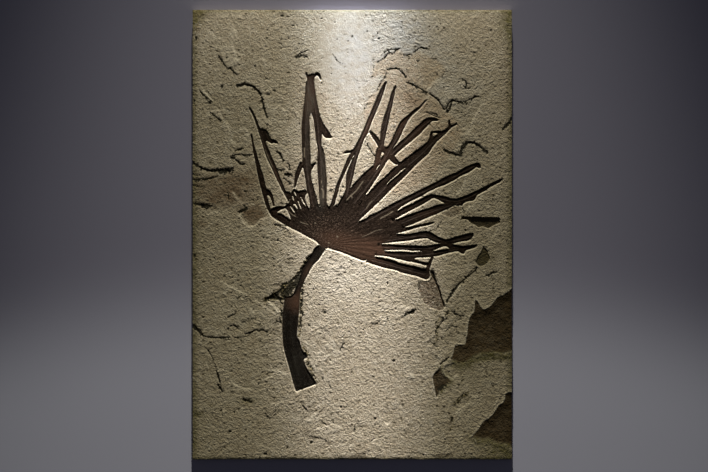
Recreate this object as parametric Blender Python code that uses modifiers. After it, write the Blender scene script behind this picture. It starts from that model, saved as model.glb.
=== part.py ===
"""Fossil palm frond in a limestone slab, lying on its flat sawn underside.

Metres, +Z up. The slab's long side runs along Y, its short side along X, and the
face that carries the frond points up. The origin is the middle of the underside.
"""
import math

import bmesh
import bpy
from mathutils import Matrix, Vector

# ---------------------------------------------------------------- dimensions
UNIT = 0.00191          # one step of the drawing grid the outlines are written on
MID_U, MID_V = 352.25, 234.65   # grid point above the slab's centre
SLAB_W = 0.6100         # X
SLAB_L = 0.8590         # Y
SLAB_T = 0.0220         # Z
EDGE_CHAMFER = 0.0008   # sawn arrises, just eased

RECESS = 0.0032         # depth of the bed the frond lies in, below the face
FILM_GAP = 0.0003       # clearance between the plant film and its bed
FILM_T = 0.0013         # thickness of the carbonised plant film
STALK_T = 0.0016        # the leaf stalk is a little thicker than the blade
WALL_GAP = 0.0005       # clearance between the film's edge and the bed's wall
PLEAT_R = 0.0010        # size of the fold lines pressed into the film
ON_LINE = 0.07          # grid steps: an outline point this near the line past it is left out
LONGEST = 16.0          # grid steps: the longest straight run that leaving points out may make

STEP1_DEEP, STEP1_FROM, STEP1_TO = 0.0042, 292.0, 402.0   # broken corner, upper flake
STEP2_DEEP, STEP2_FROM, STEP2_TO = 0.0040, 392.0, 464.0   # broken corner, lower flake
POCKET_DEEP = 0.0032
PATCH_DEEP = 0.0018
SCRAP_DEEP = 0.0007

STONE = (0.42, 0.37, 0.28, 1.0)
BLADE = (0.075, 0.052, 0.047, 1.0)
STALK = (0.040, 0.032, 0.028, 1.0)

# ---------------------------------------------------------------- outlines, in grid steps (u right, v down)
PETIOLE = [
    (319.2, 245.2), (316.4, 246.8), (314.2, 248.8), (313.2, 252.0), (311.5, 255.0), (309.5, 258.0),
    (307.3, 261.0), (305.2, 264.5), (303.2, 267.5), (301.6, 270.5), (300.8, 274.0), (299.8, 279.0),
    (298.3, 283.5), (296.6, 287.0), (295.4, 290.5), (293.6, 294.0), (291.0, 296.5), (284.8, 297.0),
    (284.5, 301.0), (283.7, 307.0), (283.0, 312.0), (282.4, 320.0), (282.2, 330.0), (282.7, 338.0),
    (283.0, 344.0), (284.1, 350.0), (285.6, 356.0), (287.0, 360.5), (288.3, 365.0), (289.7, 370.0),
    (291.0, 375.0), (292.3, 380.0), (293.7, 385.0), (295.0, 389.0), (296.1, 391.6), (300.0, 389.9),
    (305.0, 388.0), (310.0, 386.3), (316.4, 383.9), (314.6, 381.0), (312.6, 378.0), (310.5, 374.5),
    (308.0, 371.0), (306.0, 368.0), (304.5, 364.0), (303.4, 360.2), (304.6, 358.6), (306.6, 358.0),
    (307.0, 356.0), (306.0, 353.6), (304.0, 352.4), (302.1, 350.5), (300.6, 347.0), (299.7, 343.0),
    (298.5, 340.0), (296.7, 337.0), (296.9, 333.0), (297.6, 328.0), (298.1, 323.0), (298.3, 317.0),
    (299.2, 311.0), (299.4, 305.0), (299.6, 299.0), (300.0, 294.0), (300.8, 290.0), (302.2, 286.0),
    (303.8, 282.5), (305.3, 279.0), (307.0, 275.8), (309.0, 272.0), (311.0, 268.3), (313.2, 264.8),
    (315.8, 262.2), (318.5, 259.8), (321.0, 256.0), (323.5, 252.2), (325.8, 249.1),
]

FAN = [
    (319.5, 244.7), (317.2, 242.4), (315.0, 240.4), (310.0, 238.0), (305.0, 235.3), (300.0, 232.5),
    (295.0, 230.0), (290.0, 227.5), (285.0, 224.7), (280.0, 221.7), (275.0, 218.7), (271.6, 216.3),
    (269.8, 213.6), (268.5, 211.2), (270.9, 210.0), (272.0, 208.5), (275.0, 207.4), (279.0, 206.4),
    (281.2, 206.3), (282.8, 206.9), (285.0, 206.6), (286.6, 205.2), (288.0, 203.9), (289.6, 202.8),
    (290.6, 198.0), (291.6, 193.4), (293.0, 190.2), (294.4, 188.8), (296.4, 190.6), (299.0, 191.6),
    (302.0, 190.4), (305.2, 189.6), (306.3, 190.9), (307.0, 192.6), (305.8, 195.2), (304.6, 198.2),
    (305.4, 201.4), (306.6, 205.4), (308.4, 208.6), (309.9, 209.5), (318.4, 206.4), (319.0, 206.7),
    (328.5, 207.8), (329.1, 207.9), (334.4, 206.2), (337.0, 206.5), (346.0, 203.0), (346.6, 202.7),
    (359.6, 204.7), (360.0, 205.6), (357.3, 222.4), (357.6, 223.2), (363.2, 227.0), (366.2, 225.7),
    (370.2, 223.7), (374.2, 221.7), (378.2, 220.1), (380.6, 219.2), (385.2, 216.0), (388.2, 214.2),
    (391.2, 212.6), (394.2, 212.0), (396.3, 212.3), (391.2, 219.5), (391.2, 220.2), (403.0, 227.9),
    (402.8, 228.4), (390.3, 234.3), (389.8, 235.5), (378.0, 243.9), (378.0, 245.2), (375.0, 255.6),
    (374.0, 256.5), (364.6, 261.0), (360.0, 259.6), (355.0, 257.7), (350.0, 255.7), (345.0, 253.6),
    (340.0, 251.6), (335.0, 250.2), (331.0, 249.2), (328.0, 247.7), (326.2, 248.6), (325.6, 248.7),
]
FAN_ISLANDS = [
    [(276.4, 212.6), (278.5, 211.0), (281.0, 209.4), (283.5, 208.3), (286.0, 208.1), (287.4, 210.0),
     (288.6, 213.0), (289.8, 216.0), (291.2, 219.8), (289.4, 219.4), (286.4, 217.4), (283.4, 215.4), (280.0, 213.8)],
    [(291.9, 196.2), (292.9, 195.6), (293.9, 198.6), (294.3, 201.0), (292.9, 200.8), (291.9, 199.0)],
    [(293.4, 192.4), (294.4, 191.4), (295.6, 193.4), (296.8, 196.4), (295.2, 196.0), (293.9, 194.4)],
    [(289.3, 206.4), (290.7, 206.0), (292.4, 208.4), (294.4, 211.4), (295.6, 213.8), (293.6, 212.8), (291.2, 209.8)],
    [(292.8, 204.6), (295.0, 203.4), (296.6, 206.0), (298.0, 208.6), (297.0, 209.8), (294.6, 207.0)],
    [(297.3, 201.0), (298.5, 200.8), (299.6, 204.0), (300.8, 207.2), (301.6, 209.8), (300.2, 209.4), (298.8, 206.6), (297.9, 203.6)],
    [(300.0, 196.8), (301.1, 197.0), (302.6, 199.8), (304.4, 203.2), (306.2, 206.6), (304.9, 206.2), (303.2, 204.2), (301.2, 200.8)],
]

FAR_LEFT = [
    (250.6, 133.6), (252.4, 136.5), (253.0, 141.0), (254.0, 146.0), (255.6, 152.0), (257.4, 158.0),
    (259.2, 164.0), (260.8, 170.0), (262.8, 175.0), (263.9, 180.0), (265.0, 185.0), (266.0, 189.0),
    (268.2, 189.9), (270.2, 191.3), (271.8, 194.2), (273.0, 198.0), (273.8, 202.0), (274.1, 205.6),
    (272.9, 205.9), (272.2, 203.0), (271.3, 200.0), (270.1, 197.2), (268.4, 195.0), (266.9, 195.2),
    (267.3, 199.0), (268.4, 203.0), (269.4, 206.8), (270.4, 209.4), (268.2, 210.7), (266.6, 207.6),
    (265.3, 204.0), (264.1, 200.0), (263.0, 196.0), (261.9, 192.0), (260.7, 188.0), (259.7, 184.0),
    (258.8, 180.0), (257.9, 176.0), (257.0, 171.5), (256.2, 167.0), (255.3, 162.0), (254.3, 157.0),
    (253.3, 152.0), (252.4, 147.0), (251.8, 142.0), (251.2, 138.0),
]

LEFT = [
    (248.9, 107.8), (250.5, 111.0), (252.5, 115.0), (254.2, 119.0), (255.6, 123.0), (257.0, 127.0),
    (258.2, 131.0), (259.5, 135.0), (260.8, 139.0), (262.0, 143.0), (263.2, 147.0), (264.4, 151.0),
    (265.7, 155.0), (267.2, 159.0), (268.9, 162.5), (270.4, 165.5), (271.9, 168.5), (273.5, 172.0),
    (275.2, 176.0), (277.1, 180.0), (279.1, 184.0), (281.1, 188.0), (283.2, 192.0), (285.3, 195.8),
    (287.3, 199.4), (288.7, 202.0), (289.9, 197.8), (290.8, 193.4), (288.6, 191.8), (286.0, 191.9),
    (284.6, 190.0), (283.6, 187.0), (282.4, 184.0), (281.0, 181.0), (279.8, 178.0), (278.6, 175.0),
    (277.4, 172.0), (276.3, 169.0), (275.3, 166.0), (274.3, 163.5), (272.8, 160.5), (271.6, 158.0),
    (270.4, 155.0), (269.3, 152.0), (268.3, 149.5), (267.0, 147.0), (266.0, 144.0), (265.2, 141.4),
    (266.8, 140.6), (269.0, 141.8), (271.4, 143.6), (273.6, 142.4), (276.2, 143.4), (277.6, 142.8),
    (275.0, 140.6), (271.6, 139.2), (269.2, 138.0), (267.4, 135.4), (266.6, 133.4), (267.8, 132.6),
    (266.0, 130.4), (263.4, 129.6), (260.8, 130.4), (259.2, 127.5), (257.4, 123.0), (255.8, 118.5),
    (254.0, 114.5), (252.0, 110.5), (250.3, 107.6),
]

UPRIGHT_LEFT = [
    (305.4, 73.4), (306.3, 72.3), (308.0, 75.6), (309.4, 74.8), (312.0, 73.4), (312.4, 78.0),
    (312.5, 84.0), (312.3, 90.0), (312.0, 96.0), (311.7, 102.0), (311.2, 108.0), (310.7, 113.5),
    (309.0, 118.0), (309.2, 123.0), (309.6, 130.0), (309.6, 138.0), (309.8, 146.0), (310.2, 152.0),
    (310.6, 158.0), (310.4, 163.0), (310.8, 164.6), (313.2, 163.8), (315.6, 161.8), (315.2, 164.2),
    (313.2, 167.2), (311.4, 170.4), (310.8, 174.0), (311.0, 178.0), (311.7, 182.0), (312.8, 186.0),
    (314.0, 190.0), (315.2, 194.0), (316.3, 198.0), (317.3, 202.5), (318.0, 205.7), (310.0, 208.8),
    (309.9, 204.0), (309.2, 200.0), (308.6, 196.0), (307.8, 193.0), (306.8, 190.0), (306.2, 186.0),
    (305.6, 181.0), (304.8, 176.0), (304.2, 172.0), (303.4, 168.6), (302.6, 167.0), (301.4, 169.6),
    (299.9, 173.4), (298.4, 177.4), (297.0, 181.4), (296.1, 185.0), (295.2, 187.8), (293.9, 187.6),
    (294.4, 183.0), (294.7, 178.4), (295.4, 174.0), (297.0, 169.8), (298.8, 165.6), (300.5, 161.6),
    (302.4, 163.0), (302.5, 158.0), (302.2, 152.0), (301.9, 146.0), (301.8, 138.0), (301.7, 130.0),
    (301.9, 124.0), (302.5, 118.0), (303.0, 113.0), (303.5, 108.0), (304.4, 103.0), (305.0, 97.0),
    (305.4, 90.0), (306.0, 85.0), (307.6, 79.6), (306.2, 76.0),
]

UPRIGHT_RIGHT = [
    (312.7, 73.2), (314.2, 74.4), (316.0, 72.6), (318.2, 72.6), (320.0, 74.6), (321.2, 79.0),
    (319.8, 79.4), (318.8, 76.4), (316.8, 75.0), (314.6, 77.0), (313.9, 80.6), (314.2, 85.0),
    (314.9, 90.0), (315.6, 95.0), (316.4, 100.0), (317.4, 105.0), (318.4, 110.0), (319.4, 114.5),
    (320.6, 118.5), (322.4, 122.5), (324.8, 126.2), (327.4, 130.0), (329.8, 133.6), (331.8, 137.0),
    (331.0, 138.0), (328.4, 138.0), (325.4, 137.6), (323.4, 135.6), (321.8, 133.0), (321.5, 138.0),
    (321.4, 143.0), (321.5, 147.0), (323.4, 149.8), (324.2, 154.0), (324.9, 159.0), (325.3, 165.0),
    (325.8, 171.0), (326.4, 177.0), (326.8, 183.0), (326.6, 188.0), (326.4, 194.0), (326.2, 200.0),
    (326.9, 205.0), (328.2, 207.1), (319.2, 206.0), (319.6, 203.0), (319.3, 198.0), (319.1, 193.0),
    (318.8, 188.0), (318.4, 182.0), (317.9, 176.0), (317.5, 170.0), (317.3, 164.0), (317.4, 158.0),
    (317.9, 152.0), (317.4, 146.5), (316.2, 141.0), (315.6, 135.0), (315.0, 130.0), (314.2, 125.0),
    (313.6, 119.5), (312.3, 115.6), (311.4, 113.4), (311.9, 108.0), (312.4, 102.0), (312.7, 96.0),
    (313.0, 90.0), (313.2, 84.0), (313.1, 78.0),
]

STEEP = [
    (385.6, 81.4), (382.4, 86.6), (380.2, 91.0), (378.2, 95.0), (376.6, 98.6), (375.0, 103.0),
    (373.2, 107.0), (371.6, 111.0), (370.0, 115.0), (368.2, 119.0), (366.6, 123.0), (365.0, 127.0),
    (363.2, 131.0), (361.4, 135.0), (359.4, 139.0), (357.2, 143.0), (355.2, 146.6), (353.4, 149.4),
    (350.6, 150.8), (347.6, 150.8), (345.0, 151.6), (343.6, 153.0), (345.4, 153.4), (348.4, 152.6),
    (351.2, 152.8), (349.4, 156.0), (347.2, 160.0), (345.2, 165.0), (343.2, 170.5), (341.2, 175.5),
    (339.6, 178.8), (338.0, 182.0), (336.6, 186.0), (335.4, 189.6), (334.4, 194.0), (333.0, 198.0),
    (331.8, 202.0), (330.4, 205.6), (329.4, 207.3), (334.2, 205.6), (335.8, 200.0), (337.0, 196.0),
    (338.2, 192.0), (339.2, 188.0), (340.2, 184.0), (341.8, 180.0), (343.8, 175.5), (345.8, 171.0),
    (348.0, 166.4), (350.2, 161.6), (352.4, 157.4), (354.8, 153.6), (353.4, 158.0), (351.2, 163.0),
    (349.0, 168.0), (347.2, 173.0), (346.2, 178.0), (346.0, 184.0), (345.9, 189.0), (345.0, 192.4),
    (344.2, 194.6), (341.6, 198.6), (339.4, 202.4), (337.3, 205.9), (345.6, 202.5), (347.6, 196.0),
    (350.0, 188.6), (351.2, 184.4), (352.6, 179.0), (353.8, 174.0), (354.8, 169.0), (355.9, 164.0),
    (357.2, 159.0), (359.0, 154.0), (360.8, 149.0), (362.4, 144.0), (364.0, 139.6), (365.8, 136.0),
    (368.3, 132.4), (368.8, 130.2), (370.0, 127.0), (371.4, 123.0), (373.0, 119.0), (374.8, 115.0),
    (376.6, 111.0), (378.2, 107.0), (380.0, 103.0), (381.4, 99.0), (382.8, 95.0), (384.2, 90.6),
    (385.6, 86.0), (386.8, 82.0),
]

UPPER_PAIR = [
    (395.0, 85.6), (393.0, 90.0), (391.2, 95.0), (389.8, 100.0), (388.3, 105.0), (386.8, 110.0),
    (385.4, 114.0), (384.0, 118.0), (382.8, 122.0), (381.8, 126.0), (381.0, 130.0), (380.5, 135.0),
    (380.2, 140.0), (379.6, 141.2), (378.4, 138.8), (376.4, 136.2), (374.0, 133.8), (371.6, 131.6),
    (370.0, 130.4), (369.4, 132.4), (371.4, 135.8), (374.0, 139.6), (376.4, 143.4), (378.6, 147.2),
    (377.0, 148.6), (376.3, 152.0), (375.6, 156.0), (375.2, 160.0), (374.4, 162.4), (374.2, 165.0),
    (371.2, 167.2), (368.2, 169.8), (364.2, 173.4), (360.2, 177.4), (355.4, 182.4), (352.2, 186.2),
    (350.6, 188.8), (348.2, 196.2), (346.2, 202.3), (359.5, 204.3), (361.5, 200.4), (363.6, 197.6),
    (365.6, 194.2), (368.1, 191.2), (370.6, 187.6), (373.1, 183.6), (375.6, 179.8), (378.2, 175.8),
    (380.6, 172.0), (382.6, 168.6), (384.6, 165.2), (386.4, 162.2), (388.2, 159.9), (392.0, 149.5),
    (394.2, 146.6), (396.2, 143.8), (398.2, 140.8), (400.0, 137.4), (401.6, 133.8), (403.0, 130.0),
    (405.0, 126.5), (407.5, 121.5), (410.5, 117.0), (414.5, 113.0), (418.5, 109.5), (421.5, 106.0),
    (424.6, 102.2), (426.6, 99.4), (424.0, 101.6), (422.0, 104.6), (419.0, 107.2), (415.0, 109.2),
    (412.0, 111.8), (409.0, 114.8), (405.0, 117.8), (401.0, 121.4), (399.0, 125.0), (397.0, 129.0),
    (395.2, 133.0), (393.2, 137.0), (391.6, 141.0), (390.0, 144.0), (387.6, 147.0), (385.6, 147.4),
    (383.8, 145.8), (384.4, 141.6), (385.4, 137.0), (386.2, 133.0), (387.2, 129.0), (388.4, 124.0),
    (389.4, 119.0), (390.2, 114.0), (391.4, 109.0), (392.4, 105.0), (393.4, 100.0), (394.4, 95.0),
    (395.2, 90.0), (396.2, 86.4),
]
UPPER_PAIR_ISLANDS = [
    [(382.0, 151.0), (384.7, 154.0), (383.0, 156.0), (381.5, 158.0), (380.5, 160.0), (380.7, 156.0)],
    [(380.4, 164.3), (379.6, 166.4), (377.8, 168.9), (376.0, 170.7), (376.5, 168.3), (378.6, 165.3)],
]

INNER_RIGHT = [
    (438.6, 119.9), (435.6, 118.2), (433.0, 117.8), (430.0, 117.8), (427.0, 118.3), (424.4, 120.0),
    (421.4, 122.6), (419.0, 125.0), (416.0, 127.6), (413.4, 130.2), (411.0, 132.6), (408.6, 135.0),
    (406.2, 137.2), (404.0, 139.2), (401.0, 141.6), (398.0, 144.2), (395.6, 146.6), (392.7, 149.6),
    (388.9, 159.8), (391.2, 158.2), (393.6, 156.4), (396.2, 154.2), (399.2, 151.2), (402.2, 148.7),
    (405.2, 146.2), (408.2, 143.7), (411.2, 141.2), (414.2, 138.7), (417.2, 136.2), (420.2, 133.7),
    (422.4, 131.2), (424.6, 128.6), (427.2, 126.2), (429.6, 123.6), (431.6, 121.4), (433.6, 120.6),
    (436.0, 120.9),
]

OUTER_RIGHT = [
    (449.4, 119.4), (450.0, 122.0), (450.2, 124.8), (452.0, 125.0), (454.6, 124.2), (456.8, 122.6),
    (456.6, 124.2), (454.6, 125.6), (452.2, 126.8), (450.0, 129.0), (447.6, 131.4), (445.4, 133.8),
    (443.0, 136.0), (440.6, 138.4), (438.0, 140.6), (436.0, 142.6), (434.4, 144.6), (432.4, 147.2),
    (431.0, 149.6), (429.4, 152.2), (426.8, 155.2), (424.0, 157.6), (421.0, 160.2), (418.4, 162.6),
    (415.8, 165.0), (413.0, 167.8), (410.0, 171.0), (407.0, 174.0), (404.0, 177.2), (400.6, 180.4),
    (397.4, 183.4), (394.2, 186.6), (391.2, 189.4), (388.2, 192.4), (385.2, 195.4), (381.8, 199.0),
    (378.2, 202.6), (374.2, 206.2), (370.2, 210.0), (366.6, 213.2), (364.0, 215.6), (361.0, 218.6),
    (357.8, 221.6), (360.4, 204.4), (363.2, 199.4), (366.2, 195.6), (369.2, 192.6), (371.6, 189.8),
    (374.4, 187.0), (377.0, 183.8), (380.0, 181.0), (383.0, 178.6), (386.0, 176.0), (388.8, 173.4),
    (391.4, 170.4), (394.0, 168.2), (396.6, 166.2), (398.8, 164.6), (396.2, 164.6), (393.2, 163.0),
    (391.0, 160.8), (390.0, 159.6), (391.6, 158.6), (394.6, 156.3), (396.0, 158.6), (398.2, 161.4),
    (400.6, 162.4), (403.0, 160.8), (405.6, 158.6), (408.4, 156.6), (411.2, 154.4), (414.2, 152.0),
    (417.2, 150.0), (420.2, 148.0), (423.0, 146.0), (425.6, 143.8), (428.0, 141.4), (429.4, 139.0),
    (430.0, 136.4), (430.4, 134.0), (431.6, 131.4), (435.0, 131.1), (438.0, 130.9), (441.2, 131.3),
    (444.6, 130.3), (447.0, 128.4), (448.6, 126.6), (448.7, 124.0), (448.6, 121.6),
]
OUTER_RIGHT_ISLANDS = [
    [(432.4, 132.5), (435.4, 132.5), (438.8, 133.4), (436.8, 134.6), (434.9, 136.4), (433.6, 138.2), (432.7, 136.2)],
    [(406.8, 167.2), (404.8, 169.5), (401.3, 172.2), (398.3, 175.0), (395.3, 177.6), (392.3, 180.1), (389.3, 182.6),
     (387.0, 185.3), (386.5, 184.5), (388.7, 181.5), (391.7, 178.9), (394.7, 176.3), (397.7, 173.8), (400.7, 170.9), (404.1, 168.3)],
]

RIGHT_UPPER = [
    (480.6, 166.0), (479.6, 164.0), (478.0, 162.7), (474.4, 163.7), (471.0, 165.0), (467.0, 166.5),
    (463.5, 168.5), (460.2, 170.6), (457.0, 172.6), (453.0, 173.9), (449.2, 175.4), (445.4, 177.3),
    (441.4, 179.4), (437.4, 181.7), (433.4, 183.6), (429.2, 185.8), (425.2, 187.8), (421.2, 189.7),
    (417.2, 191.7), (413.2, 193.7), (409.2, 195.6), (405.2, 197.6), (401.2, 199.6), (397.2, 201.6),
    (393.2, 203.6), (390.0, 205.2), (386.2, 207.4), (382.2, 209.7), (378.2, 212.1), (374.2, 213.9),
    (370.0, 215.2), (368.2, 217.2), (366.0, 218.8), (362.0, 220.2), (358.2, 222.3), (358.3, 223.0),
    (363.3, 226.3), (366.0, 225.1), (370.0, 223.1), (374.0, 221.1), (378.0, 219.5), (380.4, 218.5),
    (385.0, 215.4), (388.0, 213.6), (391.0, 212.0), (394.0, 211.3), (396.7, 211.4), (398.2, 209.4),
    (399.8, 207.8), (401.2, 206.6), (404.2, 205.0), (406.2, 203.6), (410.2, 201.5), (414.2, 199.5),
    (418.2, 197.6), (421.2, 196.0), (424.2, 194.5), (427.2, 192.2), (431.2, 190.4), (434.2, 189.0),
    (437.2, 187.4), (440.2, 186.5), (443.2, 185.5), (447.2, 183.8), (451.2, 181.6), (454.2, 180.3),
    (457.2, 178.2), (460.2, 176.2), (464.2, 174.2), (468.2, 172.8), (471.0, 171.0), (474.0, 168.8),
    (476.2, 167.0), (478.2, 167.4), (480.4, 168.4),
]

RIGHT_MIDDLE = [
    (397.0, 211.9), (398.4, 210.9), (400.2, 209.6), (403.2, 207.6), (407.2, 206.1), (411.2, 204.1),
    (413.4, 203.5), (416.0, 201.6), (419.4, 199.9), (423.0, 198.1), (426.0, 196.4), (428.6, 195.3),
    (431.0, 194.5), (435.0, 194.8), (440.0, 196.0), (445.0, 196.6), (449.0, 198.0), (453.0, 199.0),
    (457.0, 199.0), (460.0, 198.0), (464.0, 196.5), (468.0, 195.0), (471.0, 193.5), (474.0, 192.2),
    (476.2, 191.2), (478.6, 190.2), (481.2, 188.9), (484.2, 187.3), (487.2, 185.6), (490.2, 184.2),
    (493.2, 182.6), (496.2, 181.1), (499.2, 179.8), (501.2, 179.0), (503.2, 178.2), (500.2, 181.9),
    (497.2, 183.4), (494.2, 184.9), (491.2, 186.4), (488.2, 188.5), (485.2, 190.5), (482.2, 192.2),
    (479.6, 193.6), (477.2, 195.0), (475.9, 197.5), (474.8, 199.6), (472.4, 200.6), (469.0, 201.0),
    (465.6, 202.0), (463.0, 203.6), (462.4, 205.8), (460.0, 205.4), (457.0, 205.3), (454.5, 205.0),
    (452.0, 206.4), (449.0, 208.0), (446.0, 209.5), (443.0, 211.0), (440.0, 212.4), (437.0, 213.8),
    (434.0, 215.0), (430.0, 216.5), (427.0, 218.0), (424.0, 219.1), (421.2, 220.4), (417.2, 222.0),
    (413.2, 223.9), (410.2, 225.0), (407.2, 226.0), (403.6, 227.4), (391.9, 219.9),
]
RIGHT_MIDDLE_ISLANDS = [
    [(394.4, 219.8), (396.2, 218.4), (398.6, 217.1), (401.4, 215.1), (405.2, 213.4), (409.2, 211.1), (413.2, 209.1),
     (417.2, 207.1), (421.2, 205.0), (424.2, 203.4), (427.2, 201.4), (430.0, 199.8), (432.0, 198.3), (434.2, 198.0),
     (437.0, 198.8), (440.0, 200.3), (442.2, 201.8), (445.2, 203.2), (444.0, 203.9), (442.0, 204.3), (438.0, 204.9),
     (434.0, 206.3), (430.0, 208.0), (427.0, 209.0), (424.0, 209.7), (420.0, 211.0), (416.0, 212.5), (412.0, 214.0),
     (407.2, 215.4), (404.2, 216.9), (401.2, 218.2), (397.2, 219.4)],
]

RIGHT_THIN = [
    (403.8, 227.9), (409.2, 227.1), (413.2, 226.2), (417.2, 225.5), (421.2, 224.5), (425.2, 223.7),
    (429.0, 223.0), (432.0, 222.2), (434.2, 221.8), (433.2, 223.0), (430.0, 224.2), (425.2, 225.4),
    (420.2, 226.5), (416.0, 227.7), (412.0, 229.0), (408.0, 230.4), (404.0, 231.6), (400.0, 232.6),
    (396.0, 233.6), (392.0, 234.5), (390.9, 234.5),
]

LOWER_UPPER = [
    (391.2, 235.4), (396.0, 234.5), (400.0, 234.0), (404.0, 234.5), (408.0, 234.5), (412.0, 233.7),
    (416.0, 233.0), (420.0, 232.0), (425.0, 231.3), (428.0, 231.6), (431.0, 232.8), (434.0, 234.5),
    (437.0, 236.5), (440.0, 237.8), (443.0, 239.0), (446.0, 239.8), (449.0, 239.5), (452.0, 238.2),
    (455.0, 237.0), (459.0, 236.2), (462.0, 235.3), (466.0, 234.3), (470.0, 233.3), (473.2, 233.0),
    (473.2, 235.4), (472.2, 237.4), (470.6, 239.2), (467.0, 241.0), (463.4, 241.0), (460.0, 241.6),
    (457.0, 242.4), (453.8, 243.6), (446.6, 243.9), (439.6, 243.4), (436.4, 242.5), (433.4, 241.2),
    (431.0, 240.2), (429.2, 239.0), (427.0, 238.0), (424.0, 238.2), (420.2, 238.7), (416.2, 239.3),
    (412.2, 240.1), (408.2, 240.5), (405.2, 241.1), (400.2, 241.4), (395.2, 241.9), (390.2, 242.5),
    (385.2, 243.1), (381.2, 243.6), (379.2, 243.8),
]

LOWER_MIDDLE = [
    (378.8, 244.8), (382.0, 244.5), (386.2, 244.5), (390.2, 244.6), (395.2, 245.1), (400.2, 245.4),
    (405.2, 245.6), (410.2, 245.6), (415.2, 245.8), (420.2, 246.1), (425.2, 246.4), (430.2, 245.6),
    (433.2, 245.1), (436.0, 244.5), (439.6, 244.1), (446.6, 244.6), (454.0, 244.4), (456.2, 245.3),
    (459.0, 246.0), (462.0, 246.3), (466.0, 245.9), (471.0, 245.5), (475.4, 245.0), (477.0, 244.6),
    (476.6, 246.2), (475.0, 247.4), (472.0, 248.4), (469.0, 249.4), (466.2, 250.2), (465.0, 252.0),
    (464.0, 253.7), (462.0, 253.6), (460.0, 252.4), (458.2, 251.2), (455.2, 251.3), (452.0, 252.0),
    (448.0, 253.0), (444.0, 253.9), (440.0, 255.2), (436.2, 256.2), (433.8, 256.4), (431.2, 256.9),
    (430.4, 257.0), (425.0, 257.4), (420.0, 257.4), (415.0, 257.8), (414.4, 259.2), (416.0, 260.4),
    (420.0, 261.6), (424.0, 262.4), (428.0, 262.6), (427.4, 263.8), (426.4, 265.3), (424.2, 265.1),
    (421.2, 264.0), (418.2, 263.0), (415.2, 262.7), (412.0, 261.7), (408.2, 261.5), (405.2, 260.8),
    (403.2, 260.0), (400.0, 259.5), (396.0, 258.5), (392.0, 257.5), (388.0, 256.5), (384.0, 255.9),
    (380.0, 255.5), (375.8, 255.7),
]
LOWER_MIDDLE_ISLANDS = [
    [(382.8, 250.2), (388.0, 249.9), (393.0, 249.85), (400.0, 249.7), (405.0, 249.9), (409.0, 250.2), (412.0, 250.9),
     (416.0, 250.7), (421.4, 250.8), (421.2, 251.8), (418.0, 252.2), (412.0, 252.5), (405.0, 252.05), (400.0, 251.9),
     (393.0, 252.0), (387.0, 251.7)],
    [(432.0, 250.8), (435.0, 249.8), (438.0, 248.5), (441.0, 247.2), (444.0, 246.2), (446.6, 246.1), (448.4, 247.5),
     (449.8, 249.0), (446.0, 249.5), (442.0, 250.0), (438.0, 250.7), (434.4, 251.4)],
]

LOWEST = [
    (375.0, 256.6), (380.0, 257.4), (384.0, 258.6), (388.0, 259.6), (392.0, 260.4), (396.0, 261.9),
    (400.0, 263.4), (404.0, 264.4), (408.0, 265.2), (412.0, 266.1), (416.0, 266.9), (420.0, 267.9),
    (423.5, 268.9), (425.8, 269.1), (426.7, 267.4), (427.2, 265.8), (428.3, 263.6), (429.2, 261.8),
    (430.6, 259.0), (431.4, 257.4), (433.6, 256.9), (432.3, 261.0), (431.0, 264.6), (430.0, 268.0),
    (429.2, 271.4), (429.6, 273.2), (429.9, 276.0), (429.0, 278.0), (427.0, 279.2), (425.0, 279.4),
    (422.0, 278.1), (419.0, 276.9), (415.0, 275.6), (410.0, 274.6), (405.0, 273.4), (400.0, 271.7),
    (395.0, 269.9), (390.0, 268.9), (385.0, 267.9), (380.0, 266.4), (375.0, 264.9), (370.0, 263.2),
    (365.3, 261.3),
]

STEP1 = [
    (520.0, 283.0), (512.0, 288.0), (510.0, 290.0), (508.5, 291.5), (506.0, 293.0), (504.0, 294.5),
    (501.5, 295.8), (499.0, 296.5), (497.0, 298.0), (495.5, 300.0), (494.0, 302.0), (492.0, 304.5),
    (490.0, 306.5), (488.0, 308.0), (486.0, 309.3), (484.0, 309.3), (482.0, 308.3), (480.5, 306.5),
    (479.5, 304.5), (478.3, 302.5), (476.8, 300.8), (475.2, 299.5), (474.8, 302.0), (474.6, 306.0),
    (474.5, 310.0), (473.5, 313.0), (471.5, 315.0), (470.0, 317.0), (469.0, 320.0), (468.0, 325.0),
    (467.5, 330.0), (467.0, 335.0), (466.0, 340.0), (465.3, 344.5), (463.0, 345.0), (460.0, 344.8),
    (457.0, 345.2), (454.5, 346.0), (454.0, 350.0), (453.0, 354.0), (451.5, 357.0), (450.0, 359.0),
    (447.0, 360.0), (444.5, 361.0), (441.5, 362.5), (440.0, 365.0), (439.5, 368.0), (438.0, 370.0),
    (435.5, 372.0), (433.5, 374.5), (432.2, 377.5), (433.0, 380.0), (433.0, 383.0), (434.0, 386.0),
    (434.8, 390.0), (435.5, 395.0), (436.5, 403.0), (520.0, 403.0),
]
STEP2 = [
    (520.0, 388.0), (512.0, 391.5), (509.0, 392.5), (506.5, 393.5), (505.0, 394.5), (505.0, 397.0),
    (504.7, 400.0), (503.5, 402.5), (501.0, 404.0), (499.0, 405.0), (497.5, 407.5), (496.0, 410.0),
    (494.0, 413.0), (491.5, 416.0), (489.0, 418.5), (486.0, 420.0), (484.0, 421.0), (482.5, 423.0),
    (480.5, 426.0), (479.0, 428.5), (477.0, 431.0), (475.5, 433.0), (473.5, 435.0), (472.0, 437.0),
    (476.0, 442.0), (484.0, 448.0), (494.0, 453.0), (506.0, 456.0), (520.0, 457.0),
]
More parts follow.
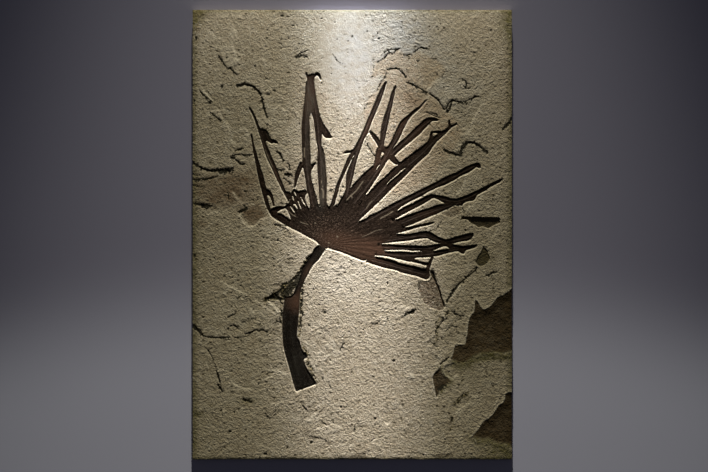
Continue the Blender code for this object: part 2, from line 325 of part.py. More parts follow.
POCKET = [
    (458.5, 220.5), (461.5, 218.8), (461.2, 216.2), (463.0, 215.9), (467.0, 216.3), (472.0, 216.5),
    (478.0, 216.5), (484.0, 217.0), (490.0, 216.8), (495.0, 217.0), (499.0, 217.2), (500.0, 218.0),
    (499.8, 220.0), (500.8, 222.0), (499.0, 223.5), (496.0, 224.5), (493.0, 226.0), (490.5, 227.5),
    (488.5, 228.5), (486.5, 228.0), (484.0, 226.8), (481.0, 226.8), (479.0, 227.8), (477.0, 226.5),
    (475.0, 225.0), (472.0, 224.0), (470.0, 222.5), (468.5, 220.5), (466.0, 219.5), (463.0, 219.6),
]
DARK_PATCH = [
    (483.3, 246.5), (482.0, 249.5), (481.0, 252.0), (479.5, 253.5), (478.5, 255.0), (477.0, 258.0),
    (475.8, 261.0), (476.0, 263.0), (478.0, 265.2), (480.0, 266.4), (483.5, 265.8), (486.0, 264.0),
    (488.5, 261.0), (490.0, 258.5), (489.5, 256.0), (488.0, 253.5), (488.0, 251.0), (486.5, 249.0), (485.0, 248.0),
]
SCRAP = [
    (419.0, 281.5), (418.7, 291.0), (420.5, 296.0), (423.0, 301.0), (425.5, 304.2), (428.0, 305.5),
    (431.0, 307.5), (434.0, 309.0), (437.0, 310.0), (440.0, 310.6), (443.0, 309.9), (444.6, 307.0),
    (443.3, 301.0), (442.0, 297.0), (440.5, 293.0), (439.0, 288.0), (437.0, 283.5), (435.5, 280.0),
    (433.6, 277.0), (431.6, 275.6), (431.2, 279.2), (428.0, 281.2), (424.0, 281.4), (421.0, 280.6),
]

# fold lines pressed along the leaflets, in grid steps
FOLDS = {
    "leaflet_left": [[(256.8, 124), (263.2, 142), (267.8, 154), (273.6, 168), (280.6, 184), (286.6, 196)]],
    "leaflet_upright_left": [[(309.4, 84), (308.2, 102), (306.0, 120), (305.6, 142), (306.2, 160), (307.6, 176), (310.4, 192), (313.6, 206)]],
    "leaflet_upright_right": [[(314.2, 100), (317.6, 120), (318.6, 136), (320.8, 156), (321.8, 176), (322.6, 192), (323.4, 205)]],
    "leaflet_steep": [[(383.0, 90), (376.4, 106), (370.0, 120), (364.0, 134), (357.8, 148), (353.6, 164), (350.0, 180), (346.4, 197)]],
    "leaflet_upper_pair": [[(393.6, 93), (388.6, 112), (384.6, 128), (382.8, 142), (380.2, 149)],
                           [(421.0, 107.2), (408.4, 118.6), (400.0, 130), (395.2, 141), (388.4, 152), (374.0, 176), (363.2, 192), (354.0, 203)]],
    "leaflet_inner_right": [[(432.0, 119), (422.8, 125.2), (412.0, 135.4), (400.4, 145.6), (391.2, 154.4)]],
    "leaflet_outer_right": [[(446.0, 131.6), (436.4, 138.6), (424.0, 151.4), (412.6, 161.6), (408.6, 164.6)],
                            [(385.6, 186.6), (376.0, 197), (367.4, 206.4), (360.6, 214)]],
    "leaflet_right_upper": [[(474.0, 166.0), (452.0, 177.4), (430.4, 188.0), (410.0, 198.2), (388.0, 209.4), (366.0, 221.4)]],
    "leaflet_right_middle": [[(498.0, 181.4), (480.0, 191.2), (462.0, 200.6), (446.0, 200.4), (437.0, 197.0)],
                             [(458.0, 203.0), (440.0, 208.6), (420.0, 215.6), (402.0, 222.8)]],
    "leaflet_lower_upper": [[(470.0, 237.0), (452.0, 241.0), (436.0, 239.6), (424.0, 234.8), (404.0, 237.8), (386.0, 240.8)]],
    "leaflet_lower_middle": [[(434.0, 247.6), (418.0, 248.2), (400.0, 247.6), (384.0, 247.2)],
                             [(458.0, 248.8), (440.0, 252.6), (420.0, 255.0), (400.0, 255.6), (384.0, 253.6)]],
    "leaflet_lowest": [[(424.0, 274.0), (406.0, 269.4), (388.0, 264.2), (372.0, 260.0)]],
    "petiole": [[(320.0, 251.0), (312.0, 261.0), (304.6, 272.0), (300.6, 284.0), (297.0, 297.0), (294.6, 312.0),
                 (293.2, 330.0), (294.0, 346.0), (298.0, 362.0), (303.0, 375.0), (307.6, 385.0)]],
}
HASTULA = (322.5, 243.5)        # where the stalk meets the blade
RAYS = [                        # outer ends of the fan's radial folds
    (276.5, 215.4), (293.0, 216.0), (304.0, 210.4), (320.6, 210.4), (341.0, 208.4),
    (356.0, 209.4), (372.0, 224.4), (392.0, 226.6), (382.0, 239.0), (370.0, 255.4),
]

# ---------------------------------------------------------------- scene
for old in list(bpy.data.objects):
    bpy.data.objects.remove(old, do_unlink=True)

parts = bpy.data.collections.new("fossil_palm_frond_slab")
cutters = bpy.data.collections.new("cutters")
bpy.context.scene.collection.children.link(parts)
bpy.context.scene.collection.children.link(cutters)


def place(u, v):
    """Grid step to metres on the slab's face."""
    return (u - MID_U) * UNIT, (MID_V - v) * UNIT


def thinned(loop):
    """The closed outline without the points that lie on the line between their neighbours."""
    pts = list(loop)
    changed = True
    while changed:
        changed = False
        for i in range(len(pts) - 1, -1, -1):
            a, p, b = Vector(pts[i - 1]), Vector(pts[i]), Vector(pts[(i + 1) % len(pts)])
            run = b - a
            if run.length > 1e-9 and abs(run.cross(p - a)) / run.length < ON_LINE and (b - a).length < LONGEST:
                del pts[i]
                changed = True
    return pts


def area2(loop):
    return sum(loop[i - 1][0] * p[1] - p[0] * loop[i - 1][1] for i, p in enumerate(loop))


def grown(loop, by):
    """The closed outline moved outwards by this much, with short mitres."""
    pts = [Vector(place(*p)) for p in thinned(loop)]
    if area2([(p.x, p.y) for p in pts]) < 0:
        pts.reverse()
    if by == 0.0:
        return pts
    out = []
    for i, p in enumerate(pts):
        a = (p - pts[i - 1]).normalized()
        b = (pts[(i + 1) % len(pts)] - p).normalized()
        na, nb = Vector((a.y, -a.x)), Vector((b.y, -b.x))
        m = na + nb
        if m.length < 1e-6:
            m = na
        m.normalize()
        out.append(p + m * (by / max(m.dot(na), 0.55)))
    return out


def material(name, colour, roughness):
    m = bpy.data.materials.new(name)
    m.use_nodes = True
    p = m.node_tree.nodes["Principled BSDF"]
    p.inputs["Base Color"].default_value = colour
    p.inputs["Roughness"].default_value = roughness
    p.inputs["Metallic"].default_value = 0.0
    m.diffuse_color = colour
    return m


def to_mesh(curve_obj, collection):
    """The curve as a welded mesh object, and the curve removed."""
    bpy.context.view_layer.update()
    graph = bpy.context.evaluated_depsgraph_get()
    mesh = bpy.data.meshes.new_from_object(curve_obj.evaluated_get(graph))
    name = curve_obj.name
    made = bpy.data.objects.new(name + "_mesh", mesh)
    made.matrix_world = curve_obj.matrix_world.copy()
    collection.objects.link(made)
    bpy.data.objects.remove(curve_obj, do_unlink=True)
    made.name = name
    mesh.name = name
    bm = bmesh.new()
    bm.from_mesh(mesh)
    bmesh.ops.remove_doubles(bm, verts=bm.verts, dist=1e-6)
    bmesh.ops.recalc_face_normals(bm, faces=bm.faces)
    bm.to_mesh(mesh)
    bm.free()
    return made


def plate(name, loops, z_low, z_high, collection):
    """A flat outline with islands, filled and extruded between two heights."""
    curve = bpy.data.curves.new(name, "CURVE")
    curve.dimensions = "2D"
    curve.fill_mode = "BOTH"
    curve.extrude = (z_high - z_low) / 2
    for loop in loops:
        spline = curve.splines.new("POLY")
        spline.points.add(len(loop) - 1)
        for point, p in zip(spline.points, loop):
            point.co = (p.x, p.y, 0.0, 1.0)
        spline.use_cyclic_u = True
    obj = bpy.data.objects.new(name, curve)
    obj.location = (0.0, 0.0, (z_low + z_high) / 2)
    collection.objects.link(obj)
    return to_mesh(obj, collection)


def hide(obj):
    obj.hide_render = True
    obj.display_type = "WIRE"
    return obj


def cut(target, cutter):
    mod = target.modifiers.new(cutter.name, "BOOLEAN")
    mod.operation = "DIFFERENCE"
    mod.solver = "EXACT"
    mod.object = cutter


def fold_cutter(name, path, z):
    """A thin diamond bar along a fold, half sunk in the film's top."""
    curve = bpy.data.curves.new(name, "CURVE")
    curve.dimensions = "3D"
    curve.bevel_depth = PLEAT_R
    curve.bevel_resolution = 0
    curve.use_fill_caps = True
    spline = curve.splines.new("POLY")
    spline.points.add(len(path) - 1)
    for point, (u, v) in zip(spline.points, path):
        x, y = place(u, v)
        point.co = (x, y, z, 1.0)
    obj = bpy.data.objects.new(name, curve)
    cutters.objects.link(obj)
    return hide(to_mesh(obj, cutters))


FACE = SLAB_T
BED = FACE - RECESS
FILM_LOW = BED + FILM_GAP

stone = material("limestone", STONE, 0.9)
blade = material("leaf_film", BLADE, 0.62)
stalk = material("stalk_film", STALK, 0.6)

# ---------------------------------------------------------------- the slab
bpy.ops.mesh.primitive_cube_add(size=1.0)
slab = bpy.context.active_object
slab.name = "stone_slab"
slab.data.name = "stone_slab"
for vertex in slab.data.vertices:
    vertex.co = (vertex.co.x * SLAB_W, vertex.co.y * SLAB_L, (vertex.co.z + 0.5) * SLAB_T)
for col in list(slab.users_collection):
    col.objects.unlink(slab)
parts.objects.link(slab)
slab.data.materials.append(stone)
ease = slab.modifiers.new("eased_arris", "BEVEL")
ease.width = EDGE_CHAMFER
ease.segments = 1
ease.limit_method = "ANGLE"

FROND = {
    "petiole": (PETIOLE, [], STALK_T, stalk),
    "fan_blade": (FAN, FAN_ISLANDS, FILM_T, blade),
    "leaflet_far_left": (FAR_LEFT, [], FILM_T, blade),
    "leaflet_left": (LEFT, [], FILM_T, blade),
    "leaflet_upright_left": (UPRIGHT_LEFT, [], FILM_T, blade),
    "leaflet_upright_right": (UPRIGHT_RIGHT, [], FILM_T, blade),
    "leaflet_steep": (STEEP, [], FILM_T, blade),
    "leaflet_upper_pair": (UPPER_PAIR, UPPER_PAIR_ISLANDS, FILM_T, blade),
    "leaflet_inner_right": (INNER_RIGHT, [], FILM_T, blade),
    "leaflet_outer_right": (OUTER_RIGHT, OUTER_RIGHT_ISLANDS, FILM_T, blade),
    "leaflet_right_upper": (RIGHT_UPPER, [], FILM_T, blade),
    "leaflet_right_middle": (RIGHT_MIDDLE, RIGHT_MIDDLE_ISLANDS, FILM_T, blade),
    "leaflet_right_thin": (RIGHT_THIN, [], FILM_T, blade),
    "leaflet_lower_upper": (LOWER_UPPER, [], FILM_T, blade),
    "leaflet_lower_middle": (LOWER_MIDDLE, LOWER_MIDDLE_ISLANDS, FILM_T, blade),
    "leaflet_lowest": (LOWEST, [], FILM_T, blade),
}

for name, (outline, islands, thick, mat) in FROND.items():
    bed = plate("bed_" + name, [grown(outline, WALL_GAP)] + [grown(i, -WALL_GAP) for i in islands],
                BED, FACE + 0.004, cutters)
    cut(slab, hide(bed))

    top = FILM_LOW + thick
    piece = plate(name, [grown(outline, 0.0)] + [grown(i, 0.0) for i in islands], FILM_LOW, top, parts)
    piece.data.materials.append(mat)
    for n, path in enumerate(FOLDS.get(name, [])):
        cut(piece, fold_cutter(f"fold_{name}_{n}", path, top + PLEAT_R * 0.35))
    if name == "fan_blade":
        for n, end in enumerate(RAYS):
            run = Vector(end) - Vector(HASTULA)
            start = Vector(HASTULA) + run * 0.22
            cut(piece, fold_cutter(f"ray_{n}", [tuple(start), end], top + PLEAT_R * 0.35))


def ramp_cutter(name, loop, deep, v_from, v_to):
    """A prism whose floor climbs from `deep` under the face at v_from to the face at v_to."""
    y_from, y_to = place(0, v_from)[1], place(0, v_to)[1]
    slope = math.atan2(deep, y_from - y_to)
    obj = plate(name, [grown(loop, 0.0)], 0.0, 0.03, cutters)
    shift = Matrix.Translation(Vector((0.0, y_from, FACE - deep)))
    tilt = Matrix.Rotation(-slope, 4, "X")
    back = Matrix.Translation(Vector((0.0, -y_from, 0.0)))
    obj.data.transform(shift @ tilt @ back @ obj.matrix_world)
    obj.matrix_world = Matrix.Identity(4)
    return hide(obj)


cut(slab, ramp_cutter("corner_flake_upper", STEP1, STEP1_DEEP, STEP1_FROM, STEP1_TO))
cut(slab, ramp_cutter("corner_flake_lower", STEP2, STEP2_DEEP, STEP2_FROM, STEP2_TO))
cut(slab, hide(plate("pocket", [grown(POCKET, 0.0)], FACE - POCKET_DEEP, FACE + 0.004, cutters)))
cut(slab, hide(plate("dark_patch", [grown(DARK_PATCH, 0.0)], FACE - PATCH_DEEP, FACE + 0.004, cutters)))
cut(slab, hide(plate("leaf_scrap_print", [grown(SCRAP, 0.0)], FACE - SCRAP_DEEP, FACE + 0.004, cutters)))
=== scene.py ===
"""The look of the fossil palm frond slab: split limestone with a carbonised fan palm leaf lying in its own cut bed."""

import math

import bpy
import numpy as np
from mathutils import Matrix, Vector
from mathutils.geometry import delaunay_2d_cdt
from mathutils.kdtree import KDTree


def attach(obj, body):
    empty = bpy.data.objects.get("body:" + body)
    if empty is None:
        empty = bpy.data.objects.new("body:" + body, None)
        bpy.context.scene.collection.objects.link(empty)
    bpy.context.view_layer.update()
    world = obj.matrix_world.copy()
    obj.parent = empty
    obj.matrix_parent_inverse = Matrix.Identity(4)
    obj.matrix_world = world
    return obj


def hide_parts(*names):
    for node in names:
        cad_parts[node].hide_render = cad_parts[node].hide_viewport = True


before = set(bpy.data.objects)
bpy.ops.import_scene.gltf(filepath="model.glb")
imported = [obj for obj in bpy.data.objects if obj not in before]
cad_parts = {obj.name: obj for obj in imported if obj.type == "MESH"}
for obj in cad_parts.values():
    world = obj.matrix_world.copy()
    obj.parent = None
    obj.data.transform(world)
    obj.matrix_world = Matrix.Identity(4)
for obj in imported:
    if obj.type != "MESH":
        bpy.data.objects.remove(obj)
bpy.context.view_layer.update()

# ---------------------------------------------------------------- sizes, in metres unless said
UNIT = 0.00191                  # one grid step of the outlines
MID_U, MID_V = 352.25, 234.65   # grid point over the slab's centre
SLAB_W, SLAB_L, SLAB_T = 0.610, 0.859, 0.022
FACE = 0.0212                   # mean height of the split face
BED = 0.0028                    # the frond's bed at its edge, below the face
UNDER = 0.0034                  # underside of the film, below the face
FILM_DEEP = 0.0018              # top of the blade's film, below the face
STALK_DEEP = 0.0021
RIM_LOW, RIM_UP = 0.0028, 0.0008   # width of the bed's slope on lower and on upper edges
SEAM = 0.0017                   # pieces of the frond closer than this join up
GRID = 0.00318                  # spacing of the face's points
FILM_GRID = 0.00108             # spacing of the film's points
FAR = 1.0

STONE_DEEP = (0.405, 0.350, 0.265)
STONE_PALE = (0.515, 0.465, 0.375)
STONE_WARM = (0.500, 0.430, 0.320)
FILM_DARK = (0.0056, 0.0035, 0.0025)
FILM_LIGHT = (0.0180, 0.0116, 0.0080)
BUMP_MID, BUMP_FINE, BUMP_GRIT, BUMP_CREASE = 0.00125, 0.00145, 0.00058, 0.0034
FLOOR_COLOUR = (0.39, 0.395, 0.61)
WORLD_COLOUR, WORLD_LEVEL = (0.80, 0.80, 0.84), 0.022
LIGHTS = [
    ("spot", ("key", (0.0, 5.00, 1.52), (0.0, -2.00, 0.02), 862.0, (1.0, 0.93, 0.66), 22.0, 1.0, 0.10)),
    ("spot", ("band_top", (0.008, 2.40, 0.76), (0.006, 0.568, 0.02), 715.0, (0.76, 0.85, 1.0), 7.8, 1.0, 0.045)),
    ("spot", ("band_mid", (0.008, 2.40, 0.76), (0.008, -0.06, 0.02), 712.0, (1.0, 0.945, 0.95), 7.8, 1.0, 0.045)),
    ("spot", ("band_low", (0.008, 2.40, 0.76), (0.010, -1.08, 0.02), 200.0, (1.0, 0.89, 0.72), 7.8, 1.0, 0.045)),
    ("spot", ("band_wide", (0.0, 2.40, 0.76), (-0.02, -0.90, 0.02), 135.0, (1.0, 0.93, 0.74), 17.0, 1.0, 0.05)),
    ("spot", ("sweep", (0.0, 5.00, 1.52), (0.0, 0.0, 6.199), 900.0, (1.0, 1.0, 0.67), 120.0, 0.024, 0.02)),
    ("panel", ("crest", (0.0, 0.66, 0.16), (0.0, 0.34, 0.02), 1.5, (1.0, 0.94, 0.84), 0.9, 0.03)),
    ("panel", ("fill", (0.0, -0.3, 2.6), (0.0, 0.0, 0.0), 1.6, (1.0, 0.97, 0.90), 2.5, 2.5)),
]
HASTULA = (322.5, 243.5)        # where the stalk meets the blade
# Tones of the film: (u, v, half width, half height, share, tilt)
RED = [(414, 128, 14, 16, 0.4, 0.0), (380, 160, 14, 14, 0.4, 0.0), (366, 125, 8, 18, 0.5, 0.0), (294, 302, 9, 10, 0.6, 0.0), (380, 248, 18, 9, 0.6, -0.3), (309, 94, 7, 24, 0.6, 0.0), (276, 176, 5, 22, 0.5, 0.0), (400, 120, 8, 18, 0.3, 0.0), (430, 215, 22, 6, 0.35, -0.3), (356, 248, 28, 12, 0.75, -0.35), (306, 268, 8, 22, 0.45, 0.5), (300, 300, 8, 12, 0.4, 0.0), (330, 238, 14, 8, 0.3, 0.0)]
GREENISH = [(310, 100, 5, 14, 0.40, 0.0), (309, 84, 3, 7, 0.2, 0.0), (308, 130, 3, 40, 0.22, 0.0), (323, 170, 3, 30, 0.25, 0.0), (320, 200, 4, 10, 0.4, 0.0), (296, 365, 6, 16, 0.2, 0.0)]

# ---------------------------------------------------------------- outlines, in grid steps (u right, v down)
PETIOLE = [
    (319.2, 245.2), (316.4, 246.8), (314.2, 248.8), (313.2, 252.0), (311.5, 255.0), (309.5, 258.0),
    (307.3, 261.0), (305.2, 264.5), (303.2, 267.5), (301.6, 270.5), (300.8, 274.0), (299.8, 279.0),
    (298.3, 283.5), (296.6, 287.0), (295.4, 290.5), (293.6, 294.0), (291.0, 296.5), (284.8, 297.0),
    (284.5, 301.0), (283.7, 307.0), (283.0, 312.0), (282.4, 320.0), (282.2, 330.0), (282.7, 338.0),
    (283.0, 344.0), (284.1, 350.0), (285.6, 356.0), (287.0, 360.5), (288.3, 365.0), (289.7, 370.0),
    (291.0, 375.0), (292.3, 380.0), (293.7, 385.0), (295.0, 389.0), (296.1, 391.6), (300.0, 389.9),
    (305.0, 388.0), (310.0, 386.3), (316.4, 383.9), (314.6, 381.0), (312.6, 378.0), (310.5, 374.5),
    (308.0, 371.0), (306.0, 368.0), (304.5, 364.0), (303.4, 360.2), (304.6, 358.6), (306.6, 358.0),
    (307.0, 356.0), (306.0, 353.6), (304.0, 352.4), (302.1, 350.5), (300.6, 347.0), (299.7, 343.0),
    (298.5, 340.0), (296.7, 337.0), (296.9, 333.0), (297.6, 328.0), (298.1, 323.0), (298.3, 317.0),
    (299.2, 311.0), (299.4, 305.0), (299.6, 299.0), (300.0, 294.0), (300.8, 290.0), (302.2, 286.0),
    (303.8, 282.5), (305.3, 279.0), (307.0, 275.8), (309.0, 272.0), (311.0, 268.3), (313.2, 264.8),
    (315.8, 262.2), (318.5, 259.8), (321.0, 256.0), (323.5, 252.2), (325.8, 249.1),
]
FAN = [
    (319.5, 244.7), (317.2, 242.4), (315.0, 240.4), (310.0, 238.0), (305.0, 235.3), (300.0, 232.5),
    (295.0, 230.0), (290.0, 227.5), (285.0, 224.7), (280.0, 221.7), (275.0, 218.7), (271.6, 216.3),
    (269.8, 213.6), (268.5, 211.2), (270.9, 210.0), (272.0, 208.5), (275.0, 207.4), (279.0, 206.4),
    (281.2, 206.3), (282.8, 206.9), (285.0, 206.6), (286.6, 205.2), (288.0, 203.9), (289.6, 202.8),
    (290.6, 198.0), (291.6, 193.4), (293.0, 190.2), (294.4, 188.8), (296.4, 190.6), (299.0, 191.6),
    (302.0, 190.4), (305.2, 189.6), (306.3, 190.9), (307.0, 192.6), (305.8, 195.2), (304.6, 198.2),
    (305.4, 201.4), (306.6, 205.4), (308.4, 208.6), (309.9, 209.5), (318.4, 206.4), (319.0, 206.7),
    (328.5, 207.8), (329.1, 207.9), (334.4, 206.2), (337.0, 206.5), (346.0, 203.0), (346.6, 202.7),
    (359.6, 204.7), (360.0, 205.6), (357.3, 222.4), (357.6, 223.2), (363.2, 227.0), (366.2, 225.7),
    (370.2, 223.7), (374.2, 221.7), (378.2, 220.1), (380.6, 219.2), (385.2, 216.0), (388.2, 214.2),
    (391.2, 212.6), (394.2, 212.0), (396.3, 212.3), (391.2, 219.5), (391.2, 220.2), (403.0, 227.9),
    (402.8, 228.4), (390.3, 234.3), (389.8, 235.5), (378.0, 243.9), (378.0, 245.2), (375.0, 255.6),
    (374.0, 256.5), (364.6, 261.0), (360.0, 259.6), (355.0, 257.7), (350.0, 255.7), (345.0, 253.6),
    (340.0, 251.6), (335.0, 250.2), (331.0, 249.2), (328.0, 247.7), (326.2, 248.6), (325.6, 248.7),
]
FAN_ISLANDS = [
    [(276.4, 212.6), (278.5, 211.0), (281.0, 209.4), (283.5, 208.3), (286.0, 208.1), (287.4, 210.0),
     (288.6, 213.0), (289.8, 216.0), (291.2, 219.8), (289.4, 219.4), (286.4, 217.4), (283.4, 215.4), (280.0, 213.8)],
    [(291.9, 196.2), (292.9, 195.6), (293.9, 198.6), (294.3, 201.0), (292.9, 200.8), (291.9, 199.0)],
    [(293.4, 192.4), (294.4, 191.4), (295.6, 193.4), (296.8, 196.4), (295.2, 196.0), (293.9, 194.4)],
    [(289.3, 206.4), (290.7, 206.0), (292.4, 208.4), (294.4, 211.4), (295.6, 213.8), (293.6, 212.8), (291.2, 209.8)],
    [(292.8, 204.6), (295.0, 203.4), (296.6, 206.0), (298.0, 208.6), (297.0, 209.8), (294.6, 207.0)],
    [(297.3, 201.0), (298.5, 200.8), (299.6, 204.0), (300.8, 207.2), (301.6, 209.8), (300.2, 209.4), (298.8, 206.6), (297.9, 203.6)],
    [(300.0, 196.8), (301.1, 197.0), (302.6, 199.8), (304.4, 203.2), (306.2, 206.6), (304.9, 206.2), (303.2, 204.2), (301.2, 200.8)],
]
FAR_LEFT = [
    (250.6, 133.6), (252.4, 136.5), (253.0, 141.0), (254.0, 146.0), (255.6, 152.0), (257.4, 158.0),
    (259.2, 164.0), (260.8, 170.0), (262.8, 175.0), (263.9, 180.0), (265.0, 185.0), (266.0, 189.0),
    (268.2, 189.9), (270.2, 191.3), (271.8, 194.2), (273.0, 198.0), (273.8, 202.0), (274.1, 205.6),
    (272.9, 205.9), (272.2, 203.0), (271.3, 200.0), (270.1, 197.2), (268.4, 195.0), (266.9, 195.2),
    (267.3, 199.0), (268.4, 203.0), (269.4, 206.8), (270.4, 209.4), (268.2, 210.7), (266.6, 207.6),
    (265.3, 204.0), (264.1, 200.0), (263.0, 196.0), (261.9, 192.0), (260.7, 188.0), (259.7, 184.0),
    (258.8, 180.0), (257.9, 176.0), (257.0, 171.5), (256.2, 167.0), (255.3, 162.0), (254.3, 157.0),
    (253.3, 152.0), (252.4, 147.0), (251.8, 142.0), (251.2, 138.0),
]
LEFT = [
    (248.9, 107.8), (250.5, 111.0), (252.5, 115.0), (254.2, 119.0), (255.6, 123.0), (257.0, 127.0),
    (258.2, 131.0), (259.5, 135.0), (260.8, 139.0), (262.0, 143.0), (263.2, 147.0), (264.4, 151.0),
    (265.7, 155.0), (267.2, 159.0), (268.9, 162.5), (270.4, 165.5), (271.9, 168.5), (273.5, 172.0),
    (275.2, 176.0), (277.1, 180.0), (279.1, 184.0), (281.1, 188.0), (283.2, 192.0), (285.3, 195.8),
    (287.3, 199.4), (288.7, 202.0), (289.9, 197.8), (290.8, 193.4), (288.6, 191.8), (286.0, 191.9),
    (284.6, 190.0), (283.6, 187.0), (282.4, 184.0), (281.0, 181.0), (279.8, 178.0), (278.6, 175.0),
    (277.4, 172.0), (276.3, 169.0), (275.3, 166.0), (274.3, 163.5), (272.8, 160.5), (271.6, 158.0),
    (270.4, 155.0), (269.3, 152.0), (268.3, 149.5), (267.0, 147.0), (266.0, 144.0), (265.2, 141.4),
    (266.8, 140.6), (269.0, 141.8), (271.4, 143.6), (273.6, 142.4), (276.2, 143.4), (277.6, 142.8),
    (275.0, 140.6), (271.6, 139.2), (269.2, 138.0), (267.4, 135.4), (266.6, 133.4), (267.8, 132.6),
    (266.0, 130.4), (263.4, 129.6), (260.8, 130.4), (259.2, 127.5), (257.4, 123.0), (255.8, 118.5),
    (254.0, 114.5), (252.0, 110.5), (250.3, 107.6),
]
UPRIGHT_LEFT = [
    (305.4, 73.4), (306.3, 72.3), (308.0, 75.6), (309.4, 74.8), (312.0, 73.4), (312.4, 78.0),
    (312.5, 84.0), (312.3, 90.0), (312.0, 96.0), (311.7, 102.0), (311.2, 108.0), (310.7, 113.5),
    (309.0, 118.0), (309.2, 123.0), (309.6, 130.0), (309.6, 138.0), (309.8, 146.0), (310.2, 152.0),
    (310.6, 158.0), (310.4, 163.0), (310.8, 164.6), (313.2, 163.8), (315.6, 161.8), (315.2, 164.2),
    (313.2, 167.2), (311.4, 170.4), (310.8, 174.0), (311.0, 178.0), (311.7, 182.0), (312.8, 186.0),
    (314.0, 190.0), (315.2, 194.0), (316.3, 198.0), (317.3, 202.5), (318.0, 205.7), (310.0, 208.8),
    (309.9, 204.0), (309.2, 200.0), (308.6, 196.0), (307.8, 193.0), (306.8, 190.0), (306.2, 186.0),
    (305.6, 181.0), (304.8, 176.0), (304.2, 172.0), (303.4, 168.6), (302.6, 167.0), (301.4, 169.6),
    (299.9, 173.4), (298.4, 177.4), (297.0, 181.4), (296.1, 185.0), (295.2, 187.8), (293.9, 187.6),
    (294.4, 183.0), (294.7, 178.4), (295.4, 174.0), (297.0, 169.8), (298.8, 165.6), (300.5, 161.6),
    (302.4, 163.0), (302.5, 158.0), (302.2, 152.0), (301.9, 146.0), (301.8, 138.0), (301.7, 130.0),
    (301.9, 124.0), (302.5, 118.0), (303.0, 113.0), (303.5, 108.0), (304.4, 103.0), (305.0, 97.0),
    (305.4, 90.0), (306.0, 85.0), (307.6, 79.6), (306.2, 76.0),
]
UPRIGHT_RIGHT = [
    (312.7, 73.2), (314.2, 74.4), (316.0, 72.6), (318.2, 72.6), (320.0, 74.6), (321.2, 79.0),
    (319.8, 79.4), (318.8, 76.4), (316.8, 75.0), (314.6, 77.0), (313.9, 80.6), (314.2, 85.0),
    (314.9, 90.0), (315.6, 95.0), (316.4, 100.0), (317.4, 105.0), (318.4, 110.0), (319.4, 114.5),
    (320.6, 118.5), (322.4, 122.5), (324.8, 126.2), (327.4, 130.0), (329.8, 133.6), (331.8, 137.0),
    (331.0, 138.0), (328.4, 138.0), (325.4, 137.6), (323.4, 135.6), (321.8, 133.0), (321.5, 138.0),
    (321.4, 143.0), (321.5, 147.0), (323.4, 149.8), (324.2, 154.0), (324.9, 159.0), (325.3, 165.0),
    (325.8, 171.0), (326.4, 177.0), (326.8, 183.0), (326.6, 188.0), (326.4, 194.0), (326.2, 200.0),
    (326.9, 205.0), (328.2, 207.1), (319.2, 206.0), (319.6, 203.0), (319.3, 198.0), (319.1, 193.0),
    (318.8, 188.0), (318.4, 182.0), (317.9, 176.0), (317.5, 170.0), (317.3, 164.0), (317.4, 158.0),
    (317.9, 152.0), (317.4, 146.5), (316.2, 141.0), (315.6, 135.0), (315.0, 130.0), (314.2, 125.0),
    (313.6, 119.5), (312.3, 115.6), (311.4, 113.4), (311.9, 108.0), (312.4, 102.0), (312.7, 96.0),
    (313.0, 90.0), (313.2, 84.0), (313.1, 78.0),
]
STEEP = [
    (385.6, 81.4), (382.4, 86.6), (380.2, 91.0), (378.2, 95.0), (376.6, 98.6), (375.0, 103.0),
    (373.2, 107.0), (371.6, 111.0), (370.0, 115.0), (368.2, 119.0), (366.6, 123.0), (365.0, 127.0),
    (363.2, 131.0), (361.4, 135.0), (359.4, 139.0), (357.2, 143.0), (355.2, 146.6), (353.4, 149.4),
    (350.6, 150.8), (347.6, 150.8), (345.0, 151.6), (343.6, 153.0), (345.4, 153.4), (348.4, 152.6),
    (351.2, 152.8), (349.4, 156.0), (347.2, 160.0), (345.2, 165.0), (343.2, 170.5), (341.2, 175.5),
    (339.6, 178.8), (338.0, 182.0), (336.6, 186.0), (335.4, 189.6), (334.4, 194.0), (333.0, 198.0),
    (331.8, 202.0), (330.4, 205.6), (329.4, 207.3), (334.2, 205.6), (335.8, 200.0), (337.0, 196.0),
    (338.2, 192.0), (339.2, 188.0), (340.2, 184.0), (341.8, 180.0), (343.8, 175.5), (345.8, 171.0),
    (348.0, 166.4), (350.2, 161.6), (352.4, 157.4), (354.8, 153.6), (353.4, 158.0), (351.2, 163.0),
    (349.0, 168.0), (347.2, 173.0), (346.2, 178.0), (346.0, 184.0), (345.9, 189.0), (345.0, 192.4),
    (344.2, 194.6), (341.6, 198.6), (339.4, 202.4), (337.3, 205.9), (345.6, 202.5), (347.6, 196.0),
    (350.0, 188.6), (351.2, 184.4), (352.6, 179.0), (353.8, 174.0), (354.8, 169.0), (355.9, 164.0),
    (357.2, 159.0), (359.0, 154.0), (360.8, 149.0), (362.4, 144.0), (364.0, 139.6), (365.8, 136.0),
    (368.3, 132.4), (368.8, 130.2), (370.0, 127.0), (371.4, 123.0), (373.0, 119.0), (374.8, 115.0),
    (376.6, 111.0), (378.2, 107.0), (380.0, 103.0), (381.4, 99.0), (382.8, 95.0), (384.2, 90.6),
    (385.6, 86.0), (386.8, 82.0),
]
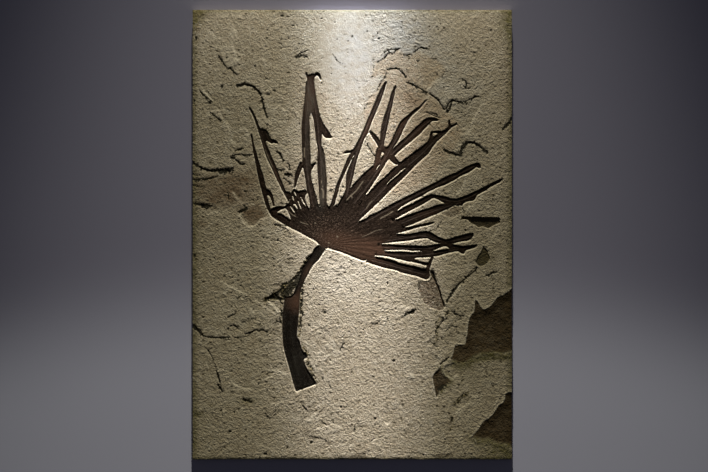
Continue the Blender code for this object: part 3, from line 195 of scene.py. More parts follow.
UPPER_PAIR = [
    (395.0, 85.6), (393.0, 90.0), (391.2, 95.0), (389.8, 100.0), (388.3, 105.0), (386.8, 110.0),
    (385.4, 114.0), (384.0, 118.0), (382.8, 122.0), (381.8, 126.0), (381.0, 130.0), (380.5, 135.0),
    (380.2, 140.0), (379.6, 141.2), (378.4, 138.8), (376.4, 136.2), (374.0, 133.8), (371.6, 131.6),
    (370.0, 130.4), (369.4, 132.4), (371.4, 135.8), (374.0, 139.6), (376.4, 143.4), (378.6, 147.2),
    (377.0, 148.6), (376.3, 152.0), (375.6, 156.0), (375.2, 160.0), (374.4, 162.4), (374.2, 165.0),
    (371.2, 167.2), (368.2, 169.8), (364.2, 173.4), (360.2, 177.4), (355.4, 182.4), (352.2, 186.2),
    (350.6, 188.8), (348.2, 196.2), (346.2, 202.3), (359.5, 204.3), (361.5, 200.4), (363.6, 197.6),
    (365.6, 194.2), (368.1, 191.2), (370.6, 187.6), (373.1, 183.6), (375.6, 179.8), (378.2, 175.8),
    (380.6, 172.0), (382.6, 168.6), (384.6, 165.2), (386.4, 162.2), (388.2, 159.9), (392.0, 149.5),
    (394.2, 146.6), (396.2, 143.8), (398.2, 140.8), (400.0, 137.4), (401.6, 133.8), (403.0, 130.0),
    (405.0, 126.5), (407.5, 121.5), (410.5, 117.0), (414.5, 113.0), (418.5, 109.5), (421.5, 106.0),
    (424.6, 102.2), (426.6, 99.4), (424.0, 101.6), (422.0, 104.6), (419.0, 107.2), (415.0, 109.2),
    (412.0, 111.8), (409.0, 114.8), (405.0, 117.8), (401.0, 121.4), (399.0, 125.0), (397.0, 129.0),
    (395.2, 133.0), (393.2, 137.0), (391.6, 141.0), (390.0, 144.0), (387.6, 147.0), (385.6, 147.4),
    (383.8, 145.8), (384.4, 141.6), (385.4, 137.0), (386.2, 133.0), (387.2, 129.0), (388.4, 124.0),
    (389.4, 119.0), (390.2, 114.0), (391.4, 109.0), (392.4, 105.0), (393.4, 100.0), (394.4, 95.0),
    (395.2, 90.0), (396.2, 86.4),
]
UPPER_PAIR_ISLANDS = [
    [(382.0, 151.0), (384.7, 154.0), (383.0, 156.0), (381.5, 158.0), (380.5, 160.0), (380.7, 156.0)],
    [(380.4, 164.3), (379.6, 166.4), (377.8, 168.9), (376.0, 170.7), (376.5, 168.3), (378.6, 165.3)],
]
INNER_RIGHT = [
    (438.6, 119.9), (435.6, 118.2), (433.0, 117.8), (430.0, 117.8), (427.0, 118.3), (424.4, 120.0),
    (421.4, 122.6), (419.0, 125.0), (416.0, 127.6), (413.4, 130.2), (411.0, 132.6), (408.6, 135.0),
    (406.2, 137.2), (404.0, 139.2), (401.0, 141.6), (398.0, 144.2), (395.6, 146.6), (392.7, 149.6),
    (388.9, 159.8), (391.2, 158.2), (393.6, 156.4), (396.2, 154.2), (399.2, 151.2), (402.2, 148.7),
    (405.2, 146.2), (408.2, 143.7), (411.2, 141.2), (414.2, 138.7), (417.2, 136.2), (420.2, 133.7),
    (422.4, 131.2), (424.6, 128.6), (427.2, 126.2), (429.6, 123.6), (431.6, 121.4), (433.6, 120.6),
    (436.0, 120.9),
]
OUTER_RIGHT = [
    (449.4, 119.4), (450.0, 122.0), (450.2, 124.8), (452.0, 125.0), (454.6, 124.2), (456.8, 122.6),
    (456.6, 124.2), (454.6, 125.6), (452.2, 126.8), (450.0, 129.0), (447.6, 131.4), (445.4, 133.8),
    (443.0, 136.0), (440.6, 138.4), (438.0, 140.6), (436.0, 142.6), (434.4, 144.6), (432.4, 147.2),
    (431.0, 149.6), (429.4, 152.2), (426.8, 155.2), (424.0, 157.6), (421.0, 160.2), (418.4, 162.6),
    (415.8, 165.0), (413.0, 167.8), (410.0, 171.0), (407.0, 174.0), (404.0, 177.2), (400.6, 180.4),
    (397.4, 183.4), (394.2, 186.6), (391.2, 189.4), (388.2, 192.4), (385.2, 195.4), (381.8, 199.0),
    (378.2, 202.6), (374.2, 206.2), (370.2, 210.0), (366.6, 213.2), (364.0, 215.6), (361.0, 218.6),
    (357.8, 221.6), (360.4, 204.4), (363.2, 199.4), (366.2, 195.6), (369.2, 192.6), (371.6, 189.8),
    (374.4, 187.0), (377.0, 183.8), (380.0, 181.0), (383.0, 178.6), (386.0, 176.0), (388.8, 173.4),
    (391.4, 170.4), (394.0, 168.2), (396.6, 166.2), (398.8, 164.6), (396.2, 164.6), (393.2, 163.0),
    (391.0, 160.8), (390.0, 159.6), (391.6, 158.6), (394.6, 156.3), (396.0, 158.6), (398.2, 161.4),
    (400.6, 162.4), (403.0, 160.8), (405.6, 158.6), (408.4, 156.6), (411.2, 154.4), (414.2, 152.0),
    (417.2, 150.0), (420.2, 148.0), (423.0, 146.0), (425.6, 143.8), (428.0, 141.4), (429.4, 139.0),
    (430.0, 136.4), (430.4, 134.0), (431.6, 131.4), (435.0, 131.1), (438.0, 130.9), (441.2, 131.3),
    (444.6, 130.3), (447.0, 128.4), (448.6, 126.6), (448.7, 124.0), (448.6, 121.6),
]
OUTER_RIGHT_ISLANDS = [
    [(432.4, 132.5), (435.4, 132.5), (438.8, 133.4), (436.8, 134.6), (434.9, 136.4), (433.6, 138.2), (432.7, 136.2)],
    [(406.8, 167.2), (404.8, 169.5), (401.3, 172.2), (398.3, 175.0), (395.3, 177.6), (392.3, 180.1), (389.3, 182.6),
     (387.0, 185.3), (386.5, 184.5), (388.7, 181.5), (391.7, 178.9), (394.7, 176.3), (397.7, 173.8), (400.7, 170.9), (404.1, 168.3)],
]
RIGHT_UPPER = [
    (480.6, 166.0), (479.6, 164.0), (478.0, 162.7), (474.4, 163.7), (471.0, 165.0), (467.0, 166.5),
    (463.5, 168.5), (460.2, 170.6), (457.0, 172.6), (453.0, 173.9), (449.2, 175.4), (445.4, 177.3),
    (441.4, 179.4), (437.4, 181.7), (433.4, 183.6), (429.2, 185.8), (425.2, 187.8), (421.2, 189.7),
    (417.2, 191.7), (413.2, 193.7), (409.2, 195.6), (405.2, 197.6), (401.2, 199.6), (397.2, 201.6),
    (393.2, 203.6), (390.0, 205.2), (386.2, 207.4), (382.2, 209.7), (378.2, 212.1), (374.2, 213.9),
    (370.0, 215.2), (368.2, 217.2), (366.0, 218.8), (362.0, 220.2), (358.2, 222.3), (358.3, 223.0),
    (363.3, 226.3), (366.0, 225.1), (370.0, 223.1), (374.0, 221.1), (378.0, 219.5), (380.4, 218.5),
    (385.0, 215.4), (388.0, 213.6), (391.0, 212.0), (394.0, 211.3), (396.7, 211.4), (398.2, 209.4),
    (399.8, 207.8), (401.2, 206.6), (404.2, 205.0), (406.2, 203.6), (410.2, 201.5), (414.2, 199.5),
    (418.2, 197.6), (421.2, 196.0), (424.2, 194.5), (427.2, 192.2), (431.2, 190.4), (434.2, 189.0),
    (437.2, 187.4), (440.2, 186.5), (443.2, 185.5), (447.2, 183.8), (451.2, 181.6), (454.2, 180.3),
    (457.2, 178.2), (460.2, 176.2), (464.2, 174.2), (468.2, 172.8), (471.0, 171.0), (474.0, 168.8),
    (476.2, 167.0), (478.2, 167.4), (480.4, 168.4),
]
RIGHT_MIDDLE = [
    (397.0, 211.9), (398.4, 210.9), (400.2, 209.6), (403.2, 207.6), (407.2, 206.1), (411.2, 204.1),
    (413.4, 203.5), (416.0, 201.6), (419.4, 199.9), (423.0, 198.1), (426.0, 196.4), (428.6, 195.3),
    (431.0, 194.5), (435.0, 194.8), (440.0, 196.0), (445.0, 196.6), (449.0, 198.0), (453.0, 199.0),
    (457.0, 199.0), (460.0, 198.0), (464.0, 196.5), (468.0, 195.0), (471.0, 193.5), (474.0, 192.2),
    (476.2, 191.2), (478.6, 190.2), (481.2, 188.9), (484.2, 187.3), (487.2, 185.6), (490.2, 184.2),
    (493.2, 182.6), (496.2, 181.1), (499.2, 179.8), (501.2, 179.0), (503.2, 178.2), (500.2, 181.9),
    (497.2, 183.4), (494.2, 184.9), (491.2, 186.4), (488.2, 188.5), (485.2, 190.5), (482.2, 192.2),
    (479.6, 193.6), (477.2, 195.0), (475.9, 197.5), (474.8, 199.6), (472.4, 200.6), (469.0, 201.0),
    (465.6, 202.0), (463.0, 203.6), (462.4, 205.8), (460.0, 205.4), (457.0, 205.3), (454.5, 205.0),
    (452.0, 206.4), (449.0, 208.0), (446.0, 209.5), (443.0, 211.0), (440.0, 212.4), (437.0, 213.8),
    (434.0, 215.0), (430.0, 216.5), (427.0, 218.0), (424.0, 219.1), (421.2, 220.4), (417.2, 222.0),
    (413.2, 223.9), (410.2, 225.0), (407.2, 226.0), (403.6, 227.4), (391.9, 219.9),
]
RIGHT_MIDDLE_ISLANDS = [
    [(394.4, 219.8), (396.2, 218.4), (398.6, 217.1), (401.4, 215.1), (405.2, 213.4), (409.2, 211.1), (413.2, 209.1),
     (417.2, 207.1), (421.2, 205.0), (424.2, 203.4), (427.2, 201.4), (430.0, 199.8), (432.0, 198.3), (434.2, 198.0),
     (437.0, 198.8), (440.0, 200.3), (442.2, 201.8), (445.2, 203.2), (444.0, 203.9), (442.0, 204.3), (438.0, 204.9),
     (434.0, 206.3), (430.0, 208.0), (427.0, 209.0), (424.0, 209.7), (420.0, 211.0), (416.0, 212.5), (412.0, 214.0),
     (407.2, 215.4), (404.2, 216.9), (401.2, 218.2), (397.2, 219.4)],
]
RIGHT_THIN = [
    (403.8, 227.9), (409.2, 227.1), (413.2, 226.2), (417.2, 225.5), (421.2, 224.5), (425.2, 223.7),
    (429.0, 223.0), (432.0, 222.2), (434.2, 221.8), (433.2, 223.0), (430.0, 224.2), (425.2, 225.4),
    (420.2, 226.5), (416.0, 227.7), (412.0, 229.0), (408.0, 230.4), (404.0, 231.6), (400.0, 232.6),
    (396.0, 233.6), (392.0, 234.5), (390.9, 234.5),
]
LOWER_UPPER = [
    (391.2, 235.4), (396.0, 234.5), (400.0, 234.0), (404.0, 234.5), (408.0, 234.5), (412.0, 233.7),
    (416.0, 233.0), (420.0, 232.0), (425.0, 231.3), (428.0, 231.6), (431.0, 232.8), (434.0, 234.5),
    (437.0, 236.5), (440.0, 237.8), (443.0, 239.0), (446.0, 239.8), (449.0, 239.5), (452.0, 238.2),
    (455.0, 237.0), (459.0, 236.2), (462.0, 235.3), (466.0, 234.3), (470.0, 233.3), (473.2, 233.0),
    (473.2, 235.4), (472.2, 237.4), (470.6, 239.2), (467.0, 241.0), (463.4, 241.0), (460.0, 241.6),
    (457.0, 242.4), (453.8, 243.6), (446.6, 243.9), (439.6, 243.4), (436.4, 242.5), (433.4, 241.2),
    (431.0, 240.2), (429.2, 239.0), (427.0, 238.0), (424.0, 238.2), (420.2, 238.7), (416.2, 239.3),
    (412.2, 240.1), (408.2, 240.5), (405.2, 241.1), (400.2, 241.4), (395.2, 241.9), (390.2, 242.5),
    (385.2, 243.1), (381.2, 243.6), (379.2, 243.8),
]
LOWER_MIDDLE = [
    (378.8, 244.8), (382.0, 244.5), (386.2, 244.5), (390.2, 244.6), (395.2, 245.1), (400.2, 245.4),
    (405.2, 245.6), (410.2, 245.6), (415.2, 245.8), (420.2, 246.1), (425.2, 246.4), (430.2, 245.6),
    (433.2, 245.1), (436.0, 244.5), (439.6, 244.1), (446.6, 244.6), (454.0, 244.4), (456.2, 245.3),
    (459.0, 246.0), (462.0, 246.3), (466.0, 245.9), (471.0, 245.5), (475.4, 245.0), (477.0, 244.6),
    (476.6, 246.2), (475.0, 247.4), (472.0, 248.4), (469.0, 249.4), (466.2, 250.2), (465.0, 252.0),
    (464.0, 253.7), (462.0, 253.6), (460.0, 252.4), (458.2, 251.2), (455.2, 251.3), (452.0, 252.0),
    (448.0, 253.0), (444.0, 253.9), (440.0, 255.2), (436.2, 256.2), (433.8, 256.4), (431.2, 256.9),
    (430.4, 257.0), (425.0, 257.4), (420.0, 257.4), (415.0, 257.8), (414.4, 259.2), (416.0, 260.4),
    (420.0, 261.6), (424.0, 262.4), (428.0, 262.6), (427.4, 263.8), (426.4, 265.3), (424.2, 265.1),
    (421.2, 264.0), (418.2, 263.0), (415.2, 262.7), (412.0, 261.7), (408.2, 261.5), (405.2, 260.8),
    (403.2, 260.0), (400.0, 259.5), (396.0, 258.5), (392.0, 257.5), (388.0, 256.5), (384.0, 255.9),
    (380.0, 255.5), (375.8, 255.7),
]
LOWER_MIDDLE_ISLANDS = [
    [(382.8, 250.2), (388.0, 249.9), (393.0, 249.85), (400.0, 249.7), (405.0, 249.9), (409.0, 250.2), (412.0, 250.9),
     (416.0, 250.7), (421.4, 250.8), (421.2, 251.8), (418.0, 252.2), (412.0, 252.5), (405.0, 252.05), (400.0, 251.9),
     (393.0, 252.0), (387.0, 251.7)],
    [(432.0, 250.8), (435.0, 249.8), (438.0, 248.5), (441.0, 247.2), (444.0, 246.2), (446.6, 246.1), (448.4, 247.5),
     (449.8, 249.0), (446.0, 249.5), (442.0, 250.0), (438.0, 250.7), (434.4, 251.4)],
]
LOWEST = [
    (375.0, 256.6), (380.0, 257.4), (384.0, 258.6), (388.0, 259.6), (392.0, 260.4), (396.0, 261.9),
    (400.0, 263.4), (404.0, 264.4), (408.0, 265.2), (412.0, 266.1), (416.0, 266.9), (420.0, 267.9),
    (423.5, 268.9), (425.8, 269.1), (426.7, 267.4), (427.2, 265.8), (428.3, 263.6), (429.2, 261.8),
    (430.6, 259.0), (431.4, 257.4), (433.6, 256.9), (432.3, 261.0), (431.0, 264.6), (430.0, 268.0),
    (429.2, 271.4), (429.6, 273.2), (429.9, 276.0), (429.0, 278.0), (427.0, 279.2), (425.0, 279.4),
    (422.0, 278.1), (419.0, 276.9), (415.0, 275.6), (410.0, 274.6), (405.0, 273.4), (400.0, 271.7),
    (395.0, 269.9), (390.0, 268.9), (385.0, 267.9), (380.0, 266.4), (375.0, 264.9), (370.0, 263.2),
    (365.3, 261.3),
]
POCKET = [
    (458.5, 220.5), (461.5, 218.8), (461.2, 216.2), (463.0, 215.9), (467.0, 216.3), (472.0, 216.5),
    (478.0, 216.5), (484.0, 217.0), (490.0, 216.8), (495.0, 217.0), (499.0, 217.2), (500.0, 218.0),
    (499.8, 220.0), (500.8, 222.0), (499.0, 223.5), (496.0, 224.5), (493.0, 226.0), (490.5, 227.5),
    (488.5, 228.5), (486.5, 228.0), (484.0, 226.8), (481.0, 226.8), (479.0, 227.8), (477.0, 226.5),
    (475.0, 225.0), (472.0, 224.0), (470.0, 222.5), (468.5, 220.5), (466.0, 219.5), (463.0, 219.6),
]
DARK_PATCH = [
    (483.3, 246.5), (482.0, 249.5), (481.0, 252.0), (479.5, 253.5), (478.5, 255.0), (477.0, 258.0),
    (475.8, 261.0), (476.0, 263.0), (478.0, 265.2), (480.0, 266.4), (483.5, 265.8), (486.0, 264.0),
    (488.5, 261.0), (490.0, 258.5), (489.5, 256.0), (488.0, 253.5), (488.0, 251.0), (486.5, 249.0), (485.0, 248.0),
]
SCRAP = [
    (419.0, 281.5), (418.7, 291.0), (420.5, 296.0), (423.0, 301.0), (425.5, 304.2), (428.0, 305.5),
    (431.0, 307.5), (434.0, 309.0), (437.0, 310.0), (440.0, 310.6), (443.0, 309.9), (444.6, 307.0),
    (443.3, 301.0), (442.0, 297.0), (440.5, 293.0), (439.0, 288.0), (437.0, 283.5), (435.5, 280.0),
    (433.6, 277.0), (431.6, 275.6), (431.2, 279.2), (428.0, 281.2), (424.0, 281.4), (421.0, 280.6),
]
FOLDS = {
    "leaflet_left": [[(256.8, 124), (263.2, 142), (267.8, 154), (273.6, 168), (280.6, 184), (286.6, 196)]],
    "leaflet_upright_left": [[(309.4, 84), (308.2, 102), (306.0, 120), (305.6, 142), (306.2, 160), (307.6, 176), (310.4, 192), (313.6, 206)]],
    "leaflet_upright_right": [[(314.2, 100), (317.6, 120), (318.6, 136), (320.8, 156), (321.8, 176), (322.6, 192), (323.4, 205)]],
    "leaflet_steep": [[(383.0, 90), (376.4, 106), (370.0, 120), (364.0, 134), (357.8, 148), (353.6, 164), (350.0, 180), (346.4, 197)]],
    "leaflet_upper_pair": [[(393.6, 93), (388.6, 112), (384.6, 128), (382.8, 142), (380.2, 149)],
                           [(421.0, 107.2), (408.4, 118.6), (400.0, 130), (395.2, 141), (388.4, 152), (374.0, 176), (363.2, 192), (354.0, 203)]],
    "leaflet_inner_right": [[(432.0, 119), (422.8, 125.2), (412.0, 135.4), (400.4, 145.6), (391.2, 154.4)]],
    "leaflet_outer_right": [[(446.0, 131.6), (436.4, 138.6), (424.0, 151.4), (412.6, 161.6), (408.6, 164.6)],
                            [(385.6, 186.6), (376.0, 197), (367.4, 206.4), (360.6, 214)]],
    "leaflet_right_upper": [[(474.0, 166.0), (452.0, 177.4), (430.4, 188.0), (410.0, 198.2), (388.0, 209.4), (366.0, 221.4)]],
    "leaflet_right_middle": [[(498.0, 181.4), (480.0, 191.2), (462.0, 200.6), (446.0, 200.4), (437.0, 197.0)],
                             [(458.0, 203.0), (440.0, 208.6), (420.0, 215.6), (402.0, 222.8)]],
    "leaflet_lower_upper": [[(470.0, 237.0), (452.0, 241.0), (436.0, 239.6), (424.0, 234.8), (404.0, 237.8), (386.0, 240.8)]],
    "leaflet_lower_middle": [[(434.0, 247.6), (418.0, 248.2), (400.0, 247.6), (384.0, 247.2)],
                             [(458.0, 248.8), (440.0, 252.6), (420.0, 255.0), (400.0, 255.6), (384.0, 253.6)]],
    "leaflet_lowest": [[(424.0, 274.0), (406.0, 269.4), (388.0, 264.2), (372.0, 260.0)]],
}

# ---------------------------------------------------------------- relief of the stone, in grid steps
# Edges whose upper side stands proud, with a shadowed crevice: (height in mm, [u, v, ...])
DARK = [
    (0.55, [218.7,55.8, 222,60.5, 225.8,66.5, 228,68, 230,67.8, 233,71, 236,74.3, 238,75]),
    (0.35, [232,66.5, 238,65, 240.5,64, 243.5,63.3, 246,65.5, 248,68, 249.5,68]),
    (0.35, [263,73, 264.5,76, 265.5,78.5, 268,78.5, 269,77]),
    (1.05, [237.6,86.3, 242,84, 248,84.5, 253.3,86, 257.5,89.6, 261.1,94.3, 262.7,100.5, 264.8,107.8, 266.8,117]),
    (0.5, [230,98, 232,96.8, 235.5,95.2]),
    (0.7, [200,90.5, 202.5,93.5, 205.5,96.5, 209,102, 212.5,103.5]),
    (0.45, [211.4,113.6, 215,116, 218.5,119, 221,121]),
    (0.35, [224,118.7, 229,117]),
    (0.3, [256.3,40, 260.6,40]),
    (0.45, [277,41.7, 280,43.3, 284.4,44.4]),
    (0.3, [262,13.5, 263.2,18]),
    (0.3, [269.5,25.3, 273.2,25.2]),
    (0.3, [240.8,28.5, 240.9,32]),
    (0.35, [215.4,38, 215.5,43]),
    (0.3, [221.3,40, 221.4,49]),
    (0.55, [296.2,57.2, 299,57.5, 302,55.5, 306.3,53.4]),
    (0.35, [279,101.7, 283.6,102.4]),
    (0.3, [279,110.2, 282.7,110.4]),
    (0.35, [297,101, 299,104]),
    (0.5, [319.6,92.8, 321.5,93.8, 323.4,95.8, 324,99.4]),
    (0.35, [327,91.6, 329.8,90.4]),
    (0.3, [347,105, 349.5,105.6]),
    (0.35, [331.3,51.6, 333,54.5, 336,59, 338.5,62, 342,63.7, 345.5,62.6]),
    (0.3, [344.5,52, 347,49.5, 351,48]),
    (0.75, [374.8,62.1, 379,60.6, 382.1,59, 385.2,55.9, 388.3,52.2, 390.9,52.3, 393.5,52.8, 395.1,49.7, 399.8,48.1, 401.4,49.4]),
    (0.4, [374.1,74, 371.8,76.6, 369.1,79.4]),
    (0.3, [373.8,64, 374,69]),
    (0.3, [353,76, 355.5,80, 359,81.5, 362,81, 365,79.5]),
    (0.25, [359.8,76.3, 363.8,76]),
    (0.25, [390,27.2, 396,26.5, 400,24.5, 402,24]),
    (0.25, [385.3,37.8, 387,35, 389.5,33]),
    (0.45, [415.3,42.3, 418,44, 420.5,47, 425,47.2, 428.8,48.4]),
    (0.4, [412.8,53.6, 415.4,50.4, 419,49.4]),
    (0.3, [402,55.6, 405,56.4, 409,56, 412.2,56.3]),
    (0.4, [430,58.3, 435,58.4, 439.5,60.6]),
    (0.25, [434,33, 436.5,31.4, 445,30.4, 450.5,29.4]),
    (0.6, [470.3,50.8, 473.5,52, 477.8,53.4]),
    (0.65, [466.7,81.3, 466.2,84.5, 465.6,87.4]),
    (0.25, [467,79.2, 473.5,79.4]),
    (0.3, [459,76.5, 463,77]),
    (0.45, [434.8,70.6, 437.2,73.4, 439.6,76.2]),
    (0.5, [439.8,77.6, 442.4,76, 443.6,73, 445.6,70.3]),
    (0.6, [386.6,70.2, 388.2,69, 393,68.2, 398,68.2, 401,69.4, 403.6,72.4, 405.2,76, 407.2,79.6]),
    (0.2, [389.4,66, 396.5,65.6]),
    (0.65, [407.8,82, 411.2,83, 414.6,85.2, 417,88, 418.6,90]),
    (0.7, [419.2,90.7, 423,91.4, 425.8,93.4, 428,94.4]),
    (0.5, [429.4,92.6, 432.8,95, 436.2,97.6, 438.8,100.4, 440.8,104, 443.2,107.6, 445.2,110.6]),
    (1.1, [445.2,110.6, 447.2,111.8, 449,110.2, 449.6,106, 450.6,102.6, 452,99.6, 456,99.4]),
    (0.6, [456,99.4, 459,101.6, 462.2,103.1, 465.4,103.6, 468.4,102.5, 470.4,101.4, 472.5,97.6, 476.6,96.3]),
    (0.3, [494,105.5, 496,103.2, 499,100.6]),
    (0.6, [386.2,71, 385.4,75.4, 383.4,78.6, 381,81, 378.6,85.6, 377.4,90, 376.2,92.6]),
    (0.6, [373,93.6, 371.4,95.4, 370,97.2]),
    (0.6, [369.8,101.2, 367,103.8, 364.8,107, 363.6,110.6]),
    (0.4, [369.6,109.8, 367,113.4]),
    (0.3, [406.4,93.2, 410.6,93.4]),
    (0.65, [428.6,110.6, 431.6,112, 435.6,113.4, 439.4,115.8]),
    (0.35, [503.9,129, 508,124.8, 511.4,120.4]),
    (0.45, [277,151.5, 278.5,151.7, 280,153.5, 282,156.5, 283.5,159.5, 284,162]),
    (0.3, [292.5,133.5, 296,130.6, 299,131]),
    (0.3, [294,141.2, 297,142]),
    (0.35, [274,145, 276,148, 277.5,149.6]),
    (0.3, [273,165, 277,167]),
    (0.35, [277,170, 281,170.6, 284.6,169.4]),
    (0.55, [283,176, 285,173.8, 288,173, 290.6,174, 293,176.4, 293.6,178.2]),
    (0.3, [300.4,187, 303,187.5, 305,186.6]),
    (0.35, [257.7,142, 259.5,144.2]),
    (0.45, [283.5,196, 282,198, 281,201, 282.6,204, 285.4,203.6, 288.6,202.2]),
    (0.5, [273,224.5, 277,225, 280,226, 283,227.6, 286,228.2, 288,230, 289.6,234, 291,237, 292,238.8]),
    # left flank
    (0.6, [194,162, 195.5,165, 197.5,168]),
    (0.7, [200,165, 202,167.5, 205,168.8, 208,169.5, 210,170.5, 213,171, 216,170, 219,169, 222,169, 224.5,168.5]),
    (1.0, [224,169, 226,168, 228.5,170, 231,171.5, 232.5,171.5]),
    (0.6, [193.5,180, 196,181, 199,180.5, 202,180, 206,179.5, 209,178.5, 212,178.5, 214,177.5]),
    (0.3, [231,157.5, 233.2,156.5]),
    (0.4, [235.5,158.5, 237.5,161, 239.5,163, 241.5,164.5, 244,164.5, 246,163]),
    (0.25, [236,150, 241,148]),
    (0.35, [238,153, 243,155.4, 248,156.4, 252,159.6]),
    (0.35, [196,185, 202,187, 207,187.6]),
    (0.8, [197,204, 200,205, 203,203.5, 204.5,206, 207,208, 210,206]),
    (0.6, [239,211.5, 240.5,212.5, 243,210, 245.5,211, 247.5,210.5]),
    (0.3, [256.5,199.8, 258.5,198.5]),
    (0.3, [245.5,190.5, 246.5,193]),
    # inside the rays
    (0.3, [342.5,155.5, 344,156.5]), (0.3, [340.5,160.5, 342.5,158.5]),
    (0.35, [332,159.5, 333,161, 334.5,161.3, 336,159.5]),
    (0.3, [312.5,184.3, 315.5,184]),
    (0.3, [355,130.5, 358,129]),
    (0.5, [327,190, 329,191, 331,190.3, 334.6,189.4]),
    (0.5, [338.5,196.5, 342,197.5, 345,194.6]),
    (0.35, [366,144, 368.5,147, 370.5,150]),
    (0.35, [370,155, 372,158, 374,160]),
    (0.35, [402,134.5, 404,137]),
    (0.55, [443,151, 444.8,149.5, 446.5,151, 448.5,153, 450,152, 453,152.5, 456,154, 457.7,154.5]),
    (0.6, [459.3,156, 461.5,155.5, 462.5,152, 463.5,149, 464.5,145.5, 466,143.5, 468,142.3, 470,142, 473,142.3, 476,143, 478,144.3, 480,145.7, 483,149.4, 485,152.2, 487.5,152.6, 489.4,154.4]),
    (0.3, [412,180, 414.2,181]),
    (0.4, [472,160.2, 473.6,159.3, 476,159.2, 479,159.6]),
    (0.5, [490.6,163.4, 493,164.8, 496.4,166]),
    (0.35, [488,177, 488.6,181, 487.4,185]),
    (0.3, [482.6,180, 482.4,183.4]),
    (0.4, [493,198.5, 496,199.5, 499.5,198, 499.6,195]),
    (0.3, [504,218.5, 507.4,218.8, 511,218]),
    (0.45, [442.5,220, 440.5,222.5, 438.5,225.5, 437,228, 434.5,229.3]),
    (0.35, [482,207.5, 484.4,207.9]),
    (0.55, [462.5,205, 463.5,208, 463.3,212]),
    # middle
    (0.3, [371.5,270, 373,269]), (0.35, [374.5,280, 378,278.5]), (0.3, [372.4,282.5, 374.8,282.6]),
    (0.35, [418.4,278.5, 418.6,291]),
    (0.3, [467,277, 464,275.5, 461,277, 458,277.5, 457,279.5, 456,283]),
    (0.35, [455,287, 452,290, 449.5,292]),
    (0.3, [482.5,277, 484.2,278]), (0.3, [490,278, 493,277]),
    (0.9, [430.6,271, 433,271.6, 434,274, 434.2,277, 435.5,280, 437,283.5, 438.5,287]),
    (0.55, [438.5,287, 440,290, 441,293.5, 442,298, 443.3,301, 444.6,306.6]),
    (0.55, [477.8,265.6, 475,267.5, 472,270, 470,272, 468,273.6]),
    (0.5, [452.5,312.5, 455,314, 457,316, 460,316.3, 462,316.2]),
    (0.45, [448.5,316.5, 445.5,319, 441.5,321, 438,322.5]),
    (0.45, [435,330, 439.5,326.5, 443,331]),
    (0.4, [446,333, 450,335.5, 452,333]),
    (0.4, [457,327, 456,333, 458,335]),
    (0.35, [428,339.5, 432,337.5, 437.5,337.6]),
    (0.35, [432,346, 434,346.5]), (0.4, [431,351, 436,357, 440,360]),
    (0.35, [456,404, 459,400.5, 462,398, 464,396.5]),
    (0.3, [461,395, 464.5,392.5, 467,392.5]),
    (0.35, [449,418, 452,417, 451.5,419.4]),
    (0.35, [494,382, 497,386]), (0.3, [453,441, 454.2,442.2]), (0.3, [444,455, 450,455.5]),
    (0.3, [435,403, 436,407]),
    # left of and around the stalk
    (0.3, [211.8,241.6, 212.4,247.5]), (0.35, [214.9,256, 214.9,260]), (0.35, [225,259.2, 229,258.8]),
    (0.6, [271.6,256.3, 273.6,258, 275.6,259]),
    (0.55, [288.5,256, 291,258, 294.4,259.6]),
    (0.4, [284,262.5, 289,262.6, 294.4,262]),
    (0.4, [305,258, 308,258.6]),
    (0.4, [255,273, 258,271.5, 261.2,270.5]),
    (0.5, [251.5,282.4, 254,284, 257.2,285.2]),
    (0.4, [255.5,288, 259,287.5, 261.4,286.4]),
    (0.45, [271.5,285.5, 275,284, 280,282.8, 283.4,282]),
    (0.35, [276.4,278, 278.6,279.6]),
    (0.5, [222.4,293.8, 225.4,296.2]),
    (0.35, [237,297, 238.5,299.5, 241,301, 244,301, 247,299, 250,296]),
    (0.55, [227,317, 230,316, 233,314.5, 237.6,312.4]),
    (0.55, [240,322, 245,320.5, 250,319.5, 256,317.5]),
    (0.75, [226,331, 228,328, 231,325, 234,324.4, 237,326.4, 239.4,329.6]),
    (0.75, [243.5,334, 248,332.5, 252,331, 256,329, 261.4,331.2]),
    (0.4, [265.5,332, 268,330.5, 271,329]),
    (0.45, [271,324.4, 274.6,322.4, 278.4,323]),
    (0.4, [274.5,330, 279.4,330.2]),
    (0.6, [194.4,323.6, 196.4,327, 198.6,329, 201.6,332, 204.2,336]),
    (0.4, [204.4,337, 212,337.6, 220,338, 228,339, 233,340]),
    (0.6, [233,336.4, 238,338, 242,340.6, 245.4,344.4]),
    (0.4, [258,338, 261,341, 262.2,344.2]),
    (0.4, [207.6,350.4, 209.6,349.6, 212,347.2]),
    (0.55, [213.4,360.2, 215.4,365.4, 217.2,371.2, 219.6,376.9, 220.1,382.6, 222.4,391]),
    (0.4, [216.6,383.6, 219.4,386, 221,389.6]),
    (0.4, [235,358.6, 237.4,360, 239,363, 240.4,366.4]),
    (0.3, [261,355.4, 266,355.8]), (0.35, [260.4,361.6, 262,364.6]),
    (0.35, [277,357, 279,358.4, 281.6,358.4]),
    (0.35, [272,367.6, 278.2,366.6]), (0.5, [266,371, 269.6,372.8, 273.2,372]),
    (0.35, [283.4,384, 285.6,385.2]),
    (0.45, [243,398.6, 247,400.6, 250,402.4, 253.4,403.6]),
    (0.4, [193.6,413, 197,414.6, 202,416.6]),
    (0.5, [265.5,411, 267,415, 269.5,418, 272,417, 275,414, 278,411.5, 280.2,408.4]),
    (0.35, [261,415.4, 263.2,419.2]),
    (0.45, [298.8,399.6, 302,404, 305,408, 308.4,409.6]),
    (0.4, [311,404, 315,402.5, 318,403]),
    (0.4, [325.2,396.4, 325.6,400.2]),
    (0.5, [324,407, 320.5,411, 318,414.5, 315.4,416.2]),
    (0.5, [319.6,419.6, 323,422, 326,424.5, 328.6,425.8]),
    (0.35, [304.6,426.4, 306.5,429, 309.4,428.4]),
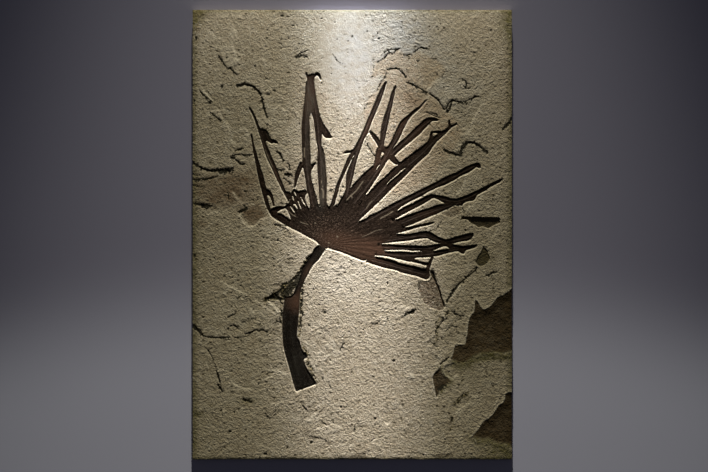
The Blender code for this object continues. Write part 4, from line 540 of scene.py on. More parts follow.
    (0.35, [243.4,452.6, 246,456, 247.4,457.6]),
    (0.2, [298,420, 294,428, 290,436, 287,444, 285,452]),
    (0.5, [306,436, 312,436.2, 317,437.4, 322,438.2, 325.6,440.2, 328,443, 330.6,447]),
    (0.4, [331.5,435.2, 334,432.6, 337,431.8, 341.6,430.8]),
    (0.45, [340.6,444, 343.2,441.6, 347,439.2]),
    (0.6, [338,266.3, 340.6,266.7, 343.2,266.5]),
    (0.55, [335.4,272.8, 337,274, 340,273.6, 343.8,274.6]),
    (0.45, [335.4,284.4, 338,286.2, 340.6,285.6]),
    (0.35, [318.9,261.4, 319.4,267.6]), (0.3, [316.8,274, 318.6,274]),
    (0.4, [320.5,287, 323,288, 325.6,290.2]),
    (0.3, [303.3,288.5, 306,294.5]), (0.3, [301,312, 302.5,315, 302.6,318.4]),
    (0.4, [340,310.3, 342,309, 344.8,308.2]),
    (0.35, [336.4,319.4, 338,321, 340.2,320.6]),
    (0.4, [318,326, 321,328, 325,329.5, 329,331.5, 332.4,333.8]),
    (0.35, [319.4,333.6, 321.8,333.8]), (0.35, [316.8,338.2, 320.2,337.4]),
    (0.55, [341.8,338.2, 343.6,336, 345.2,334.4]), (0.35, [341,342.4, 339.8,343.8]),
    (0.35, [348,337.5, 352.4,337.4]),
    (0.3, [353.8,329.6, 357,328.4]),
    (0.4, [370,323, 372.5,324.4, 375,324.8, 377.5,323.4, 379.6,321.2, 381.4,319.8]),
    (0.4, [394.4,319.9, 398.2,319.6]), (0.4, [399.8,317.4, 403.4,314.8]),
    (0.35, [390.4,328.4, 394.2,328.8]), (0.3, [379,329.6, 381.4,329.3]),
    (0.35, [395.6,333.4, 394.2,336.8]),
    (0.3, [384.8,370, 388,370.4]), (0.3, [366.6,347.4, 369,346]), (0.35, [364.8,381.6, 367.8,379.8]),
    (0.35, [418,326.6, 421.8,327.4]), (0.3, [413.6,332.6, 415.4,331.4]),
    (0.45, [409.4,376.8, 412,379, 415.6,381.8]),
    (0.45, [426,344, 427.8,342, 429.6,339.4]),
    (0.45, [328.5,383, 330.5,386.5, 332.2,389.6]),
    (0.3, [342,373, 344.2,372.8]), (0.35, [359.6,390.2, 361.8,392.2]),
    (0.35, [393.2,398.4, 395.4,398.8]), (0.35, [371,401.4, 374.2,400.8]),
    (0.35, [349.4,409.6, 352,409.2]), (0.5, [401,402.4, 402.6,405.8, 405,403.4]),
    (0.35, [411.6,410.6, 413,413.6]), (0.3, [395,409, 398.2,407.6]),
    (0.35, [390.8,423.2, 393.4,420.8]),
    (0.5, [353.4,424, 355,427.8, 353.2,431.8]),
    (0.35, [356,421.4, 358,423.6, 361,426.6, 364.4,428.6]),
    (0.3, [373.2,427.2, 374.8,428.2]),
    (0.45, [403,428.4, 405.5,430.6, 407.6,432.2]), (0.3, [409,429.4, 411,430.4]),
    (0.4, [418.8,428.4, 421,425.2, 423.4,424.4]),
    (0.4, [370,443, 371.5,440.6, 374,438, 375.2,434.8]),
    (0.35, [366.8,451.2, 371,451.4]), (0.4, [421,452.2, 422.6,454.6, 424.4,452.8]),
    (0.5, [308,361, 311,365, 313.5,370, 314.6,373.2]),
]
# Low risers that face the light: (height in mm, [u, v, ...])
LIGHT = [
    (0.35, [200,90.4, 205,92, 208.7,97, 213.6,102]), (0.4, [206.2,114.4, 212.4,110.7, 219.8,109.5, 221,117, 227.3,124.4, 232.3,134.3, 231,140.6, 237.3,144.3]),
    (0.35, [232.3,44, 234,50, 236,55, 239.7,64.7]), (0.3, [262,57, 265.6,62, 265,70]), (0.4, [219.9,279.8, 227,284.6, 234.8,288.5, 242,292.4, 249.8,297.2]),
    (0.35, [253,299, 259,303, 264.7,307, 271,311, 277,314.6]), (0.3, [208,30, 214,34, 216,41]), (0.3, [247,24, 251,30, 250,37]),
    (0.3, [282,107, 286,112, 287,120]), (0.3, [203,60, 209,64, 212,71]), (0.3, [242,126, 247,131, 249,138]),
    (0.35, [229,22, 233,27, 236,33, 237.6,39]),
    (0.3, [233,50, 238,53, 243,54.4, 246.4,56]),
    (0.3, [201.6,89.6, 206,93, 210,98, 213.4,102]),
    (0.25, [222,107, 226,110, 230.4,113.4]),
    (0.45, [439.6,77.6, 434,82, 430,86.4, 426,91.4]),
    (0.35, [430.6,94.6, 427,98, 424,101.6]),
    (0.4, [484.4,100.8, 480,107, 475,117, 469.3,127.9]),
    (0.35, [475,124.5, 472,128, 469,131, 466.5,133.5, 464.5,136]),
    (0.45, [466,173, 465,178, 464.5,182, 462.5,187, 461,190, 458.5,193, 456,194.8]),
    (0.4, [481.5,194, 480.5,198, 478,200, 475.5,203, 473,205, 470,206, 467.5,208, 466,211, 464.5,213]),
    (0.35, [500,226, 497,230, 495,234, 493.5,236.5, 490,236.5]),
    (0.4, [461,284, 457,288.5, 455.5,292, 452,297, 451,300]),
    (0.35, [230.5,161, 231.5,165, 233,168]),
    (0.35, [231,191.5, 234,193, 236,197, 239.5,200.5, 242,203, 245,206, 247,209]),
    (0.3, [244,202, 248.5,208.5]),
    (0.55, [237,213, 240,215.5, 241.5,219, 243,221.5, 245.5,223.5, 248,226, 251,227, 254,226.5, 257,224, 260,219.5, 264,218.5, 268,217.5, 271.5,216.6]),
    (0.3, [206,217, 208,214.5, 212,213, 216,212, 220,212.6]),
    (0.65, [266,300, 270,303, 274,306, 277,309, 280.4,313.4]),
    (0.35, [250.5,307, 255.4,314.4]),
    (0.3, [246,291, 250.4,294]),
    (0.4, [265,370, 272,370.4, 278,370.5, 283,372.5, 287.4,374.4]),
    (0.3, [260,380, 265,379, 270,377, 274.4,374.4]),
    (0.35, [231,379, 235,384, 240,387.5, 246,389, 253,390]),
    (0.3, [205,360, 209.2,369.4]),
    (0.3, [270,402, 274,404, 278.4,407.2]),
    (0.25, [265,395, 268,399]),
    (0.35, [306,421, 312,416.4, 318,411.8]),
    (0.45, [324,424.2, 328,426.4, 331,426.2]), (0.35, [329.6,423.4, 336,425.2, 343.4,427.8]),
    (0.35, [315,427.6, 320,428.2, 325.6,426.6]),
    (0.3, [226,331.6, 225.6,335, 227.2,338.4, 230.2,341]),
    (0.3, [362,237, 366,235.5]),
    (0.45, [454,414, 458,411.5, 461,408.5, 465,405.5, 469,404, 470,400]),
    (0.35, [471,396, 479,396.2]),
    (0.45, [456,362.5, 452,363.5, 448,365, 445,367, 443,370, 444,373, 447,376, 450,378.5, 452.5,379, 456,376, 459,375]),
    (0.4, [410,373.6, 412.6,376.2, 415,378.4]),
    (0.35, [396.6,306.4, 402,306, 408,307.6, 412,306.8]), (0.35, [411.6,309, 413.8,306.6]),
    (0.4, [383,424, 387,424.6, 391,422.4]),
    (0.35, [373.2,415.8, 377.4,415.6]),
    (0.35, [352,433.8, 355,433.4]),
    (0.35, [370.4,444, 374.4,438.6]),
    (0.3, [499,400, 494,404]),
]
# Small pits: (u, v, half width, half height, depth in mm)
PITS = [
    (281.9,15.7,2.2,1.1,0.9), (293,25.3,1.8,0.9,0.6), (288.4,38.3,0.8,0.8,0.5), (196.3,38,1.2,2.6,0.8), (226.5,57.5,1.3,0.8,0.6),
    (254.8,66,1.1,1.4,0.8), (222,86.4,1.6,1.8,0.8), (231,85.5,0.8,0.8,0.5), (268,94.2,2.4,0.9,0.8), (274,90.6,2.2,0.9,0.8),
    (194.4,100.6,1.4,1.4,0.9), (321.6,83,0.7,1.2,0.7), (321.5,18.5,1.6,1.0,0.3), (377.6,33.5,0.9,0.9,0.4), (378.8,38.4,1.5,1.1,0.7),
    (491.1,30.2,1.3,1.0,0.9), (418,60.6,2.6,0.6,0.4), (286,145.5,0.9,0.8,0.5), (246.8,184.3,1.0,0.8,0.6), (257.4,199.2,1.3,0.7,0.5),
    (263.5,237.7,0.9,0.8,0.6), (277.8,240.4,1.7,1.1,0.9), (271.5,241,0.8,0.6,0.5), (251,246.6,0.9,0.8,0.6), (284.6,212,1.2,0.9,0.5),
    (339.5,163,0.8,0.7,0.6), (337.3,170,0.8,0.7,0.6), (349.5,140,0.7,0.7,0.5), (343,187,1.1,1.1,0.9), (340.5,191,0.8,0.8,0.7),
    (365.3,142,0.9,0.8,0.6), (371.5,152,0.8,0.8,0.6), (355.5,173.5,0.8,0.8,0.6), (439.5,153.5,0.9,0.8,0.6), (465.5,230.5,0.9,0.8,0.6),
    (509,172,0.9,0.9,0.5), (387.7,283.7,0.9,0.7,0.5), (379,297.6,1.0,0.9,0.6), (405.7,297.5,0.8,0.7,0.5), (393.8,360.7,2.0,1.3,1.3),
    (324.8,312.5,2.0,1.0,1.1), (230,431.6,1.7,1.3,1.4), (265.2,454,2.4,1.1,0.9), (341,406.8,1.4,1.1,1.1), (375.2,418.4,1.6,1.3,1.0),
    (311.2,442.4,1.3,1.6,0.8), (330.2,360.1,1.1,0.9,0.8), (319.2,304.8,1.2,0.8,0.5), (309.2,325.5,1.5,0.9,0.7), (347.4,305.6,0.8,0.6,0.5),
    (343.4,348,0.9,0.8,0.5), (194.6,255.6,1.6,1.6,0.8), (240.6,285.6,1.0,0.8,0.5), (273.8,266,1.0,0.9,0.6), (258.6,384,1.2,1.0,0.8),
    (266.4,382,1.8,0.9,0.4), (221,410.6,1.4,1.0,0.6), (234.4,412,0.8,1.6,0.4), (287.6,447.6,0.8,0.8,0.6), (308,295.5,0.9,0.7,0.5),
    (302.5,299,0.8,0.8,0.5), (341.6,459,2.4,0.8,0.8), (447.4,111,1.8,1.3,1.2), (458,131,0.9,0.8,0.5), (427,104.5,0.9,0.8,0.5),
    (288.5,120,0.8,0.8,0.5), (299.2,123.4,0.7,1.4,0.5), (331,323.6,1.0,0.6,0.4), (496.4,440.4,0.9,0.8,0.5),
]
# Wide soft hollows: (u, v, half width, half height, depth in mm)
HOLLOWS = [
    (385.6,413.4,4.6,2.6,0.8), (214.6,440,3.0,2.0,0.5), (243.4,431.4,3.0,2.4,0.4), (247.6,400.6,5.6,2.4,0.6), (368,298,2.4,1.4,0.4),
    (197,414,5.0,2.6,0.5), (200,330,5.0,5.0,0.5), (232.6,331,5.4,4.0,0.5), (252.6,335,7.0,3.0,0.4), (205,206,6.0,3.4,0.5), (448,108,5.0,4.0,0.5),
]

# ---------------------------------------------------------------- broken and cut areas, in grid steps
BREAK1_SHARP = [
    (520.0, 283.0), (512.0, 288.0), (510.0, 290.0), (508.5, 291.5), (506.0, 293.0), (504.0, 294.5),
    (501.5, 295.8), (499.0, 296.5), (497.0, 298.0), (495.5, 300.0), (494.0, 302.0), (492.0, 304.5),
    (490.0, 306.5), (488.0, 308.0), (486.0, 309.3), (484.0, 309.3), (482.0, 308.3), (480.5, 306.5),
    (479.5, 304.5), (478.3, 302.5), (476.8, 300.8), (475.2, 299.5), (474.8, 302.0), (474.6, 306.0),
    (474.5, 310.0), (473.5, 313.0), (471.5, 315.0), (470.0, 317.0), (469.0, 320.0), (468.0, 325.0),
    (467.5, 330.0), (467.0, 335.0), (466.0, 340.0), (465.3, 344.5), (463.0, 345.0), (460.0, 344.8),
    (457.0, 345.2), (454.5, 346.0), (454.0, 350.0), (453.0, 354.0), (451.5, 357.0), (450.4, 359.0),
]
BREAK1_SOFT = [
    (455.0, 361.0), (456.0, 363.0), (459.0, 364.0), (464.0, 364.0), (468.0, 362.0), (471.0, 359.0),
    (474.0, 357.0), (478.0, 355.0), (483.0, 354.0), (490.0, 353.0), (498.0, 353.0), (505.0, 354.0),
    (512.0, 352.0), (520.0, 350.0),
]
BREAK2_SHARP = [
    (520.0, 388.0), (512.0, 391.5), (509.0, 392.5), (506.5, 393.5), (505.0, 394.5), (505.0, 397.0),
    (504.7, 400.0), (503.5, 402.5), (501.0, 404.0), (499.0, 405.0), (497.5, 407.5), (496.0, 410.0),
    (494.0, 413.0), (491.5, 416.0), (489.0, 418.5), (486.0, 420.0), (484.0, 421.0), (482.5, 423.0),
    (480.5, 426.0), (479.0, 428.5), (477.0, 431.0), (475.5, 433.0), (473.5, 435.0), (472.0, 437.0),
]
BREAK2_SOFT = [
    (475.0, 439.0), (478.0, 441.5), (484.0, 441.0), (490.0, 440.5), (494.0, 443.5), (498.0, 445.0),
    (503.0, 445.5), (508.0, 446.0), (512.0, 450.0), (520.0, 452.0),
]
DIAMOND_SHARP = [
    (440.0, 366.0), (439.5, 368.0), (438.0, 370.0), (435.5, 372.0), (433.5, 374.5), (432.2, 377.5),
    (433.0, 380.0), (433.0, 383.0), (434.0, 386.0), (434.8, 390.0), (435.5, 395.0), (436.0, 398.5),
]
DIAMOND_SOFT = [
    (439.0, 392.0), (441.5, 390.0), (443.0, 387.5), (446.0, 385.0), (449.0, 383.0), (451.0, 381.5),
    (450.5, 380.5), (448.0, 378.0), (445.0, 375.5), (443.0, 374.0), (442.0, 371.0), (441.0, 367.6),
]
VEINED = [
    (449.0, 208.5), (453.0, 206.0), (457.0, 205.8), (462.0, 206.5), (463.0, 210.0), (462.0, 213.0), (459.0, 214.5),
    (456.5, 216.5), (454.0, 217.5), (450.0, 217.0), (446.0, 215.5), (442.5, 214.5), (441.0, 213.0), (445.0, 211.0),
]
WEDGE = [(404.5, 314.0), (408.0, 312.0), (412.0, 311.0), (416.0, 310.0), (414.5, 313.5), (412.0, 314.5), (408.0, 313.5)]
FOOT_PATCH = [(350.0, 456.0), (356.0, 453.5), (361.0, 453.0), (365.0, 452.5), (366.5, 456.0), (367.0, 461.0), (349.0, 461.0)]
FOOT_CHIP = [(436.0, 457.0), (437.5, 454.6), (442.0, 453.6), (447.0, 453.8), (451.0, 452.6), (453.0, 454.6), (453.6, 457.4), (445.0, 457.8)]
OLIVE_CHIP = [
    (266.5, 299.0), (269.0, 297.5), (272.0, 296.0), (273.5, 294.0), (276.0, 294.0), (278.0, 295.0), (279.0, 298.0),
    (279.0, 300.0), (276.0, 300.4), (273.0, 300.2),
]

SCRAP_EDGE = [
    (429.4, 270.6), (431.5, 270.0), (433.6, 271.6), (434.8, 274.5), (435.4, 278.0), (437.0, 282.0), (438.7, 287.0),
    (440.5, 292.0), (442.1, 297.6), (443.7, 303.0), (444.9, 307.4), (443.6, 307.4), (442.2, 303.0), (440.4, 297.4),
    (438.8, 292.0), (437.0, 287.2), (435.2, 282.6), (433.2, 279.0), (431.2, 276.0), (430.0, 273.4),
]
# Crumbled stone along the stalk: (half width in steps, strength, [u, v, ...])
RUBBLE = [
    (3.6, 1.0, [266,299.5, 272,296.5, 279,292, 284,288, 289,283]),
    (4.2, 1.0, [283,297, 286,291, 291,286.5, 294.5,281]),
    (2.2, 0.9, [292.5,280, 297.4,274.5, 301.8,268.5, 305.6,262.5, 309.6,256.5]),
    (1.9, 0.8, [302.5,287, 301.6,294, 301.2,302, 300.8,312, 300,324, 299.2,336]),
    (1.8, 0.6, [281.8,300, 281,310, 280.4,320]),
    (2.0, 0.7, [302,345, 306,351, 308,357, 307,363, 311,370, 314,377, 317,383]),
    (1.6, 0.5, [296.5,395, 300,400, 302.5,404]),
    (2.2, 0.7, [437,322.5, 441,318, 446,314, 450,309]),
    (2.0, 0.7, [438,326, 436,332, 438,338, 434,344]),
    (2.6, 0.8, [455,404, 459,400, 463,396.5, 467,393]),
    (2.2, 0.7, [449,412, 452,418, 454,424, 450,430]),
    (1.8, 0.6, [461,372, 464,378, 462,384]),
]
# Rougher ground: (u, v, half width, half height, share)
ROUGH = [
    (452, 318, 13, 15, 0.45), (464, 400, 18, 14, 0.42), (484, 372, 26, 14, 0.34), (300, 182, 12, 10, 0.30), (262, 146, 10, 9, 0.30),
    (447, 88, 14, 12, 0.32), (394, 84, 22, 12, 0.28), (274, 410, 16, 12, 0.26), (214, 170, 24, 9, 0.34), (284, 288, 9, 9, 0.5),
    (446, 290, 14, 8, 0.30), (478, 150, 16, 10, 0.26), (246, 330, 20, 9, 0.24), (486, 120, 20, 18, 0.2), (318, 402, 14, 16, 0.22),
]

# Where three pieces of the frond meet: (u, v, radius)
KNOTS = [
    (390.3, 235.5, 1.7), (359.5, 203.9, 1.8), (378.4, 245.1, 1.8), (402.4, 226.8, 1.9), (346.3, 202.2, 2.0), (392.7, 219.8, 2.2),
    (375.4, 254.6, 1.5), (318.2, 206.2, 1.5), (328.2, 207.6, 1.5), (335.6, 206.2, 1.6), (310.2, 208.6, 1.3), (358.4, 221.9, 0.8),
    (361.7, 200.7, 1.0), (365.2, 195.8, 1.2),
]
# Dark crevice lines, partly real dark crevices and partly painted shadow below steps and walls: (half width, strength,
# [u, v, ...])
CREVICE_SHADE_LINES = [
    (3.4, 0.42, [436,377, 440,381, 446,382]), (1.7, 1.0, [438.4,389, 441,387.6, 443.8,385.6]), (1.0, 0.7, [436.6,392, 437,396]),
    (1.6, 1.0, [266.4,299.4, 269.6,297.6, 273,295.4, 276.6,293.4]), (2.0, 1.0, [272,297.8, 276,297, 279,298.6]),
    (1.5, 0.95, [277,293.6, 280,290.6, 283,288]), (1.5, 0.95, [283.4,292.4, 286,289.6, 289,287]), (1.3, 0.95, [280.6,286.6, 283.6,284.4, 287,283.4]),
    (1.4, 0.95, [289,283.4, 292,280, 295,277.4]), (1.3, 0.95, [284.4,297.4, 286.4,294.2]), (1.1, 0.9, [280,300.4, 282,303.4]),
    (1.4, 1.0, [295.2,279.4, 298.4,275.4, 301.4,271]), (1.4, 1.0, [302,269, 304.8,264.6, 308,260]), (1.2, 1.0, [308.4,259, 311,256, 314,252.6]), (3.4, 0.62, [287.5,296, 291.4,289.4, 295.2,282.6, 298.4,277]), (4.4, 0.42, [281.5,297.5, 286,291.5, 290.4,286.4]), (3.0, 0.33, [271,298, 278,294]),
    (1.0, 0.9, [290.6,290.4, 292.6,287.4]), (1.0, 0.9, [302,290, 302.6,294]), (1.0, 0.9, [301.6,300, 302,305]), (1.1, 0.95, [301.4,311.6, 303,315]),
    (1.0, 0.9, [300.6,322, 301.4,327]), (0.9, 0.85, [303.4,280, 304.4,284]), (1.0, 0.85, [281.6,311, 282,316]), (1.0, 0.85, [279.6,318, 281,323]),
    (1.1, 0.9, [276.6,321, 279.4,322]), (1.3, 0.8, [262,329, 266,331.6]), (1.2, 0.8, [192.6,326.6, 196,329.6]),
    (1.3, 1.0, [193.2,162.6, 195.5,164.5, 198.6,166.4, 201.4,168.2, 204.3,169.3, 208,170.2, 211.4,170.9]),
    (1.7, 1.0, [211,170.6, 215,170.4, 218.6,170.8, 222,169.8]),
    (2.6, 1.0, [219.5,170.8, 224.3,170.8, 228,170.4, 231.8,169.6]),
    (1.1, 0.9, [193.2,179.4, 198.6,179.4, 202,178.4, 205.7,178.6, 211.4,177.8, 216.6,176.6]),
    (1.0, 0.6, [193.4,185.2, 197,186.4, 202,186.2]), (1.0, 0.7, [193.2,174, 196,175.4, 199.6,174.8]),
    (1.7, 1.0, [197,203.8, 201.4,204.6, 205.7,205.6, 210.4,205.8]),
    (0.9, 0.9, [228.2,193.4, 228.6,196.4, 228.8,199.2]), (1.5, 0.95, [239.3,210.8, 243,210.2, 247,208.4]),
    (0.9, 0.7, [243,204.4, 244.6,206.4]), (0.9, 0.8, [244.3,191.4, 245.2,192]),
    (0.9, 0.95, [235.6,150.6, 239.3,149.3, 242.9,148.6]),
    (1.0, 0.95, [230.6,157.9, 234.3,158.4, 237,161, 240,163.6, 244.6,163.8]),
    (0.9, 0.9, [232.9,155.9, 236,154.6, 239.6,154.4]), (0.9, 0.8, [241.6,153.6, 245,155.2, 249.4,154.8, 251.6,154.6]),
    (1.2, 1.0, [277,151.6, 280,154.3, 281.6,157, 283.2,160.6]), (0.9, 0.95, [276.6,169, 279,170.2, 281.4,170.4, 284.3,169.3]),
    (1.4, 1.0, [284.6,174, 287,175.2, 290,175]), (0.9, 0.9, [283.6,178, 287,180.6, 291,184]), (0.9, 0.9, [288,163, 290,166, 289,169]),
    (0.8, 0.8, [274.3,225, 278,224.8, 281.4,225.2, 286,226.2]),
    (1.35, 1.0, [237.3,86.2, 241,84.2, 245,83.8, 248.6,84.4, 252.6,86, 256,88.8, 259,91.4, 261.2,95]),
    (1.0, 1.0, [261.8,97.6, 262.6,102, 263.6,107.2, 265,112, 267,117]),
    (0.8, 0.9, [218.8,56, 222,60.5, 226,66.4]), (0.8, 0.9, [230,68.4, 233,71, 237,74.6]),
    (1.1, 0.95, [296,57, 299.6,56.6, 302,55]), (0.9, 0.9, [299,53.8, 303,52, 306.4,50.8]),
    (1.5, 1.0, [261,129.8, 264,130.4, 267.2,132.4]), (1.5, 1.0, [267.4,133, 268.6,137, 270.4,140]), (1.2, 1.0, [270.4,139.4, 274,140.6, 277.4,142.2]),
    (0.7, 0.8, [200.4,91, 203,94, 205,96.4, 208.6,99, 212.4,102]), (0.7, 0.8, [210,112.2, 215,116, 221,121]),
    (0.8, 0.9, [384.3,52.6, 388,50.2, 391,49.4, 395.4,49.4, 400.4,48.8]), (0.7, 0.8, [403.4,54.8, 407.6,55, 411.7,54.8]),
    (0.7, 0.9, [414,52, 417.6,49, 420,47.8, 424,48.2, 427,49.2]), (0.7, 0.9, [386.8,69.3, 392,68.4, 398,68.6, 402,72.6, 405.4,77]),
    (0.9, 0.95, [406.7,82.3, 412,84.6, 418,87.3, 422,89.6, 426.6,92.3]), (0.8, 0.9, [430,94.2, 436.5,98.5, 441,104, 444.6,109.6]),
    (0.9, 1.0, [446.5,107.6, 448.6,103.4, 451.5,99.8, 456,101.4, 461.4,102.3]), (0.8, 0.9, [461.4,102.3, 465,101.4, 468.9,99.8, 474,97.4, 478.8,96]),
    (1.2, 0.9, [463,79.6, 465.4,80.8, 466.6,84]), (0.8, 0.8, [464,86.6, 467.6,88.6, 470.6,88.2]),
    (1.6, 1.0, [444,149.6, 448,151.8, 452,153]), (1.6, 1.0, [454,154.6, 460,155.2, 461,150.4, 462.2,146.4]),
    (1.5, 1.0, [462.2,146.2, 466,143, 470.6,142, 475,143.2]), (1.3, 1.0, [475,143.4, 480,146.4, 484,149, 488,152.2]),
    (1.7, 1.0, [503.2,129, 506,126.4, 509.6,121.4, 512,118]), (0.7, 0.8, [426.6,112.3, 432,114.8, 439,117.6]),
    (0.8, 0.9, [367,143.6, 369.6,148, 372,153, 375,156]),
    (0.9, 0.9, [193.6,325, 197,330, 202.4,336, 208,337, 214.9,337.6, 222,337.4, 229.8,337.4]),
    (0.7, 0.8, [207.4,349.8, 210.6,354.6, 213.6,360]), (0.8, 0.8, [216.4,371, 218,377, 219.9,382.6]), (1.0, 0.9, [217.6,384, 220,388, 222.4,391.6]),
    (0.9, 0.48, [226.6,329.2, 230,326, 233.6,324.8, 236.6,327, 239,330.2]), (1.1, 0.51, [234.6,337.6, 239,337, 244.8,337.4, 250,334]),
    (1.1, 0.51, [250,333.2, 254,330.6, 258,329.6, 262,330.2]), (0.9, 0.48, [241.6,320, 246,319.4, 251,317.6, 256,318.6]),
    (0.8, 0.48, [227,317.4, 231.6,315.6, 236.6,312]), (1.0, 0.48, [236.4,298.6, 240,296.6, 245,297.6, 249.8,295]),
    (1.0, 0.48, [265,337.6, 269,334, 272.6,330.6]), (0.9, 0.48, [262,347, 266,344, 270,341.6]), (0.8, 0.42, [262.6,372.4, 268,371, 275,373]),
    (1.4, 0.9, [243.4,399.4, 247,400.4, 251,401.6]), (0.8, 0.48, [264.6,408, 267.4,412.6, 271,415.4]), (0.8, 0.48, [272,414.6, 276,410.6, 279,406.6]),
    (1.2, 0.95, [404.3,316, 408,313.6, 412,311.4, 416,309.8]), (1.3, 1.0, [446.4,301.4, 449.6,297.4, 452.4,293, 455.4,288.6]),
    (1.2, 1.0, [455.4,288.6, 458,285, 461.4,281.6, 465.6,278.4]), (1.0, 0.9, [465.6,278.4, 470,275, 474,271.6, 477,268.4]),
    (1.5, 0.9, [486.5,275.2, 490,274.6, 493.6,272.4, 496.8,272]), (1.1, 0.9, [452.6,311.6, 456,313.6, 460,315.6, 463.4,316]),
    (0.9, 0.68, [435.4,331.6, 438,327, 440.6,323.6, 444,320]), (0.8, 0.6, [446,331, 450,327.4, 453,326, 457,327]), (0.8, 0.6, [455,322, 458,319.4, 461.4,319]),
    (1.0, 0.6, [430,340.6, 433,344, 437,347]), (0.8, 0.6, [441,338, 445,340.6, 448,344]), (0.7, 0.7, [371.6,322.6, 375,324, 379,321.4]),
    (1.0, 0.9, [386.4,319.4, 388,318.6]), (0.9, 0.9, [306.6,56.8, 304,57.4]), (0.8, 0.48, [341,412, 344.6,409, 348,404.6]),
    (0.8, 0.48, [302.4,405.6, 305.6,410, 309,412]), (0.8, 0.48, [303.6,437, 307,433.6, 311,432]), (0.9, 0.48, [322,418, 327,416.4, 331,419.6, 334,423.6]),
    (0.7, 0.42, [327,382.6, 330,386, 332.6,389.6]), (0.9, 0.9, [340,350, 341.6,346.6, 344,343]), (0.9, 0.9, [448.6,357.6, 446,359.8, 443,361.4, 440.8,364]),
]

# The upper bedding layer round the right-hand leaflets, warmer than the stone beyond it
LAYER_EDGE = [
    (374.8, 62.1), (379.0, 60.6), (382.1, 59.0), (385.2, 55.9), (388.3, 52.2), (393.5, 52.8), (395.1, 49.7), (399.8, 48.1),
    (404.0, 54.0), (413.0, 54.0), (417.0, 50.0), (425.0, 54.0), (431.0, 58.3), (439.5, 61.0), (446.0, 69.0), (443.0, 76.0),
    (434.0, 83.0), (428.0, 92.0), (434.0, 97.0), (440.8, 104.0), (445.2, 110.6), (458.0, 122.0), (462.0, 136.0), (452.0, 152.0),
    (436.0, 172.0), (420.0, 186.0), (400.0, 196.0), (384.0, 190.0), (376.0, 160.0), (366.0, 130.0), (364.0, 109.0), (367.0, 103.5),
    (371.4, 95.4), (377.4, 90.0), (381.0, 81.0), (385.4, 75.4), (378.0, 74.0), (372.0, 78.0), (373.6, 68.0),
]

# Soft patches of colour in the stone; those at the slab's corners, and the olive ones along its left margin, are
# painted shade: (u, v, half width, half height, share, tilt)
BROWN = [
    (196, 11, 11, 9, 0.95, 0.0), (195, 24, 6, 14, 0.6, 0.0), (509, 14, 8, 9, 0.7, 0.0),
    (286, 291, 9, 8, 0.75, -0.6), (414, 100, 12, 9, 0.85, 0.0), (405, 91, 8, 7, 0.4, 0.0), (424, 112, 16, 12, 0.3, 0.0), (292, 172, 10, 14, 0.4, 0.0), (508, 84, 7, 44, 0.35, 0.0), (482, 40, 30, 20, 0.14, 0.0), (252, 214, 12, 9, 0.5, 0.0),
    (214, 190, 30, 17, 0.85, 0.0), (243, 184, 20, 18, 0.8, 0.2), (254, 214, 13, 11, 0.95, 0.0), (201, 224, 6, 4, 0.8, 0.0), (222, 203, 18, 6, 0.5, 0.0),
    (286, 186, 6, 6, 0.5, 0.0), (500, 300, 16, 12, 0.2, 0.0), (452, 212, 12, 8, 0.35, 0.0), (300, 178, 6, 12, 0.25, 0.0),
]
TAN = [(306, 92, 16, 26, 0.45, 0.0), (322, 104, 8, 20, 0.3, 0.0), (330, 176, 14, 16, 0.3, 0.0), (438, 128, 24, 16, 0.3, 0.3), (322, 30, 18, 26, 0.25, 0.0)]
COOL = [(414, 50, 34, 50, 0.75, 0.25), (456, 84, 30, 34, 0.22, 0.3), (354, 62, 26, 52, 0.65, 0.0)]
OLIVE = [
    (226, 118, 46, 54, 0.13, 0.0),
    (196, 440, 26, 46, 0.22, 0.0), (504, 454, 26, 8, 0.8, 0.0), (196, 260, 10, 60, 0.25, 0.0), (508, 22, 10, 18, 0.85, 0.0), (197, 13, 10, 12, 0.95, 0.0), (488, 356, 26, 5, 0.85, 0.06),
    (247, 401, 8, 3.4, 0.7, 0.0), (198, 414, 6, 3, 0.7, 0.0), (485, 256, 9, 12, 0.45, 0.0), (470, 372, 30, 12, 0.25, 0.0),
]

# Pale lines and specks of stone that show through the film: (width in steps, [u, v, ...])
PALE = [
    (0.9, [363,181.5, 361,184, 359,187, 357,190, 354,193, 351,195.5, 349,197.5, 347,200, 346,202]),
    (1.1, [350.6,195.6, 352.2,197.6]),
    (0.7, [372,201, 369.5,203.5, 366.5,208]),
    (0.45, [362,237, 366,235.5, 370,233.5, 374,231.5, 378,230, 382,229.5]),
    (1.2, [337,236.3, 337.6,236.8]), (1.1, [328.4,242.9, 329,243.2]), (1.0, [315,223, 315.6,223.2]),
    (0.9, [288,210.5, 290,213, 292.5,215, 295.5,216.5]),
    (0.8, [375,268.6, 380,269.6, 385,271.3]),
    (1.3, [321.6,189, 323,190.4, 323.3,193, 323.2,197.6]), (0.9, [321.5,181, 321.5,183]), (0.8, [322.5,186, 322.6,187]),
    (1.0, [304.3,148, 304.4,152, 304.3,157]),
    (0.9, [393,211.5, 388,214.6, 384,216.6, 380.5,218.5]),
    (0.7, [265.2,150, 268.6,158.4, 272.6,167]),
    (0.6, [300,222, 308,224.6]),
]
